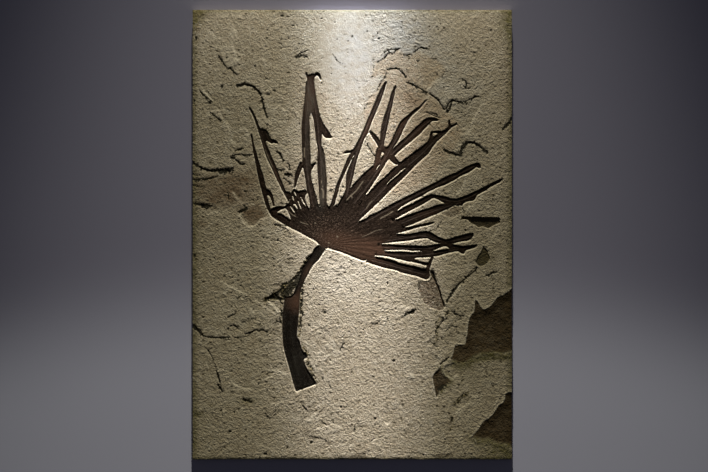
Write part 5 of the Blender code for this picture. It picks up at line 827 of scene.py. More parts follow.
# Creases and darker stretches of the film; the two lines down the stalk's upper left side are painted shadow below the
# bed's wall: (width in steps, strength, [u, v, ...])
DARK_FILM = [
    (15.0, 0.50, [298,217, 310,213, 326,209, 346,202]), (8.0, 0.55, [294.5,348, 298,364, 303,380]), (4.8, 1.0, [304.4,267.6, 307.6,262.6, 311.4,257.6, 316.4,251.2]),
    (3.4, 0.95, [318.5,249.5, 312,256.5, 306.4,264.6, 302.2,272, 299.2,280, 296.8,287.4, 294.8,293.6]),
    (5.0, 0.7, [288.4,312, 287.2,326, 287.6,340, 289.6,354, 293,368, 297.6,382]), (5.0, 0.7, [295.6,318, 294.2,330, 295.2,342, 299,358, 303.6,372, 307.6,382]),
    (3.6, 0.9, [416,270.8, 420,271.6, 427,272.6]),
    (2.6, 0.8, [271.6,209.6, 276,209.6]),
    (1.4, 0.7, [303.6,352.6, 305.6,355, 304.6,358]),
    (1.6, 0.5, [386,184, 378,190, 370,198, 362,208]),
    (1.4, 0.5, [330,205, 336,188, 343,170]),
    (1.4, 0.5, [352,202, 366,186, 380,166]),
]

# ---------------------------------------------------------------- helpers
def xy(line):
    """Grid steps to metres: a list of pairs, or a flat list u, v, u, v."""
    a = np.asarray(line, float).reshape(-1, 2)
    return np.column_stack(((a[:, 0] - MID_U) * UNIT, (MID_V - a[:, 1]) * UNIT))


def smooth(t):
    t = np.clip(t, 0.0, 1.0)
    return t * t * (3.0 - 2.0 * t)


def scramble(ix, iy, seed):
    h = (ix * 374761393 + iy * 668265263 + seed * 1442695041) & 0xFFFFFFFF
    h = ((h ^ (h >> 13)) * 1274126177) & 0xFFFFFFFF
    return (h ^ (h >> 16)) & 0xFFFFFFFF


def noise(x, y, seed):
    """Gradient noise, about -1 to 1, one cell per unit."""
    xi, yi = np.floor(x).astype(np.int64), np.floor(y).astype(np.int64)
    fx, fy = x - xi, y - yi
    ux, uy = fx**3 * (fx * (fx * 6 - 15) + 10), fy**3 * (fy * (fy * 6 - 15) + 10)

    def corner(dx, dy):
        a = scramble(xi + dx, yi + dy, seed) * (2.0 * math.pi / 2**32)
        return np.cos(a) * (fx - dx) + np.sin(a) * (fy - dy)

    low = corner(0, 0) * (1 - ux) + corner(1, 0) * ux
    high = corner(0, 1) * (1 - ux) + corner(1, 1) * ux
    return 1.5 * (low * (1 - uy) + high * uy)


def fbm(x, y, seed, octaves=3, gain=0.5):
    total, size, norm = 0.0, 1.0, 0.0
    for i in range(octaves):
        total = total + size * noise(x * 2.03**i + 17.3 * i, y * 2.03**i - 9.1 * i, seed + i)
        norm += size
        size *= gain
    return total / norm


def foot(px, py, a, b):
    """For points against segments a-b: distance, index of the nearest segment, the place on it, its nearest point."""
    d = b - a
    ll = np.maximum((d * d).sum(1), 1e-18)
    t = ((px[:, None] - a[:, 0]) * d[:, 0] + (py[:, None] - a[:, 1]) * d[:, 1]) / ll
    t = np.clip(t, 0.0, 1.0)
    cx, cy = a[:, 0] + t * d[:, 0], a[:, 1] + t * d[:, 1]
    dd = (px[:, None] - cx) ** 2 + (py[:, None] - cy) ** 2
    k = dd.argmin(1)
    r = np.arange(len(px))
    return np.sqrt(dd[r, k]), k, t[r, k], cx[r, k], cy[r, k]


def inside(px, py, loop):
    """Even-odd test against a closed loop."""
    a, b = loop, np.roll(loop, -1, axis=0)
    odd = np.zeros(len(px), bool)
    for (x0, y0), (x1, y1) in zip(a, b):
        if y0 == y1:
            continue
        hit = (py < max(y0, y1)) & (py >= min(y0, y1))
        odd ^= hit & (px < x0 + (py - y0) * (x1 - x0) / (y1 - y0))
    return odd


def near_box(px, py, pts, margin):
    return np.flatnonzero((px > pts[:, 0].min() - margin) & (px < pts[:, 0].max() + margin)
                          & (py > pts[:, 1].min() - margin) & (py < pts[:, 1].max() + margin))


def signed(px, py, loops, reach):
    """Signed distance to a region (outer loop, then islands), negative inside, with its outward normal; FAR past reach."""
    n = len(px)
    dist, nx, ny = np.full(n, FAR), np.zeros(n), np.ones(n)
    at = near_box(px, py, loops[0], reach)
    if not len(at):
        return dist, nx, ny
    qx, qy = px[at], py[at]
    within = inside(qx, qy, loops[0])
    for island in loops[1:]:
        within &= ~inside(qx, qy, island)
    best = np.full(len(at), FAR)
    bx, by = np.zeros(len(at)), np.ones(len(at))
    for i, loop in enumerate(loops):
        a, b = loop, np.roll(loop, -1, axis=0)
        turn = (a[:, 0] * b[:, 1] - b[:, 0] * a[:, 1]).sum()
        out = 1.0 if (turn > 0) == (i == 0) else -1.0
        for start in range(0, len(at), 20000):
            s = slice(start, start + 20000)
            d, k, _, cx, cy = foot(qx[s], qy[s], a, b)
            e = b[k] - a[k]
            ln = np.maximum(np.hypot(e[:, 0], e[:, 1]), 1e-12)
            ex, ey = out * e[:, 1] / ln, -out * e[:, 0] / ln
            far = (d > 2e-4) & ~within[s]
            ex = np.where(far, (qx[s] - cx) / np.maximum(d, 1e-9), ex)
            ey = np.where(far, (qy[s] - cy) / np.maximum(d, 1e-9), ey)
            less = d < best[s]
            best[s] = np.where(less, d, best[s])
            bx[s] = np.where(less, ex, bx[s])
            by[s] = np.where(less, ey, by[s])
    dist[at] = np.where(within, -best, best)
    nx[at], ny[at] = bx, by
    return dist, nx, ny


def resample(line, step, closed=False):
    """Points about step apart along a line, its own corners kept."""
    pts = np.asarray(line, float)
    ends = np.roll(pts, -1, axis=0) if closed else pts[1:]
    out = []
    for a, b in zip(pts, ends):
        n = max(1, int(round(math.hypot(*(b - a)) / step)))
        for i in range(n):
            out.append(a + (b - a) * i / n)
    if not closed:
        out.append(pts[-1])
    return np.array(out)


def rounded(line, closed=False, times=2):
    """Corner cutting that turns a drawn outline into a natural curve."""
    p = np.asarray(line, float)
    for _ in range(times):
        q = np.roll(p, -1, axis=0) if closed else p[1:]
        p0 = p if closed else p[:-1]
        cut = np.stack((p0 * 0.78 + q * 0.22, p0 * 0.22 + q * 0.78), axis=1).reshape(-1, 2)
        p = cut if closed else np.vstack((p[:1], cut, p[-1:]))
    return p


def tangents(pts, closed=False):
    if closed:
        t = np.roll(pts, -1, axis=0) - np.roll(pts, 1, axis=0)
    else:
        t = np.gradient(pts, axis=0)
    return t / np.maximum(np.hypot(t[:, 0], t[:, 1]), 1e-12)[:, None]


# ---------------------------------------------------------------- the frond's pieces, in metres
def ragged(loop, seed, much=0.00022):
    """An outline with the small irregularities of a prepared edge."""
    p = resample(rounded(xy(loop), closed=True, times=1), 0.0011, closed=True)
    t = tangents(p, closed=True)
    push = much * noise(p[:, 0] / 0.004, p[:, 1] / 0.004, seed)
    return np.column_stack((p[:, 0] + t[:, 1] * push, p[:, 1] - t[:, 0] * push))


PIECES = {
    "petiole": [PETIOLE],
    "fan_blade": [FAN] + FAN_ISLANDS,
    "leaflet_far_left": [FAR_LEFT],
    "leaflet_left": [LEFT],
    "leaflet_upright_left": [UPRIGHT_LEFT],
    "leaflet_upright_right": [UPRIGHT_RIGHT],
    "leaflet_steep": [STEEP],
    "leaflet_upper_pair": [UPPER_PAIR] + UPPER_PAIR_ISLANDS,
    "leaflet_inner_right": [INNER_RIGHT],
    "leaflet_outer_right": [OUTER_RIGHT] + OUTER_RIGHT_ISLANDS,
    "leaflet_right_upper": [RIGHT_UPPER],
    "leaflet_right_middle": [RIGHT_MIDDLE] + RIGHT_MIDDLE_ISLANDS,
    "leaflet_right_thin": [RIGHT_THIN],
    "leaflet_lower_upper": [LOWER_UPPER],
    "leaflet_lower_middle": [LOWER_MIDDLE] + LOWER_MIDDLE_ISLANDS,
    "leaflet_lowest": [LOWEST],
}
SHAPES = {name: [ragged(loop, 40 + i) for i, loop in enumerate(loops)] for name, loops in PIECES.items()}


def close_seams():
    """Where two pieces lie side by side, both edges move to the middle of the gap, so the frond reads as one plant."""
    old = {name: [loop.copy() for loop in loops] for name, loops in SHAPES.items()}
    for name, loops in SHAPES.items():
        for i, loop in enumerate(loops):
            best = np.full(len(loop), FAR)
            tx, ty = loop[:, 0].copy(), loop[:, 1].copy()
            for other, theirs in old.items():
                if other == name:
                    continue
                for q in theirs:
                    at = near_box(loop[:, 0], loop[:, 1], q, SEAM)
                    if not len(at):
                        continue
                    d, _, _, cx, cy = foot(loop[at, 0], loop[at, 1], q, np.roll(q, -1, axis=0))
                    less = d < best[at]
                    best[at] = np.where(less, d, best[at])
                    tx[at], ty[at] = np.where(less, cx, tx[at]), np.where(less, cy, ty[at])
            pull = best < SEAM
            loop[pull, 0] = (old[name][i][pull, 0] + tx[pull]) / 2
            loop[pull, 1] = (old[name][i][pull, 1] + ty[pull]) / 2
            keep = np.hypot(*(loop - np.roll(loop, 1, axis=0)).T) > 0.00025
            loops[i] = loop[keep]
    return old


RAW = close_seams()


def free_edges():
    """The stretches of the pieces' outlines that don't meet another piece."""
    starts, ends = [], []
    for name, loops in RAW.items():
        for loop in loops:
            best = np.full(len(loop), FAR)
            for other, theirs in RAW.items():
                if other != name:
                    for q in theirs:
                        at = near_box(loop[:, 0], loop[:, 1], q, 0.004)
                        if len(at):
                            best[at] = np.minimum(best[at], foot(loop[at, 0], loop[at, 1], q, np.roll(q, -1, axis=0))[0])
            free = best > SEAM * 1.25
            both = free & np.roll(free, -1)
            starts.append(loop[both])
            ends.append(np.roll(loop, -1, axis=0)[both])
    return np.vstack(starts), np.vstack(ends)


FREE = free_edges()


def bed(px, py, reach=0.006):
    """Signed distance to the whole frond, seams between its pieces closed, and the outward normal."""
    n = len(px)
    first, second, third = np.full(n, FAR), np.full(n, FAR), np.full(n, FAR)
    nx, ny = np.zeros(n), np.ones(n)
    for loops in RAW.values():
        d, ax, ay = signed(px, py, loops, reach)
        less = d < first
        third = np.where(less, second, np.where(d < second, second, np.minimum(third, d)))
        second = np.where(less, first, np.minimum(second, d))
        nx, ny = np.where(less, ax, nx), np.where(less, ay, ny)
        first = np.where(less, d, first)
    seam = (first > -0.0004) & ((first + second < SEAM * 1.05) | (first + second + third < SEAM * 2.6))
    for u, v, r in KNOTS:
        cx, cy = (u - MID_U) * UNIT, (MID_V - v) * UNIT
        seam |= (first > -0.0004) & (first < 0.004) & (np.hypot(px - cx, py - cy) < r * UNIT)
    return np.where(seam, -0.0006, first), nx, ny


def free_depth(px, py, loops):
    """How far inside the frond's free edge each point of a piece is; edges where two pieces join don't count."""
    box = np.vstack(loops)
    lo, hi = box.min(0) - 0.006, box.max(0) + 0.006
    a, b = FREE
    ok = ((a > lo) & (a < hi)).all(1)
    out = np.full(len(px), 0.006)
    if ok.any():
        for start in range(0, len(px), 4000):
            s = slice(start, start + 4000)
            out[s] = np.minimum(out[s], foot(px[s], py[s], a[ok], b[ok])[0])
    return out


# ---------------------------------------------------------------- the face of the stone
def lay_of_stone(px, py):
    """The broad lay of the split face, shared by the stone and the plant film on it."""
    z = FACE + 0.00034 * fbm(px / 0.13 + 3.1, py / 0.17, 5, 2) + 0.00016 * fbm(px / 0.045, py / 0.034 + 7.7, 8, 2)
    return z


def leathery(px, py):
    """Fine crumpled relief of the split bedding plane, its crests running across the slab."""
    warp = 0.0024 * noise(px / 0.015, py / 0.015, 21)
    a = fbm((px + warp) / 0.0098, (py + warp) / 0.0088, 23, 2, 0.55)
    b = np.abs(noise((px - warp) / 0.0145, (py + 2 * warp) / 0.0112, 29))
    patch = 0.65 + 0.5 * smooth(0.5 + 0.9 * noise(px / 0.06, py / 0.05, 31))
    return patch * (0.00036 * a + 0.00026 * (0.35 - b))


def line_set(rows, seed):
    """Drawn edges as smooth lines in metres, with the side that is up the slab marked."""
    out = []
    for i, (h, flat) in enumerate(rows):
        h *= 1.35
        p = xy(flat)
        if len(p) > 2:
            p = rounded(p, times=1)
        p = resample(p, 0.0013)
        t = tangents(p)
        wob = 0.00062 * noise(p[:, 0] / 0.0044 + i, p[:, 1] / 0.0044, seed) + 0.00030 * noise(p[:, 0] / 0.0019, p[:, 1] / 0.0019 + i, seed + 1)
        wob[0] = wob[-1] = 0.0
        p = np.column_stack((p[:, 0] - t[:, 1] * wob, p[:, 1] + t[:, 0] * wob))
        run = p[-1] - p[0]
        if run[0] < 0 or (abs(run[0]) < 1e-5 and run[1] > 0):
            p = p[::-1].copy()
        out.append((h * 0.001, p))
    return out


def small_edges(count, seed):
    """Short random flake edges between the drawn ones."""
    rng = np.random.default_rng(seed)
    out = []
    for _ in range(count):
        u, v = rng.uniform(196, 509), rng.uniform(14, 456)
        ang, length = rng.normal(0.0, 0.75), rng.uniform(1.6, 5.0)
        bend = rng.normal(0.0, 0.35)
        pts, a = [], ang
        for k in range(5):
            pts += [u, v]
            u, v = u + math.cos(a) * length / 4, v + math.sin(a) * length / 4
            a += bend + rng.normal(0.0, 0.35)
        out.append((rng.uniform(0.12, 0.30), pts))
    return out


def small_pits(count, seed):
    rng = np.random.default_rng(seed)
    return [(rng.uniform(195, 510), rng.uniform(12, 457), rng.uniform(0.35, 0.95), rng.uniform(0.3, 0.75),
             rng.uniform(0.25, 0.6)) for _ in range(count)]


def clear_of_frond(items, place):
    """Only the items that don't touch the frond or the broken corner."""
    p = xy([place(it) for it in items])
    d, _, _ = bed(p[:, 0], p[:, 1], 0.012)
    ok = d > 0.004
    for loops in (BREAK1, BREAK2, POCKET_M):
        ok &= ~inside(p[:, 0], p[:, 1], loops[0])
    return [it for it, k in zip(items, ok) if k]


def crisp_and_soft(crisp, soft):
    """A broken-out area: its sharp upper outline, and the lower edge where it runs out."""
    sharp = resample(rounded(xy(crisp), times=1), 0.0016)
    t = tangents(sharp)
    wob = 0.0005 * noise(sharp[:, 0] / 0.0035, sharp[:, 1] / 0.0035, 77)
    sharp = np.column_stack((sharp[:, 0] - t[:, 1] * wob, sharp[:, 1] + t[:, 0] * wob))
    fade = resample(rounded(xy(soft), times=1), 0.003)
    return [np.vstack((sharp, fade))], sharp, fade


BREAK1, SHARP1, FADE1 = crisp_and_soft(BREAK1_SHARP, BREAK1_SOFT)
BREAK2, SHARP2, FADE2 = crisp_and_soft(BREAK2_SHARP, BREAK2_SOFT)
DIAMOND, SHARP3, FADE3 = crisp_and_soft(DIAMOND_SHARP, DIAMOND_SOFT)
POCKET_M = [resample(rounded(xy(POCKET), True, 1), 0.0016, True)]
CUTS = [  # outline, depth, lower slope width, upper slope width
    (POCKET_M, 0.0030, 0.0030, 0.0006),
    ([resample(rounded(xy(DARK_PATCH), True, 1), 0.0016, True)], 0.0014, 0.0024, 0.0008),
    ([resample(rounded(xy(SCRAP), True, 1), 0.0016, True)], 0.0005, 0.0016, 0.0006),
    ([resample(rounded(xy(VEINED), True, 1), 0.0016, True)], 0.0006, 0.0018, 0.0010),
    ([resample(rounded(xy(WEDGE), True, 1), 0.0014, True)], 0.0012, 0.0014, 0.0005),
    ([resample(rounded(xy(FOOT_PATCH), True, 1), 0.0014, True)], 0.00012, 0.0020, 0.0006),
    ([resample(rounded(xy(OLIVE_CHIP), True, 1), 0.0014, True)], 0.0013, 0.0016, 0.0005),
    ([resample(rounded(xy(SCRAP_EDGE), True, 1), 0.0012, True)], 0.0020, 0.0008, 0.0005),
    ([resample(rounded(xy(FOOT_CHIP), True, 1), 0.0014, True)], 0.00012, 0.0020, 0.0006),
]
LAYER = resample(rounded(xy(LAYER_EDGE), True, 1), 0.004, True)
DARK_LINES = line_set(DARK, 61)
LIGHT_LINES = line_set(LIGHT, 63)
RANDOM_LINES = line_set(clear_of_frond(small_edges(46, 5), lambda it: (it[1][0], it[1][1])), 65)
ALL_PITS = PITS + clear_of_frond(small_pits(520, 9), lambda it: (it[0], it[1]))


def at_line(px, py, line, reach):
    """Points near a line: their index, distance signed + on the up side, and share of the full height left at the ends."""
    at = near_box(px, py, line, reach)
    if not len(at):
        return at, None, None
    a, b = line[:-1], line[1:]
    d, k, t, cx, cy = foot(px[at], py[at], a, b)
    keep = d < reach
    at, d, k, t, cx, cy = at[keep], d[keep], k[keep], t[keep], cx[keep], cy[keep]
    e = b[k] - a[k]
    side = e[:, 0] * (py[at] - cy) - e[:, 1] * (px[at] - cx)
    seg = np.hypot(*(b - a).T)
    start = np.concatenate(([0.0], np.cumsum(seg)))[:-1]
    s = start[k] + t * seg[k]
    whole = seg.sum()
    taper = smooth(np.minimum(s, whole - s) / min(0.006, whole * 0.33) + 0.12)
    past = ((t <= 0) & (k == 0)) | ((t >= 1) & (k == len(a) - 1))
    taper = np.where(past, taper * np.exp(-d / 0.0008), taper)
    return at, np.where(side >= 0, d, -d), taper


def flake_relief(px, py):
    """Steps and crevices of the flaked face, in metres; the dark share of each point, a crevice or the painted shadow
    below a step; and the painted highlight along risers that face the light.
    """
    z, crack_and_shade, pale = np.zeros(len(px)), np.zeros(len(px)), np.zeros(len(px))
    for group, kind in ((DARK_LINES, 1), (RANDOM_LINES, 1), (LIGHT_LINES, -1)):
        for h, line in group:
            reach = min(0.022, 0.006 + 18.0 * h)
            at, t, taper = at_line(px, py, line, reach * 2.2)
            if not len(at):
                continue
            if kind > 0:
                vary = 0.72 + 0.5 * noise(px[at] / 0.0034, py[at] / 0.0034, 67)
                up = 0.45 * h * vary * np.exp(-np.maximum(t, 0.0) / reach)
                low = -0.50 * h * vary * np.exp(np.minimum(t, 0.0) / reach)
                gully = -0.85 * h * vary * np.exp(-(np.maximum(-t - 0.00035, 0.0) / (0.0009 + 1.1 * h)) ** 2)
                edge = smooth((t + 0.0003) / 0.0006)
                z[at] += taper * (edge * up + (1 - edge) * (low + gully))
                # The crevice's dark mark spreads onto the lower side, below the step: partly a real dark crevice,
                # partly painted shadow of the step.
                bold = 0.0005 + 1.1 * h * vary
                inner = np.where(t < 0.0002, np.exp(-(np.abs(t + 0.45 * bold) / bold) ** 2), np.exp(-((t - 0.0002) / 0.0004) ** 2) * 0.5)
                crack_and_shade[at] = np.maximum(crack_and_shade[at], taper * inner * min(1.0, h / 0.0005))
            else:
                high = 0.75 * h * np.exp(np.minimum(t, 0.0) / reach)
                low = -0.75 * h * np.exp(-np.maximum(t, 0.0) / reach)
                edge = smooth((t + 0.0008) / 0.0016)
                z[at] += taper * (edge * low + (1 - edge) * high)
                # Painted highlight along a riser that faces the light.
                pale[at] = np.maximum(pale[at], taper * np.exp(-((t / 0.0009) ** 2)))
    return z, crack_and_shade, pale


def pit_relief(px, py):
    z, crack_and_shade = np.zeros(len(px)), np.zeros(len(px))
    rows = [(u, v, a, b, h, 1) for u, v, a, b, h in ALL_PITS] + [(u, v, a, b, h, 0) for u, v, a, b, h in HOLLOWS]
    for u, v, a, b, h, sharp in rows:
        cx, cy = (u - MID_U) * UNIT, (MID_V - v) * UNIT
        ra, rb = a * UNIT, b * UNIT
        at = np.flatnonzero((np.abs(px - cx) < ra * 2.2 + 0.002) & (np.abs(py - cy) < rb * 2.2 + 0.002))
        if not len(at):
            continue
        r = np.hypot((px[at] - cx) / ra, (py[at] - cy) / rb)
        if sharp:
            z[at] -= 0.001 * h * (1 - smooth((r - 0.55) / 0.65))
            # The pit is painted dark: painted shade in the recess.
            crack_and_shade[at] = np.maximum(crack_and_shade[at], (1 - smooth((r - 0.5) / 0.7)) * min(1.0, h / 0.55))
        else:
            z[at] -= 0.001 * h * np.exp(-(r**2) * 1.2)
            # The hollow is painted a little darker: painted shade.
            crack_and_shade[at] = np.maximum(crack_and_shade[at], 0.35 * np.exp(-(r**2) * 1.5))
    return z, crack_and_shade


def wall_width(ny, lower, upper):
    """A cut's slope is wide where it faces up the slab, and steep where it faces down."""
    return upper + (lower - upper) * smooth((-ny + 0.30) / 0.95)


def stone(px, py):
    """Height and markings of the stone face at points, in metres and shares."""
    z = lay_of_stone(px, py)
    fine = leathery(px, py) * (1 - 0.62 * blot(px, py, 346, 52, 38, 62, 1.5))
    edges, crack_and_shade, riser_highlight = flake_relief(px, py)
    holes, dark = pit_relief(px, py)
    crack_and_shade = np.maximum(crack_and_shade, dark)
    d, _, ny = bed(px, py, 0.007)
    width = wall_width(ny, RIM_LOW, RIM_UP)
    wall = 1 - smooth(d / width)
    wall = np.where(d < 0, 1.0, wall)
    drop = BED * wall + np.where(d < 0, 0.0009 * smooth(-d / 0.0008), 0.0)
    quiet = np.where(d < width + 0.0005, 0.25, 1.0)
    # Painted highlight on the bed's lower walls, which face the light; partly paler fresh-cut stone.
    lit_wall_highlight = np.where((d > -0.0002) & (d < width), smooth((-ny + 0.1) / 0.6) * np.clip(wall, 0, 1), 0.0)
    # Painted shade on the steep upper walls of the bed, which face away from the light.
    under = np.where((d >= 0) & (d < 0.0009), smooth((ny + 0.1) / 0.5), 0.0)
    crack_and_shade = np.where(d < 0.0012, np.maximum(0.0, crack_and_shade * 0.3), crack_and_shade)
    crack_and_shade = np.maximum(crack_and_shade, 0.75 * under)

    lamina, olive, scrap = (np.zeros(len(px)) for _ in range(3))
    pocket = smooth((0.0002 - d) / 0.0004)
    for loops, sharp, fade, deep, reach, slope, soft in ((BREAK1, SHARP1, FADE1, 0.0027, 0.050, 0.0160, 0.0050),
                                                         (BREAK2, SHARP2, FADE2, 0.0027, 0.045, 0.0150, 0.0090),
                                                         (DIAMOND, SHARP3, FADE3, 0.0011, 0.008, 0.0040, 0.0012)):
        at = near_box(px, py, loops[0], 0.014)
        if not len(at):
            continue
        qx, qy = px[at], py[at]
        within = inside(qx, qy, loops[0])
        ds = foot(qx, qy, sharp[:-1], sharp[1:])[0]
        df = foot(qx, qy, fade[:-1], fade[1:])[0]
        ramp = np.clip(df / reach, 0.0, 1.0) ** 0.75
        down = np.where(within, deep * (0.12 * smooth(ds / 0.0008) + 0.88 * smooth(ds / slope)) * ramp, 0.0)
        lip = np.where(~within, 0.00072 * np.exp(-ds / 0.0022), 0.0)
        drop[at] += down - lip
        wide = min(1.0, slope / 0.008)
        frayed = 0.006 * (1.0 if wide > 0.9 else 0.3) * fbm(qx / 0.012, qy / 0.007, 91, 3)
        drop[at] -= 0.00045 * wide * np.exp(-(((df + 0.4 * frayed) / 0.0055) ** 2)) * smooth(ds / 0.006)
        lamina[at] = np.maximum(lamina[at], np.where(within, smooth((df + 0.4 * frayed) / soft) * smooth((ds + 0.0006) / 0.0016), 0.0))
        green = np.where(within, 1 - smooth((df + 0.4 * frayed - 0.001) / (2.0 * soft)), np.exp(-(((df + frayed) / (0.012 * wide)) ** 2)))
        olive[at] = np.maximum(olive[at], 0.95 * green * smooth(ds / 0.004))
        # Painted shadow just inside a break's sharp edge.
        crack_and_shade[at] = np.maximum(crack_and_shade[at], np.where(within, np.exp(-((ds / 0.0014) ** 2)) * 0.2, 0.0))
        # Painted highlight on the lip above a break's sharp edge; partly paler fresh broken stone.
        lit_wall_highlight[at] = np.maximum(lit_wall_highlight[at], np.where(~within, 1.0 * np.exp(-((ds / 0.0015) ** 2)), 0.0))
    for i, (loops, deep, low, up) in enumerate(CUTS):
        dc, _, nyc = signed(px, py, loops, 0.006)
        w = wall_width(nyc, low, up)
        share = np.where(dc < 0, smooth((-dc + 0.25 * w) / (0.75 * w + 1e-9) + 0.35), 0.35 * (1 - smooth(dc / (0.35 * w))))
        share = np.where(dc > 0.004, 0.0, share)
        drop += deep * share * np.where(d < 0, 0.0, 1.0)
        soft_in = np.where(dc < 0.0, smooth((-dc + 0.0004) / 0.0012), 0.0)
        if i == 0:
            pocket = np.maximum(pocket, soft_in)
        elif i in (1, 6):
            olive = np.maximum(olive, 0.9 * soft_in)
            pocket = np.maximum(pocket, 0.80 * soft_in)
        elif i == 2:
            scrap = np.maximum(scrap, soft_in)
        elif i == 3:
            scrap = np.maximum(scrap, 0.55 * soft_in)
        elif i in (4, 7):
            pocket = np.maximum(pocket, soft_in)
        else:
            pocket = np.maximum(pocket, 0.52 * soft_in)
        # Painted shade along the inside of each cut's upper edge, where its wall faces away from the light; none for
        # the two foot patches.
        crack_and_shade = np.maximum(crack_and_shade, np.where((dc < 0) & (nyc > 0), np.exp(-((dc / 0.0012) ** 2)) * (0.0 if i in (5, 8) else 0.7), 0.0))

    much, lumps = crumbs(px, py)
    much = much * np.where(d < 0.0004, 0.0, 1.0)
    # Painted shade in the low spots between the crumbs.
    crack_and_shade = np.maximum(crack_and_shade, smooth((much - 0.25) / 0.5) * smooth((0.12 - lumps) / 0.55))
    z = z + much * (0.00075 * lumps - 0.0002)
    # Dark crevice lines, partly painted shadow below the steps.
    filled = crevice_shade(px, py) * np.where(d < 0.0004, 0.0, 1.0) * (1 - 0.25 * lamina)
    crack_and_shade = np.maximum(crack_and_shade, filled)
    z = z - 0.00095 * filled
    rough = fine * quiet * (1 - 0.35 * lamina) + 0.00022 * lamina * fbm(px / 0.006, py / 0.006, 45, 2)
    z = z + rough + edges * quiet * (1 - lamina) + holes * np.where(d < 0.001, 0.0, 1.0) - drop
    lit_wall_highlight = np.maximum(lit_wall_highlight, 0.8 * riser_highlight * np.where(d < 0.001, 0.0, 1.0))
    # The share read from the fine relief's height: painted shade in its low spots and a painted highlight on its
    # crests.
    return z, dict(crumb=smooth((much - 0.3) / 0.4), crack_and_shade=crack_and_shade, rim=lit_wall_highlight, lamina=lamina, olive=olive, pocket=pocket, scrap=scrap,
                   hollow_shade_crest_light=np.clip(0.5 + (rough + edges * 0.4) / 0.0008, 0, 1))


def crumbs(px, py):
    """Broken, crumbly stone: how much of it there is at each point, and its relief in metres."""
    amount = np.zeros(len(px))
    for width, strength, flat in RUBBLE:
        line = rounded(xy(flat), times=1)
        at = near_box(px, py, line, width * UNIT * 2)
        if len(at):
            d = foot(px[at], py[at], line[:-1], line[1:])[0]
            amount[at] = np.maximum(amount[at], strength * (1 - smooth((d / (width * UNIT) - 0.45) / 0.75)))
    for u, v, a, b, h in ROUGH:
        amount = np.maximum(amount, h * blot(px, py, u, v, a, b, 1.5))
    amount = amount * (0.75 + 0.5 * noise(px / 0.009, py / 0.006, 121))
    lumps = 1.9 * fbm(px / 0.0046, py / 0.0040, 123, 2, 0.55) + 0.5 * (np.abs(noise(px / 0.0085, py / 0.0070, 125)) - 0.35)
    return np.clip(amount, 0, 1), np.clip(lumps, -1.0, 1.0)


def crevice_shade(px, py):
    """Dark crevice lines, partly real crevices and partly painted shadow below steps and walls: their share at each
    point.
    """
    out = np.zeros(len(px))
    for width, strength, flat in CREVICE_SHADE_LINES:
        line = rounded(xy(flat), times=1)
        at = near_box(px, py, line, width * UNIT * 2.5)
        if len(at):
            d = foot(px[at], py[at], line[:-1], line[1:])[0]
            d = d + 0.75 * width * UNIT * noise(px[at] / 0.0042, py[at] / 0.0034, 131)
            out[at] = np.maximum(out[at], strength * (1 - smooth((d / (width * UNIT) - 0.45) / 0.75)))
    return out


def blot(px, py, u, v, a, b, power=1.0, tilt=0.0):
    """A soft oval patch, 1 in its middle."""
    cx, cy = (u - MID_U) * UNIT, (MID_V - v) * UNIT
    c, s = math.cos(tilt), math.sin(tilt)
    dx, dy = px - cx, py - cy
    r = ((dx * c + dy * s) / (a * UNIT)) ** 2 + ((-dx * s + dy * c) / (b * UNIT)) ** 2
    return np.exp(-(r**power))


def tints(px, py, marks):
    """Shares of the stone's colours: brown stains, olive weathering with painted shade along the slab's margins, warm
    tan and cool grey.
    """
    veins = fbm(px / 0.020, py / 0.010, 51, 3)
    brown = sum(blot(px, py, u, v, a, b, 1.3, t) * s for u, v, a, b, s, t in BROWN)
    brown = np.clip(brown * (0.85 + 0.6 * veins), 0, 1)
    layer, _, _ = signed(px, py, [LAYER], 0.02)
    veil = smooth((0.004 - layer + 0.003 * veins) / 0.008)
    tan = np.clip(0.85 * veil + sum(blot(px, py, u, v, a, b, 1.2, t) * s for u, v, a, b, s, t in TAN) * (0.9 + 0.5 * veins), 0, 1)
    cool = (1 - 0.9 * veil) * np.clip(sum(blot(px, py, u, v, a, b, 1.4, t) * s for u, v, a, b, s, t in COOL) * (0.95 + 0.3 * veins), 0, 1)
    ex = SLAB_W / 2 - np.abs(px)
    ey = SLAB_L / 2 - np.abs(py)
    # Painted shade: olive, darker towards the slab's edges.
    rim = 1 - smooth(np.minimum(ex, ey * 1.6 + 0.001) / 0.015 + 0.25 * veins)
    olive = np.clip(marks["olive"] + 0.75 * rim + sum(blot(px, py, u, v, a, b, 1.2, t) * s for u, v, a, b, s, t in OLIVE) * (0.9 + 0.6 * veins), 0, 1)
    return brown, olive, tan, cool

# ---------------------------------------------------------------- meshes
def grid_points(x0, x1, y0, y1, step, seed, jitter):
    """A six-sided grid, each point nudged a little."""
    dy = step * math.sqrt(3) / 2
    ny, nx = int((y1 - y0) / dy) + 1, int((x1 - x0) / step) + 1
    jj, ii = np.mgrid[0:ny, 0:nx]
    x = x0 + (ii + 0.5 * (jj % 2)) * step
    y = y0 + jj * dy
    x, y = x.ravel(), y.ravel()
    rng = np.random.default_rng(seed)
    x = x + rng.uniform(-jitter, jitter, len(x)) * step
    y = y + rng.uniform(-jitter, jitter, len(y)) * step
    return x, y


def thin_out(points, least):
    """Drops points closer than least to one already kept, in order."""
    cell = least
    seen, keep = {}, np.zeros(len(points), bool)
    for i, (x, y) in enumerate(points.tolist()):
        cx, cy = math.floor(x / cell), math.floor(y / cell)
        close = False
        for gx in (cx - 1, cx, cx + 1):
            for gy in (cy - 1, cy, cy + 1):
                q = seen.get((gx, gy))
                if q is not None:
                    for a, b in q:
                        if (a - x) ** 2 + (b - y) ** 2 < least * least:
                            close = True
                            break
                if close:
                    break
            if close:
                break
        if not close:
            seen.setdefault((cx, cy), []).append((x, y))
            keep[i] = True
    return points[keep]


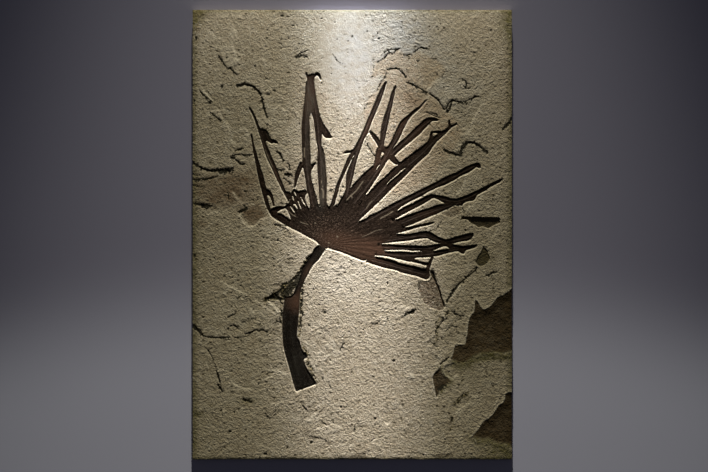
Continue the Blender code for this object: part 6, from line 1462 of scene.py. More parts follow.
def far_from(x, y, points, least):
    """Which of x, y are at least `least` from every point."""
    tree = KDTree(len(points))
    for i, (a, b) in enumerate(points.tolist()):
        tree.insert((a, b, 0.0), i)
    tree.balance()
    return np.array([tree.find((a, b, 0.0))[2] >= least for a, b in zip(x.tolist(), y.tolist())], bool)


def triangulate(points, edges=()):
    out = delaunay_2d_cdt([Vector(p) for p in points.tolist()], [tuple(e) for e in edges], [], 0, 1e-8)
    verts = np.array([(v.x, v.y) for v in out[0]])
    return verts, np.array([f for f in out[2] if len(f) == 3], int)


def make_object(name, verts, faces, material, smooth_angle=None):
    mesh = bpy.data.meshes.new(name)
    mesh.from_pydata(verts.tolist() if hasattr(verts, "tolist") else verts, [], faces)
    mesh.validate()
    mesh.shade_smooth()
    if smooth_angle:
        mesh.set_sharp_from_angle(angle=math.radians(smooth_angle))
    obj = bpy.data.objects.new(name, mesh)
    bpy.context.scene.collection.objects.link(obj)
    mesh.materials.append(material)
    return obj


def colour_layer(mesh, name, columns):
    layer = mesh.attributes.new(name, "FLOAT_COLOR", "POINT")
    n = len(mesh.vertices)
    data = np.zeros((n, 4), np.float32)
    for i, c in enumerate(columns):
        data[:, i] = np.clip(c, 0, 1)
    layer.data.foreach_set("color", data.ravel())


def face_points():
    """Extra points for the slab's face: rows along every edge, rings round the pits, a finer field where the stone is
    crumbly.
    """
    rows = []
    for loops in RAW.values():
        for loop in loops:
            p = resample(loop, 0.0018, closed=True)
            _, nx, ny = signed(p[:, 0], p[:, 1], [loop], 0.001)
            own_out = 1.0
            t = tangents(p, closed=True)
            for side in (1.0, -1.0):
                n = np.column_stack((t[:, 1], -t[:, 0])) * side
                w = wall_width(n[:, 1], RIM_LOW, RIM_UP)
                for k, extra in ((0.0, 0.0), (0.5, 0.0), (1.0, 0.0), (1.0, 0.0014)):
                    if k == 0.0 and side < 0:
                        continue
                    off = w * k + extra
                    q = p + n * off[:, None]
                    d, _, _ = bed(q[:, 0], q[:, 1])
                    ok = np.abs(d - off) < 0.00022
                    if k == 0.5:
                        ok &= w > 0.0016
                    rows.append(q[ok])
    for loops, deep, low, up in CUTS:
        loop = loops[0]
        t = tangents(loop, closed=True)
        turn = (loop[:, 0] * np.roll(loop[:, 1], -1) - np.roll(loop[:, 0], -1) * loop[:, 1]).sum()
        n = np.column_stack((t[:, 1], -t[:, 0])) * (1 if turn > 0 else -1)
        w = wall_width(n[:, 1], low, up)
        for off in (-w, -0.3 * w, 0.3 * w):
            rows.append(loop + n * off[:, None])
    for sharp in (SHARP1, SHARP2, SHARP3):
        t = tangents(sharp)
        n = np.column_stack((-t[:, 1], t[:, 0]))
        for off in (-0.0018, -0.0007, 0.0, 0.0007, 0.0018):
            rows.append(sharp + n * off)
    for group, offs in ((DARK_LINES, (0.00035, -0.00035, -0.0016)), (RANDOM_LINES, (0.0003, -0.0004)), (LIGHT_LINES, (0.0008, -0.0008))):
        for h, line in group:
            t = tangents(line)
            n = np.column_stack((-t[:, 1], t[:, 0]))
            for off in offs:
                rows.append(line + n * off)
    for width, strength, flat in CREVICE_SHADE_LINES:
        line = resample(rounded(xy(flat), times=1), 0.0015)
        t = tangents(line)
        n = np.column_stack((-t[:, 1], t[:, 0]))
        for off in (-1.1, 0.0, 1.1):
            rows.append(line + n * (off * width * UNIT))
    for u, v, a, b, h in ALL_PITS:
        cx, cy = (u - MID_U) * UNIT, (MID_V - v) * UNIT
        k = 7
        ang = np.arange(k) * 2 * math.pi / k + u
        rows.append(np.array([[cx, cy]]))
        for ring in (0.6, 1.2):
            rows.append(np.column_stack((cx + np.cos(ang) * a * UNIT * ring, cy + np.sin(ang) * b * UNIT * ring)))
    pts = np.vstack(rows)
    x, y = grid_points(-0.17, 0.0, -0.30, 0.0, 0.0012, 14, 0.2)
    for fine_x, fine_y in ((x, y), grid_points(0.13, 0.24, -0.35, -0.10, 0.0017, 15, 0.2)):
        ok = crumbs(fine_x, fine_y)[0] > 0.33
        pts = np.vstack((pts, np.column_stack((fine_x, fine_y))[ok]))
    hx, hy = SLAB_W / 2 - 0.0022, SLAB_L / 2 - 0.0022
    pts = pts[(np.abs(pts[:, 0]) < hx) & (np.abs(pts[:, 1]) < hy)]
    return thin_out(pts, 0.00074)


def build_slab(material):
    feature = face_points()
    x, y = grid_points(-SLAB_W / 2 + 0.003, SLAB_W / 2 - 0.002, -SLAB_L / 2 + 0.003, SLAB_L / 2 - 0.002, GRID, 2, 0.16)
    ok = (np.abs(x) < SLAB_W / 2 - 0.0026) & (np.abs(y) < SLAB_L / 2 - 0.0026)
    x, y = x[ok], y[ok]
    ok = far_from(x, y, feature, GRID * 0.42)
    x, y = x[ok], y[ok]
    d, _, _ = bed(x, y, 0.012)
    hidden = (d < -0.0022) & ((np.arange(len(x)) % 4) != 0)
    x, y = x[~hidden], y[~hidden]
    feat_d, _, _ = bed(feature[:, 0], feature[:, 1])
    feature = feature[feat_d > -0.0016]

    def ring(inset, step):
        w, l = SLAB_W / 2 - inset, SLAB_L / 2 - inset
        nx, ny = int(round(2 * w / step)), int(round(2 * l / step))
        a = [(-w + 2 * w * i / nx, -l) for i in range(nx)] + [(w, -l + 2 * l * i / ny) for i in range(ny)]
        b = [(w - 2 * w * i / nx, l) for i in range(nx)] + [(-w, l - 2 * l * i / ny) for i in range(ny)]
        return np.array(a + b), nx, ny

    outer, nx, ny = ring(0.0, 0.0031)
    inner, _, _ = ring(0.0009, 0.0030)
    points = np.vstack((outer, inner, feature, np.column_stack((x, y))))
    n_ring = len(outer)
    bound = [(i, (i + 1) % n_ring) for i in range(n_ring)]
    verts, tris = triangulate(points, bound)
    # the ring's points lead the list that comes back
    if not np.allclose(verts[:n_ring], outer, atol=1e-7):
        raise RuntimeError("the rim moved in the triangulation")
    z, marks = stone(verts[:, 0], verts[:, 1])
    ex = np.minimum(SLAB_W / 2 - np.abs(verts[:, 0]), SLAB_L / 2 - np.abs(verts[:, 1]))
    chip = 0.0005 + 0.0006 * smooth(0.5 + 1.3 * fbm(verts[:, 0] / 0.02, verts[:, 1] / 0.02, 71, 3)) ** 2
    z = z - chip * (1 - smooth(ex / 0.0016)) - 0.0007 * np.exp(-ex / 0.004) * smooth(0.5 + 1.5 * noise(verts[:, 0] / 0.05, verts[:, 1] / 0.05, 73))
    z = np.minimum(z, SLAB_T)

    levels = [0.62, 0.38, 0.2, 0.07]
    tilt = np.zeros((len(levels), n_ring, 3))
    top = z[:n_ring]
    s = np.arange(n_ring)
    nrm = np.zeros((n_ring, 2))
    nrm[:nx] = (0, -1)
    nrm[nx:nx + ny] = (1, 0)
    nrm[nx + ny:2 * nx + ny] = (0, 1)
    nrm[2 * nx + ny:] = (-1, 0)
    for corner in (0, nx, nx + ny, 2 * nx + ny):
        nrm[corner] = 0.0
    for j, share in enumerate(levels):
        zz = top * share
        along = outer[:, 0] * 1.7 + outer[:, 1]
        dent = 0.00022 * fbm(along / 0.012, zz / 0.006 + j * 3.3, 81, 3) + 0.00018 * noise(along / 0.09, zz / 0.0022 + 5, 83)
        dent = np.minimum(dent, 0.0)
        tilt[j, :, 0] = outer[:, 0] + nrm[:, 0] * dent
        tilt[j, :, 1] = outer[:, 1] + nrm[:, 1] * dent
        tilt[j, :, 2] = zz
    n_top = len(verts)
    low = np.column_stack((outer * (1 - 0.0006 / SLAB_L), np.zeros(n_ring)))
    bx, by = grid_points(-SLAB_W / 2 + 0.009, SLAB_W / 2 - 0.008, -SLAB_L / 2 + 0.009, SLAB_L / 2 - 0.008, 0.019, 4, 0.12)
    ok = (np.abs(bx) < SLAB_W / 2 - 0.007) & (np.abs(by) < SLAB_L / 2 - 0.007)
    under, under_tris = triangulate(np.vstack((low[:, :2], np.column_stack((bx[ok], by[ok])))), bound)
    under_z = np.zeros(len(under))

    everything = np.vstack([np.column_stack((verts, z))] + [tilt[j] for j in range(len(levels))] + [np.column_stack((under, under_z))])
    faces = [tuple(t) for t in tris.tolist()]
    n_front = len(faces)
    starts = [0] + [n_top + j * n_ring for j in range(len(levels))] + [n_top + len(levels) * n_ring]
    for j in range(len(starts) - 1):
        a, b = starts[j], starts[j + 1]
        for i in range(n_ring):
            k = (i + 1) % n_ring
            faces.append((a + i, b + i, b + k, a + k))
    n_side = len(faces)
    base = starts[-1]
    faces += [(base + t[0], base + t[2], base + t[1]) for t in under_tris.tolist()]
    obj = make_object("slab_face", everything, faces, material, 42)
    mesh = obj.data

    brown, olive, tan, cool = tints(verts[:, 0], verts[:, 1], marks)
    extra = len(everything) - n_top

    def padded(a, value=0.0):
        return np.concatenate((a, np.full(extra, value)))

    side = np.zeros(len(everything))
    side[n_top:] = 1.0
    colour_layer(mesh, "marks", [padded(marks["crack_and_shade"]), padded(marks["rim"]), padded(marks["hollow_shade_crest_light"], 0.5), side])
    colour_layer(mesh, "breaks", [padded(marks["lamina"]), padded(marks["pocket"]), padded(marks["scrap"]), padded(olive)])
    colour_layer(mesh, "tints", [padded(brown), padded(tan), padded(cool), padded(0 * cool)])

    calm = blot(verts[:, 0], verts[:, 1], 344, 52, 34, 62, 1.5)
    bright = blot(verts[:, 0], verts[:, 1], 352, 274, 42, 30, 1.4)
    colour_layer(mesh, "extra", [padded(marks["crumb"]), padded(calm), padded(bright), padded(0 * calm)])

    # bake map: face, underside and the four sides, none over another
    uv = mesh.uv_layers.new(name="OFBake")
    loops = np.zeros(len(mesh.loops), int)
    mesh.loops.foreach_get("vertex_index", loops)
    totals = np.zeros(len(mesh.polygons), int)
    mesh.polygons.foreach_get("loop_total", totals)
    poly = np.repeat(np.arange(len(totals)), totals)
    co = everything[loops]
    s = 0.985 / SLAB_L
    out = np.column_stack(((co[:, 0] + SLAB_W / 2) * s + 0.002, (co[:, 1] + SLAB_L / 2) * s + 0.006))
    back = poly >= n_side
    sb = 0.19 / SLAB_W
    out[back] = np.column_stack(((co[back, 0] + SLAB_W / 2) * sb + 0.710, (co[back, 1] + SLAB_L / 2) * sb + 0.01))
    is_side = (poly >= n_front) & (poly < n_side)
    column = (poly - n_front) % n_ring
    edges = np.array([0, nx, nx + ny, 2 * nx + ny, 2 * (nx + ny)])
    which = np.clip(np.searchsorted(edges, column, side="right") - 1, 0, 3)
    along = np.where(which % 2 == 0, co[:, 0] + SLAB_W / 2, co[:, 1] + SLAB_L / 2)
    out[is_side] = np.column_stack((0.912 + which * 0.0215 + co[:, 2] * 0.8, 0.01 + along * 1.1))[is_side]
    uv.data.foreach_set("uv", out.astype(np.float32).ravel())
    return obj


# ---------------------------------------------------------------- the plant film
HX, HY = (HASTULA[0] - MID_U) * UNIT, (MID_V - HASTULA[1]) * UNIT
STALK_LINE = rounded(xy([(322, 247), (314, 260), (306, 271), (301, 284), (297, 297), (292, 312), (290.5, 330),
                         (292, 348), (297, 364), (306, 386)]), times=2)
RIBS = [(name, rounded(xy(line), times=1)) for name, lines in FOLDS.items() for line in lines]


def grain(px, py, name):
    """Across and along the fibres: round the leaf's base in the blade, along the centre line in the stalk."""
    if name == "petiole":
        a, b = STALK_LINE[:-1], STALK_LINE[1:]
        d, k, t, cx, cy = foot(px, py, a, b)
        e = b[k] - a[k]
        side = np.sign(e[:, 0] * (py - cy) - e[:, 1] * (px - cx))
        seg = np.hypot(*(b - a).T)
        start = np.concatenate(([0.0], np.cumsum(seg)))[:-1]
        return d * side, start[k] + t * seg[k]
    dx, dy = px - HX, py - HY
    r = np.hypot(dx, dy)
    ang = np.mod(np.arctan2(dy, dx) + 1.9, 2 * math.pi)
    return ang * 0.12, r


def near_lines(px, py, lines, scale=1.0):
    out = np.zeros(len(px))
    for row in lines:
        width, strength, flat = (row[0], 1.0, row[1]) if len(row) == 2 else row
        line = rounded(xy(flat), times=1) if len(flat) > 4 else xy(flat)
        at = near_box(px, py, line, width * UNIT * 2.2)
        if len(at):
            d = foot(px[at], py[at], line[:-1], line[1:])[0]
            out[at] = np.maximum(out[at], strength * np.exp(-((d / (0.5 * width * UNIT)) ** 2) * scale))
    return out


def film_height(px, py, name):
    across, along = grain(px, py, name)
    inward = free_depth(px, py, RAW[name])
    z = lay_of_stone(px, py) - (STALK_DEEP if name == "petiole" else FILM_DEEP)
    z += 0.5 * leathery(px, py)
    z -= 0.00045 * (1 - smooth(inward / 0.0013))
    z += 0.00040 * smooth(inward / 0.0040)
    if name == "petiole":
        z += 0.00055 * (1 - np.clip(np.abs(across) / 0.016, 0, 1) ** 2)
        z += 0.00013 * fbm(across / 0.0016, along / 0.030, 101, 2)
        z += 0.00012 * noise(across / 0.006, along / 0.004, 103)
    else:
        reach = smooth(along / 0.045)
        fold = np.abs(np.mod(across / 0.0125 + 0.25 * noise(across / 0.05, along / 0.09, 105), 1.0) - 0.5) * 2 - 0.5
        blade = 1.0 if name == "fan_blade" else 0.35
        z += 0.00034 * reach * fold * blade
        z += 0.00010 * fbm(across / 0.0022, along / 0.030, 107, 2)
        z += 0.00013 * noise(px / 0.0052, py / 0.0026, 109)
        z += 0.00010 * noise(px / 0.0022, py / 0.0016, 111)
    rib = np.zeros(len(px))
    for who, line in RIBS:
        if who != name:
            continue
        dd = foot(px, py, line[:-1], line[1:])[0]
        rib = np.maximum(rib, np.exp(-((dd / 0.0011) ** 2)))
        z -= 0.00028 * np.exp(-((dd / 0.0008) ** 2)) - 0.00022 * np.exp(-(((dd - 0.0018) / 0.0010) ** 2))
    pale = near_lines(px, py, PALE)
    dark = near_lines(px, py, DARK_FILM)
    z += 0.0003 * pale - 0.0004 * dark
    return z, across, along, inward, pale, dark, rib


def build_film(name, material):
    loops = SHAPES[name]
    step = FILM_GRID
    rim = np.vstack(loops)
    edges, n = [], 0
    for loop in loops:
        edges += [(n + i, n + (i + 1) % len(loop)) for i in range(len(loop))]
        n += len(loop)
    lo, hi = rim.min(0), rim.max(0)
    x, y = grid_points(lo[0], hi[0], lo[1], hi[1], step, 12, 0.12)
    ok = inside(x, y, loops[0])
    for island in loops[1:]:
        ok &= ~inside(x, y, island)
    x, y = x[ok], y[ok]
    ok = far_from(x, y, rim, step * 0.55)
    pts, tris = triangulate(np.vstack((rim, np.column_stack((x[ok], y[ok])))), edges)
    low_pts, low_tris = triangulate(rim, edges)

    def kept(p, t):
        mid = p[t].mean(1)
        good = inside(mid[:, 0], mid[:, 1], loops[0])
        for island in loops[1:]:
            good &= ~inside(mid[:, 0], mid[:, 1], island)
        a, b, c = p[t[:, 0]], p[t[:, 1]], p[t[:, 2]]
        area = (b[:, 0] - a[:, 0]) * (c[:, 1] - a[:, 1]) - (b[:, 1] - a[:, 1]) * (c[:, 0] - a[:, 0])
        return t[good & (np.abs(area) > 1e-12)]

    tris = kept(pts, tris)
    z, across, along, inward, pale, dark, rib = film_height(pts[:, 0], pts[:, 1], name)
    ends = np.concatenate((tris[:, [0, 1]], tris[:, [1, 2]], tris[:, [2, 0]]))
    key = np.sort(ends, axis=1)
    _, first, count = np.unique(key, axis=0, return_index=True, return_counts=True)
    border = ends[first[count == 1]]
    under = np.unique(border)
    index = np.full(len(pts), -1)
    index[under] = len(pts) + np.arange(len(under))
    base = lay_of_stone(pts[under, 0], pts[under, 1]) - UNDER
    verts = np.vstack((np.column_stack((pts, z)), np.column_stack((pts[under], base))))
    faces = [tuple(t) for t in tris.tolist()]
    faces += [(int(b), int(a), int(index[a]), int(index[b])) for a, b in border.tolist()]
    # underside: the border's own points joined up
    where = {(round(p[0], 7), round(p[1], 7)): int(index[i]) for i, p in zip(under.tolist(), pts[under].tolist())}
    low_pts_l = low_pts.tolist()
    for a, b, c in kept(low_pts, low_tris).tolist():
        ids = [where.get((round(low_pts_l[q][0], 7), round(low_pts_l[q][1], 7))) for q in (a, c, b)]
        if None not in ids and len(set(ids)) == 3:
            faces.append(tuple(ids))
    obj = make_object("film_" + name, verts, faces, material, 50)
    mesh = obj.data
    extra = len(under)
    pad = lambda a: np.concatenate((a, a[under]))
    dist = np.hypot(pts[:, 0] - HX, pts[:, 1] - HY)
    core = np.exp(-((dist / 0.075) ** 2))
    colour_layer(mesh, "film", [pad(smooth(inward / 0.0026)), pad(pale), pad(dark), pad(core)])
    red = np.clip(sum(blot(pts[:, 0], pts[:, 1], u, v, a, b, 1.2, t) * s for u, v, a, b, s, t in RED), 0, 1)
    grey = np.clip(sum(blot(pts[:, 0], pts[:, 1], u, v, a, b, 1.2, t) * s for u, v, a, b, s, t in GREENISH), 0, 1)
    colour_layer(mesh, "tone", [pad(red), pad(grey), pad(rib), pad(0 * red)])
    uv = mesh.uv_layers.new(name="Grain")
    li = np.zeros(len(mesh.loops), int)
    mesh.loops.foreach_get("vertex_index", li)
    g = np.column_stack((pad(across), pad(along)))[li]
    uv.data.foreach_set("uv", g.astype(np.float32).ravel())
    return obj

# ---------------------------------------------------------------- materials
class Graph:
    """A few short words for building a material's node tree."""

    def __init__(self, name):
        self.mat = bpy.data.materials.new(name)
        self.mat.use_nodes = True
        self.nt = self.mat.node_tree
        self.nt.nodes.clear()
        self.out = self.nt.nodes.new("ShaderNodeOutputMaterial")
        self.bsdf = self.nt.nodes.new("ShaderNodeBsdfPrincipled")
        self.nt.links.new(self.bsdf.outputs[0], self.out.inputs[0])

    def put(self, socket, value):
        if hasattr(value, "is_output"):
            self.nt.links.new(value, socket)
        elif isinstance(value, (tuple, list)) and len(value) == 3 and socket.type == "RGBA":
            socket.default_value = (*value, 1.0)
        else:
            socket.default_value = value

    def coords(self, which="Object"):
        return self.nt.nodes.new("ShaderNodeTexCoord").outputs[which]

    def uv(self, name):
        n = self.nt.nodes.new("ShaderNodeUVMap")
        n.uv_map = name
        return n.outputs[0]

    def stretch(self, vector, scale, shift=(0, 0, 0)):
        n = self.nt.nodes.new("ShaderNodeMapping")
        self.put(n.inputs["Vector"], vector)
        n.inputs["Scale"].default_value = scale
        n.inputs["Location"].default_value = shift
        return n.outputs[0]

    def noise(self, vector, scale=1.0, detail=3.0, rough=0.55, distort=0.0):
        n = self.nt.nodes.new("ShaderNodeTexNoise")
        self.put(n.inputs["Vector"], vector)
        n.inputs["Scale"].default_value = scale
        n.inputs["Detail"].default_value = detail
        n.inputs["Roughness"].default_value = rough
        n.inputs["Distortion"].default_value = distort
        return n.outputs["Fac"]

    def cells(self, vector, scale, feature="F1", randomness=1.0, flat=False):
        n = self.nt.nodes.new("ShaderNodeTexVoronoi")
        if flat:
            n.voronoi_dimensions = "2D"
        n.feature = feature
        self.put(n.inputs["Vector"], vector)
        n.inputs["Scale"].default_value = scale
        n.inputs["Randomness"].default_value = randomness
        return n.outputs["Distance"], (n.outputs["Color"] if feature == "F1" else None)

    def math(self, op, a, b=0.0, clamp=False):
        n = self.nt.nodes.new("ShaderNodeMath")
        n.operation = op
        n.use_clamp = clamp
        self.put(n.inputs[0], a)
        self.put(n.inputs[1], b)
        return n.outputs[0]

    def span(self, value, lo, hi, to_lo=0.0, to_hi=1.0, ease=True):
        n = self.nt.nodes.new("ShaderNodeMapRange")
        n.interpolation_type = "SMOOTHSTEP" if ease else "LINEAR"
        self.put(n.inputs["Value"], value)
        for key, v in (("From Min", lo), ("From Max", hi), ("To Min", to_lo), ("To Max", to_hi)):
            n.inputs[key].default_value = v
        return n.outputs[0]

    def mix(self, fac, a, b, kind="MIX"):
        n = self.nt.nodes.new("ShaderNodeMix")
        n.data_type = "RGBA"
        n.blend_type = kind
        n.clamp_factor = True
        self.put(n.inputs[0], fac)
        self.put(n.inputs[6], a)
        self.put(n.inputs[7], b)
        return n.outputs[2]

    def attribute(self, name):
        n = self.nt.nodes.new("ShaderNodeAttribute")
        n.attribute_name = name
        s = self.nt.nodes.new("ShaderNodeSeparateColor")
        self.nt.links.new(n.outputs["Color"], s.inputs[0])
        return s.outputs[0], s.outputs[1], s.outputs[2], n.outputs["Alpha"]

    def xyz(self, vector):
        n = self.nt.nodes.new("ShaderNodeSeparateXYZ")
        self.put(n.inputs[0], vector)
        return n.outputs

    def total(self, *values):
        out = values[0]
        for v in values[1:]:
            out = self.math("ADD", out, v)
        return out

    def bump(self, height, strength=1.0):
        n = self.nt.nodes.new("ShaderNodeBump")
        n.inputs["Strength"].default_value = strength
        n.inputs["Distance"].default_value = 1.0
        self.put(n.inputs["Height"], height)
        self.nt.links.new(n.outputs[0], self.bsdf.inputs["Normal"])

    def finish(self, colour, rough, specular=0.3):
        self.put(self.bsdf.inputs["Base Color"], colour)
        self.put(self.bsdf.inputs["Roughness"], rough)
        self.bsdf.inputs["Specular IOR Level"].default_value = specular
        return self.mat


def limestone():
    """Fine buff limestone, split along its bedding: mottled, speckled, dark in its cracks, with painted shade in
    hollows, on shaded sides and along the margins, and painted highlight where faces meet the light.
    """
    g = Graph("split_limestone")
    p = g.coords()
    crack_and_shade, rim, hollow_shade_crest_light, side = g.attribute("marks")
    lamina, pocket, scrap, olive = g.attribute("breaks")
    brown, tan, cool, _ = g.attribute("tints")
    crumb, calm, bright, _ = g.attribute("extra")
    broad = g.noise(p, 8.0, 3.0, 0.5, 0.4)
    mottle = g.noise(g.stretch(p, (52.0, 84.0, 60.0)), 1.0, 4.0, 0.6, 0.6)
    grain = g.noise(p, 420.0, 3.0, 0.6)
    dust = g.noise(p, 1500.0, 2.0, 0.6)
    c = g.mix(g.span(mottle, 0.32, 0.68), STONE_DEEP, STONE_PALE)
    c = g.mix(g.span(broad, 0.35, 0.7, 0.0, 0.35), c, STONE_WARM)
    c = g.mix(g.span(grain, 0.42, 0.68, 0.0, 0.48), c, (0.25, 0.215, 0.155))
    c = g.mix(g.span(grain, 0.30, 0.46, 0.42, 0.0), c, (0.68, 0.63, 0.54))
    # Painted shade in the relief's hollows and a painted highlight on its crests.
    c = g.mix(g.span(hollow_shade_crest_light, 0.15, 0.85, 0.30, 0.0), c, (0.25, 0.215, 0.15))
    c = g.mix(g.span(hollow_shade_crest_light, 0.5, 0.95, 0.0, 0.22), c, (0.66, 0.62, 0.54))
    # scattered mineral specks
    speck, tone = g.cells(p, 260.0)
    few = g.span(g.noise(p, 90.0, 2.0), 0.50, 0.66)
    c = g.mix(g.math("MULTIPLY", g.span(speck, 0.10, 0.24, 0.75, 0.0), few), c, (0.10, 0.075, 0.045))
    stain = g.noise(g.stretch(p, (95.0, 150.0, 100.0)), 1.0, 4.0, 0.65, 0.8)
    c = g.mix(g.math("MULTIPLY", brown, g.span(stain, 0.25, 0.7, 0.60, 1.0)), c, (0.160, 0.108, 0.066))
    c = g.mix(g.math("MULTIPLY", tan, g.span(stain, 0.3, 0.7, 0.15, 0.75)), c, (0.42, 0.315, 0.215))
    c = g.mix(g.math("MULTIPLY", cool, g.span(mottle, 0.3, 0.7, 0.35, 0.85)), c, (0.43, 0.435, 0.44))
    # Olive weathering, and painted shade along the slab's margins and corners.
    c = g.mix(g.math("MULTIPLY", olive, g.span(stain, 0.2, 0.75, 0.45, 1.0)), c, (0.118, 0.108, 0.036))
    # the lower bedding plane, dark with old organic matter
    dark = g.mix(g.span(stain, 0.3, 0.72), (0.024, 0.0145, 0.0048), (0.066, 0.042, 0.017))
    dark = g.mix(g.span(grain, 0.48, 0.72, 0.0, 0.5), dark, (0.125, 0.086, 0.042))
    c = g.mix(g.math("MULTIPLY", lamina, g.span(mottle, 0.2, 0.6, 0.80, 0.98)), c, dark)
    deep = g.mix(g.span(stain, 0.35, 0.7), (0.024, 0.019, 0.008), (0.062, 0.043, 0.018))
    c = g.mix(g.math("MULTIPLY", pocket, 0.94), c, deep)
    flecks = g.noise(g.stretch(p, (190.0, 310.0, 200.0)), 1.0, 4.0, 0.7, 0.5)
    c = g.mix(g.math("MULTIPLY", scrap, g.span(flecks, 0.34, 0.62, 0.25, 0.95)), c, (0.115, 0.078, 0.052))
    # Painted highlight on walls, lips and risers that face the light; partly paler fresh-cut stone.
    c = g.mix(g.math("MULTIPLY", rim, g.span(grain, 0.25, 0.75, 0.85, 0.55)), c, (0.66, 0.62, 0.53))
    net = g.noise(g.stretch(p, (34.0, 26.0, 30.0)), 1.0, 3.0, 0.55, 0.6)
    line = g.span(g.math("ABSOLUTE", g.math("SUBTRACT", net, 0.5)), 0.0, 0.012, 1.0, 0.0)
    some = g.span(g.noise(p, 17.0, 2.0), 0.47, 0.59)
    vein = g.math("MULTIPLY", g.math("MULTIPLY", line, some), g.span(g.math("MAXIMUM", lamina, pocket), 0.1, 0.5, 1.0, 0.0))
    c = g.mix(g.math("MULTIPLY", vein, 0.55), c, (0.70, 0.66, 0.57))
    c = g.mix(g.math("MULTIPLY", bright, g.span(mottle, 0.25, 0.7, 0.30, 0.62)), c, (0.70, 0.655, 0.565))
    c = g.mix(g.math("MULTIPLY", crumb, g.span(flecks, 0.34, 0.58, 0.25, 0.90)), c, (0.170, 0.135, 0.052))
    torn = g.noise(g.stretch(p, (330.0, 420.0, 300.0)), 1.0, 2.0, 0.6)
    chip, which = g.cells(g.stretch(p, (74.0, 112.0, 90.0)), 1.0, flat=True)
    pick = g.nt.nodes.new("ShaderNodeSeparateColor")
    g.put(pick.inputs[0], which)
    chip = g.math("ADD", chip, g.math("MULTIPLY", g.math("SUBTRACT", torn, 0.5), 0.55))
    chips = g.math("MULTIPLY", g.span(chip, 0.13, 0.22, 1.0, 0.0), g.span(pick.outputs[0], 0.80, 0.93))
    chips = g.math("MULTIPLY", chips, g.span(g.math("MAXIMUM", lamina, side), 0.1, 0.5, 1.0, 0.0))
    chips = g.math("MULTIPLY", chips, g.span(calm, 0.2, 0.8, 1.0, 0.35))
    c = g.mix(g.math("MULTIPLY", chips, 0.88), c, (0.055, 0.044, 0.024))
    # Near-black: dark cracks, and painted shade on the shaded sides of steps, walls, pits and crumbs.
    split = g.span(g.math("ADD", crack_and_shade, g.math("MULTIPLY", g.math("SUBTRACT", torn, 0.5), 0.9)), 0.26, 0.52)
    c = g.mix(g.math("MULTIPLY", split, 0.97), c, (0.015, 0.0135, 0.0068))
    # sawn sides and underside: thin bedding bands
    z = g.xyz(p)[2]
    wave = g.math("MULTIPLY", g.noise(p, 14.0, 2.0), 0.006)
    band = g.noise(g.stretch(p, (3.0, 3.0, 520.0)), 1.0, 3.0, 0.7)
    lay = g.mix(g.span(band, 0.35, 0.66), (0.29, 0.245, 0.17), (0.47, 0.42, 0.325))
    lay = g.mix(g.span(grain, 0.35, 0.75, 0.0, 0.4), lay, (0.22, 0.18, 0.12))
    saw = g.noise(g.stretch(p, (1400.0, 1400.0, 60.0)), 1.0, 2.0, 0.5)
    lay = g.mix(g.span(saw, 0.45, 0.75, 0.0, 0.25), lay, (0.55, 0.50, 0.41))
    below = g.span(z, -0.0002, 0.0004, 1.0, 0.0)
    arcs = g.noise(g.stretch(p, (22.0, 900.0, 20.0)), 1.0, 2.0, 0.5, 0.3)
    sole = g.mix(g.span(arcs, 0.35, 0.7), (0.36, 0.315, 0.235), (0.45, 0.405, 0.315))
    sole = g.mix(g.span(mottle, 0.4, 0.75, 0.0, 0.5), sole, (0.30, 0.25, 0.17))
    lay = g.mix(below, lay, sole)
    c = g.mix(side, c, lay)
    h1 = g.math("MULTIPLY", g.noise(g.stretch(p, (190.0, 175.0, 180.0)), 1.0, 2.0, 0.5, 0.3), BUMP_MID)
    h2 = g.math("MULTIPLY", g.noise(g.stretch(p, (345.0, 300.0, 300.0)), 1.0, 2.0, 0.6, 0.4), BUMP_FINE)
    h3 = g.math("MULTIPLY", g.noise(p, 620.0, 2.0, 0.6), BUMP_GRIT)
    crease = g.math("ABSOLUTE", g.math("SUBTRACT", g.noise(g.stretch(p, (120.0, 105.0, 110.0), (3.0, 1.0, 0.0)), 1.0, 2.0, 0.5, 0.5), 0.5))
    h4 = g.math("MULTIPLY", crease, BUMP_CREASE)
    h5 = g.math("MULTIPLY", vein, 0.00045)
    h6 = g.math("MULTIPLY", chips, -0.0009)
    height = g.math("MULTIPLY", g.total(h1, h2, h3, h4, h5, h6), g.span(calm, 0.1, 0.9, 1.0, 0.24))
    g.bump(height, 1.0)
    rough = g.span(grain, 0.3, 0.7, 0.82, 0.96)
    return g.finish(c, rough, 0.22)


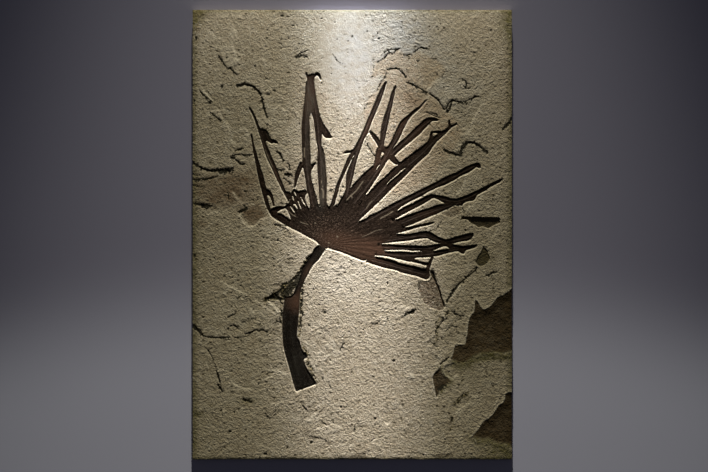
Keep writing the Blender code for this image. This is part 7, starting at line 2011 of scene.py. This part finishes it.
def plant_film(name, stalk):
    """Carbonised plant film on stone: fine fibres, crazing, and pale stone showing through the worn places."""
    g = Graph(name)
    p = g.coords()
    uv = g.uv("Grain")
    edge, pale, dark, core = g.attribute("film")
    red, grey, rib, _ = g.attribute("tone")
    fibre = g.noise(g.stretch(uv, (620.0, 42.0, 1.0)), 1.0, 3.0, 0.6, 0.2)
    strand = g.noise(g.stretch(uv, (1700.0, 90.0, 1.0)), 1.0, 2.0, 0.6)
    patch = g.noise(p, 42.0, 3.0, 0.6, 0.5)
    fleck = g.noise(g.stretch(p, (250.0, 420.0, 300.0)), 1.0, 3.0, 0.62, 0.3)
    tiny = g.noise(g.stretch(p, (800.0, 1300.0, 800.0)), 1.0, 2.0, 0.6)
    if stalk:
        c = g.mix(g.span(fibre, 0.34, 0.66), (0.0018, 0.0016, 0.0010), (0.0080, 0.0066, 0.0046))
        c = g.mix(g.span(strand, 0.52, 0.74, 0.0, 0.4), c, (0.040, 0.031, 0.024))
        blotch = g.noise(g.stretch(p, (150.0, 170.0, 150.0)), 1.0, 3.0, 0.6, 0.4)
        c = g.mix(g.span(blotch, 0.52, 0.66, 0.0, 0.60), c, (0.026, 0.026, 0.024))
        c = g.mix(g.span(tiny, 0.56, 0.66, 0.0, 0.75), c, (0.13, 0.110, 0.088))
    else:
        c = g.mix(g.span(fibre, 0.34, 0.68), FILM_DARK, FILM_LIGHT)
        c = g.mix(g.span(strand, 0.54, 0.70, 0.0, 0.55), c, (0.080, 0.055, 0.039))
        show = g.math("MULTIPLY", g.span(fleck, 0.555, 0.625), g.span(core, 0.1, 0.8, 0.22, 0.66))
        c = g.mix(show, c, (0.165, 0.118, 0.088))
        hole = g.math("MULTIPLY", g.span(tiny, 0.60, 0.70), g.span(core, 0.1, 0.9, 0.30, 0.85))
        c = g.mix(hole, c, (0.23, 0.175, 0.130))
        c = g.mix(g.span(patch, 0.50, 0.72, 0.0, 0.35), c, (0.030, 0.021, 0.016))
    c = g.mix(g.math("MULTIPLY", red, g.span(fibre, 0.25, 0.7, 0.9, 0.45)), c, (0.100, 0.054, 0.035))
    c = g.mix(g.math("MULTIPLY", grey, g.span(fibre, 0.3, 0.65, 0.15, 0.9)), c, (0.135, 0.130, 0.105))
    c = g.mix(g.math("MULTIPLY", rib, g.span(strand, 0.3, 0.7, 0.1, 0.55)), c, (0.12, 0.095, 0.080))
    c = g.mix(g.span(edge, 0.0, 0.9, 0.40, 0.0), c, (0.030, 0.020, 0.015))
    # Darker creases, and painted shadow along the stalk's upper left side.
    c = g.mix(g.math("MULTIPLY", dark, 0.90), c, (0.0060, 0.0046, 0.0036))
    c = g.mix(g.math("MULTIPLY", pale, g.span(tiny, 0.2, 0.7, 1.0, 0.55)), c, (0.29, 0.245, 0.18))
    h1 = g.math("MULTIPLY", fibre, 0.00022 if stalk else 0.00020)
    h2 = g.math("MULTIPLY", strand, 0.00010)
    h3 = g.math("MULTIPLY", fleck, 0.00016)
    h4 = g.math("MULTIPLY", tiny, 0.00005)
    g.bump(g.total(h1, h2, h3, h4), 1.0)
    rough = g.span(patch, 0.3, 0.7, 0.62, 0.80)
    return g.finish(c, rough, 0.03)


def plain(name, colour, rough):
    g = Graph(name)
    p = g.coords()
    soft = g.noise(p, 2.0, 2.0, 0.5)
    c = g.mix(g.span(soft, 0.3, 0.7), tuple(v * 0.98 for v in colour), colour)
    return g.finish(c, rough, 0.2)


# ---------------------------------------------------------------- the object
STONE_MAT = limestone()
LEAF_MAT = plant_film("leaf_film_fossil", False)
STALK_MAT = plant_film("stalk_film_fossil", True)

slab = build_slab(STONE_MAT)
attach(slab, "root")
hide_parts("stone_slab")
OBJECTS = [slab]
print("slab", len(slab.data.vertices), "points", sum(len(p.vertices) - 2 for p in slab.data.polygons), "triangles")
count = 0
for piece in SHAPES:
    film = build_film(piece, STALK_MAT if piece == "petiole" else LEAF_MAT)
    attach(film, "root")
    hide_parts(piece)
    OBJECTS.append(film)
    count += sum(len(p.vertices) - 2 for p in film.data.polygons)
print("film", count, "triangles")

# ---------------------------------------------------------------- floor, light, camera
bpy.ops.mesh.primitive_plane_add(size=12.0, location=(0, 0, 0))
floor = bpy.context.object
floor.name = "floor"
floor.data.materials.append(plain("studio_floor", FLOOR_COLOUR, 0.9))


def aim(obj, target):
    obj.rotation_euler = (Vector(target) - obj.location).to_track_quat("-Z", "Y").to_euler()


def spot(name, place, target, power, colour, angle, blend, size):
    data = bpy.data.lights.new(name, "SPOT")
    data.energy, data.color = power, colour
    data.spot_size, data.spot_blend = math.radians(angle), blend
    data.shadow_soft_size = size
    obj = bpy.data.objects.new(name, data)
    obj.location = place
    bpy.context.scene.collection.objects.link(obj)
    aim(obj, target)
    return obj


def panel(name, place, target, power, colour, w, h):
    data = bpy.data.lights.new(name, "AREA")
    data.shape, data.size, data.size_y = "RECTANGLE", w, h
    data.energy, data.color = power, colour
    obj = bpy.data.objects.new(name, data)
    obj.location = place
    bpy.context.scene.collection.objects.link(obj)
    aim(obj, target)
    return obj


# the narrow lights are shaded off the floor
lit = bpy.data.collections.new("lit_pieces")
swept = bpy.data.collections.new("lit_floor")
swept.objects.link(floor)
for obj in OBJECTS:
    lit.objects.link(obj)
for make, args in LIGHTS:
    lamp = (spot if make == "spot" else panel)(*args)
    if lamp.name.startswith("band") or lamp.name == "crest":
        lamp.light_linking.receiver_collection = lit
    elif lamp.name == "sweep":
        lamp.light_linking.receiver_collection = swept

world = bpy.data.worlds.new("studio")
world.use_nodes = True
world.node_tree.nodes["Background"].inputs[0].default_value = (*WORLD_COLOUR, 1.0)
world.node_tree.nodes["Background"].inputs[1].default_value = WORLD_LEVEL
bpy.context.scene.world = world
bpy.context.scene.view_settings.view_transform = "Standard"
bpy.context.scene.view_settings.look = "None"

cam_data = bpy.data.cameras.new("camera")
cam_data.lens, cam_data.sensor_width = 100.0, 36.0
cam_data.clip_end = 50.0
cam = bpy.data.objects.new("camera", cam_data)
cam.location = ((354.0 - MID_U) * UNIT, (MID_V - 236.0) * UNIT, SLAB_T + 708 * UNIT * 100.0 / 36.0)
cam.rotation_euler = (0, 0, 0)
bpy.context.scene.collection.objects.link(cam)
bpy.context.scene.camera = cam
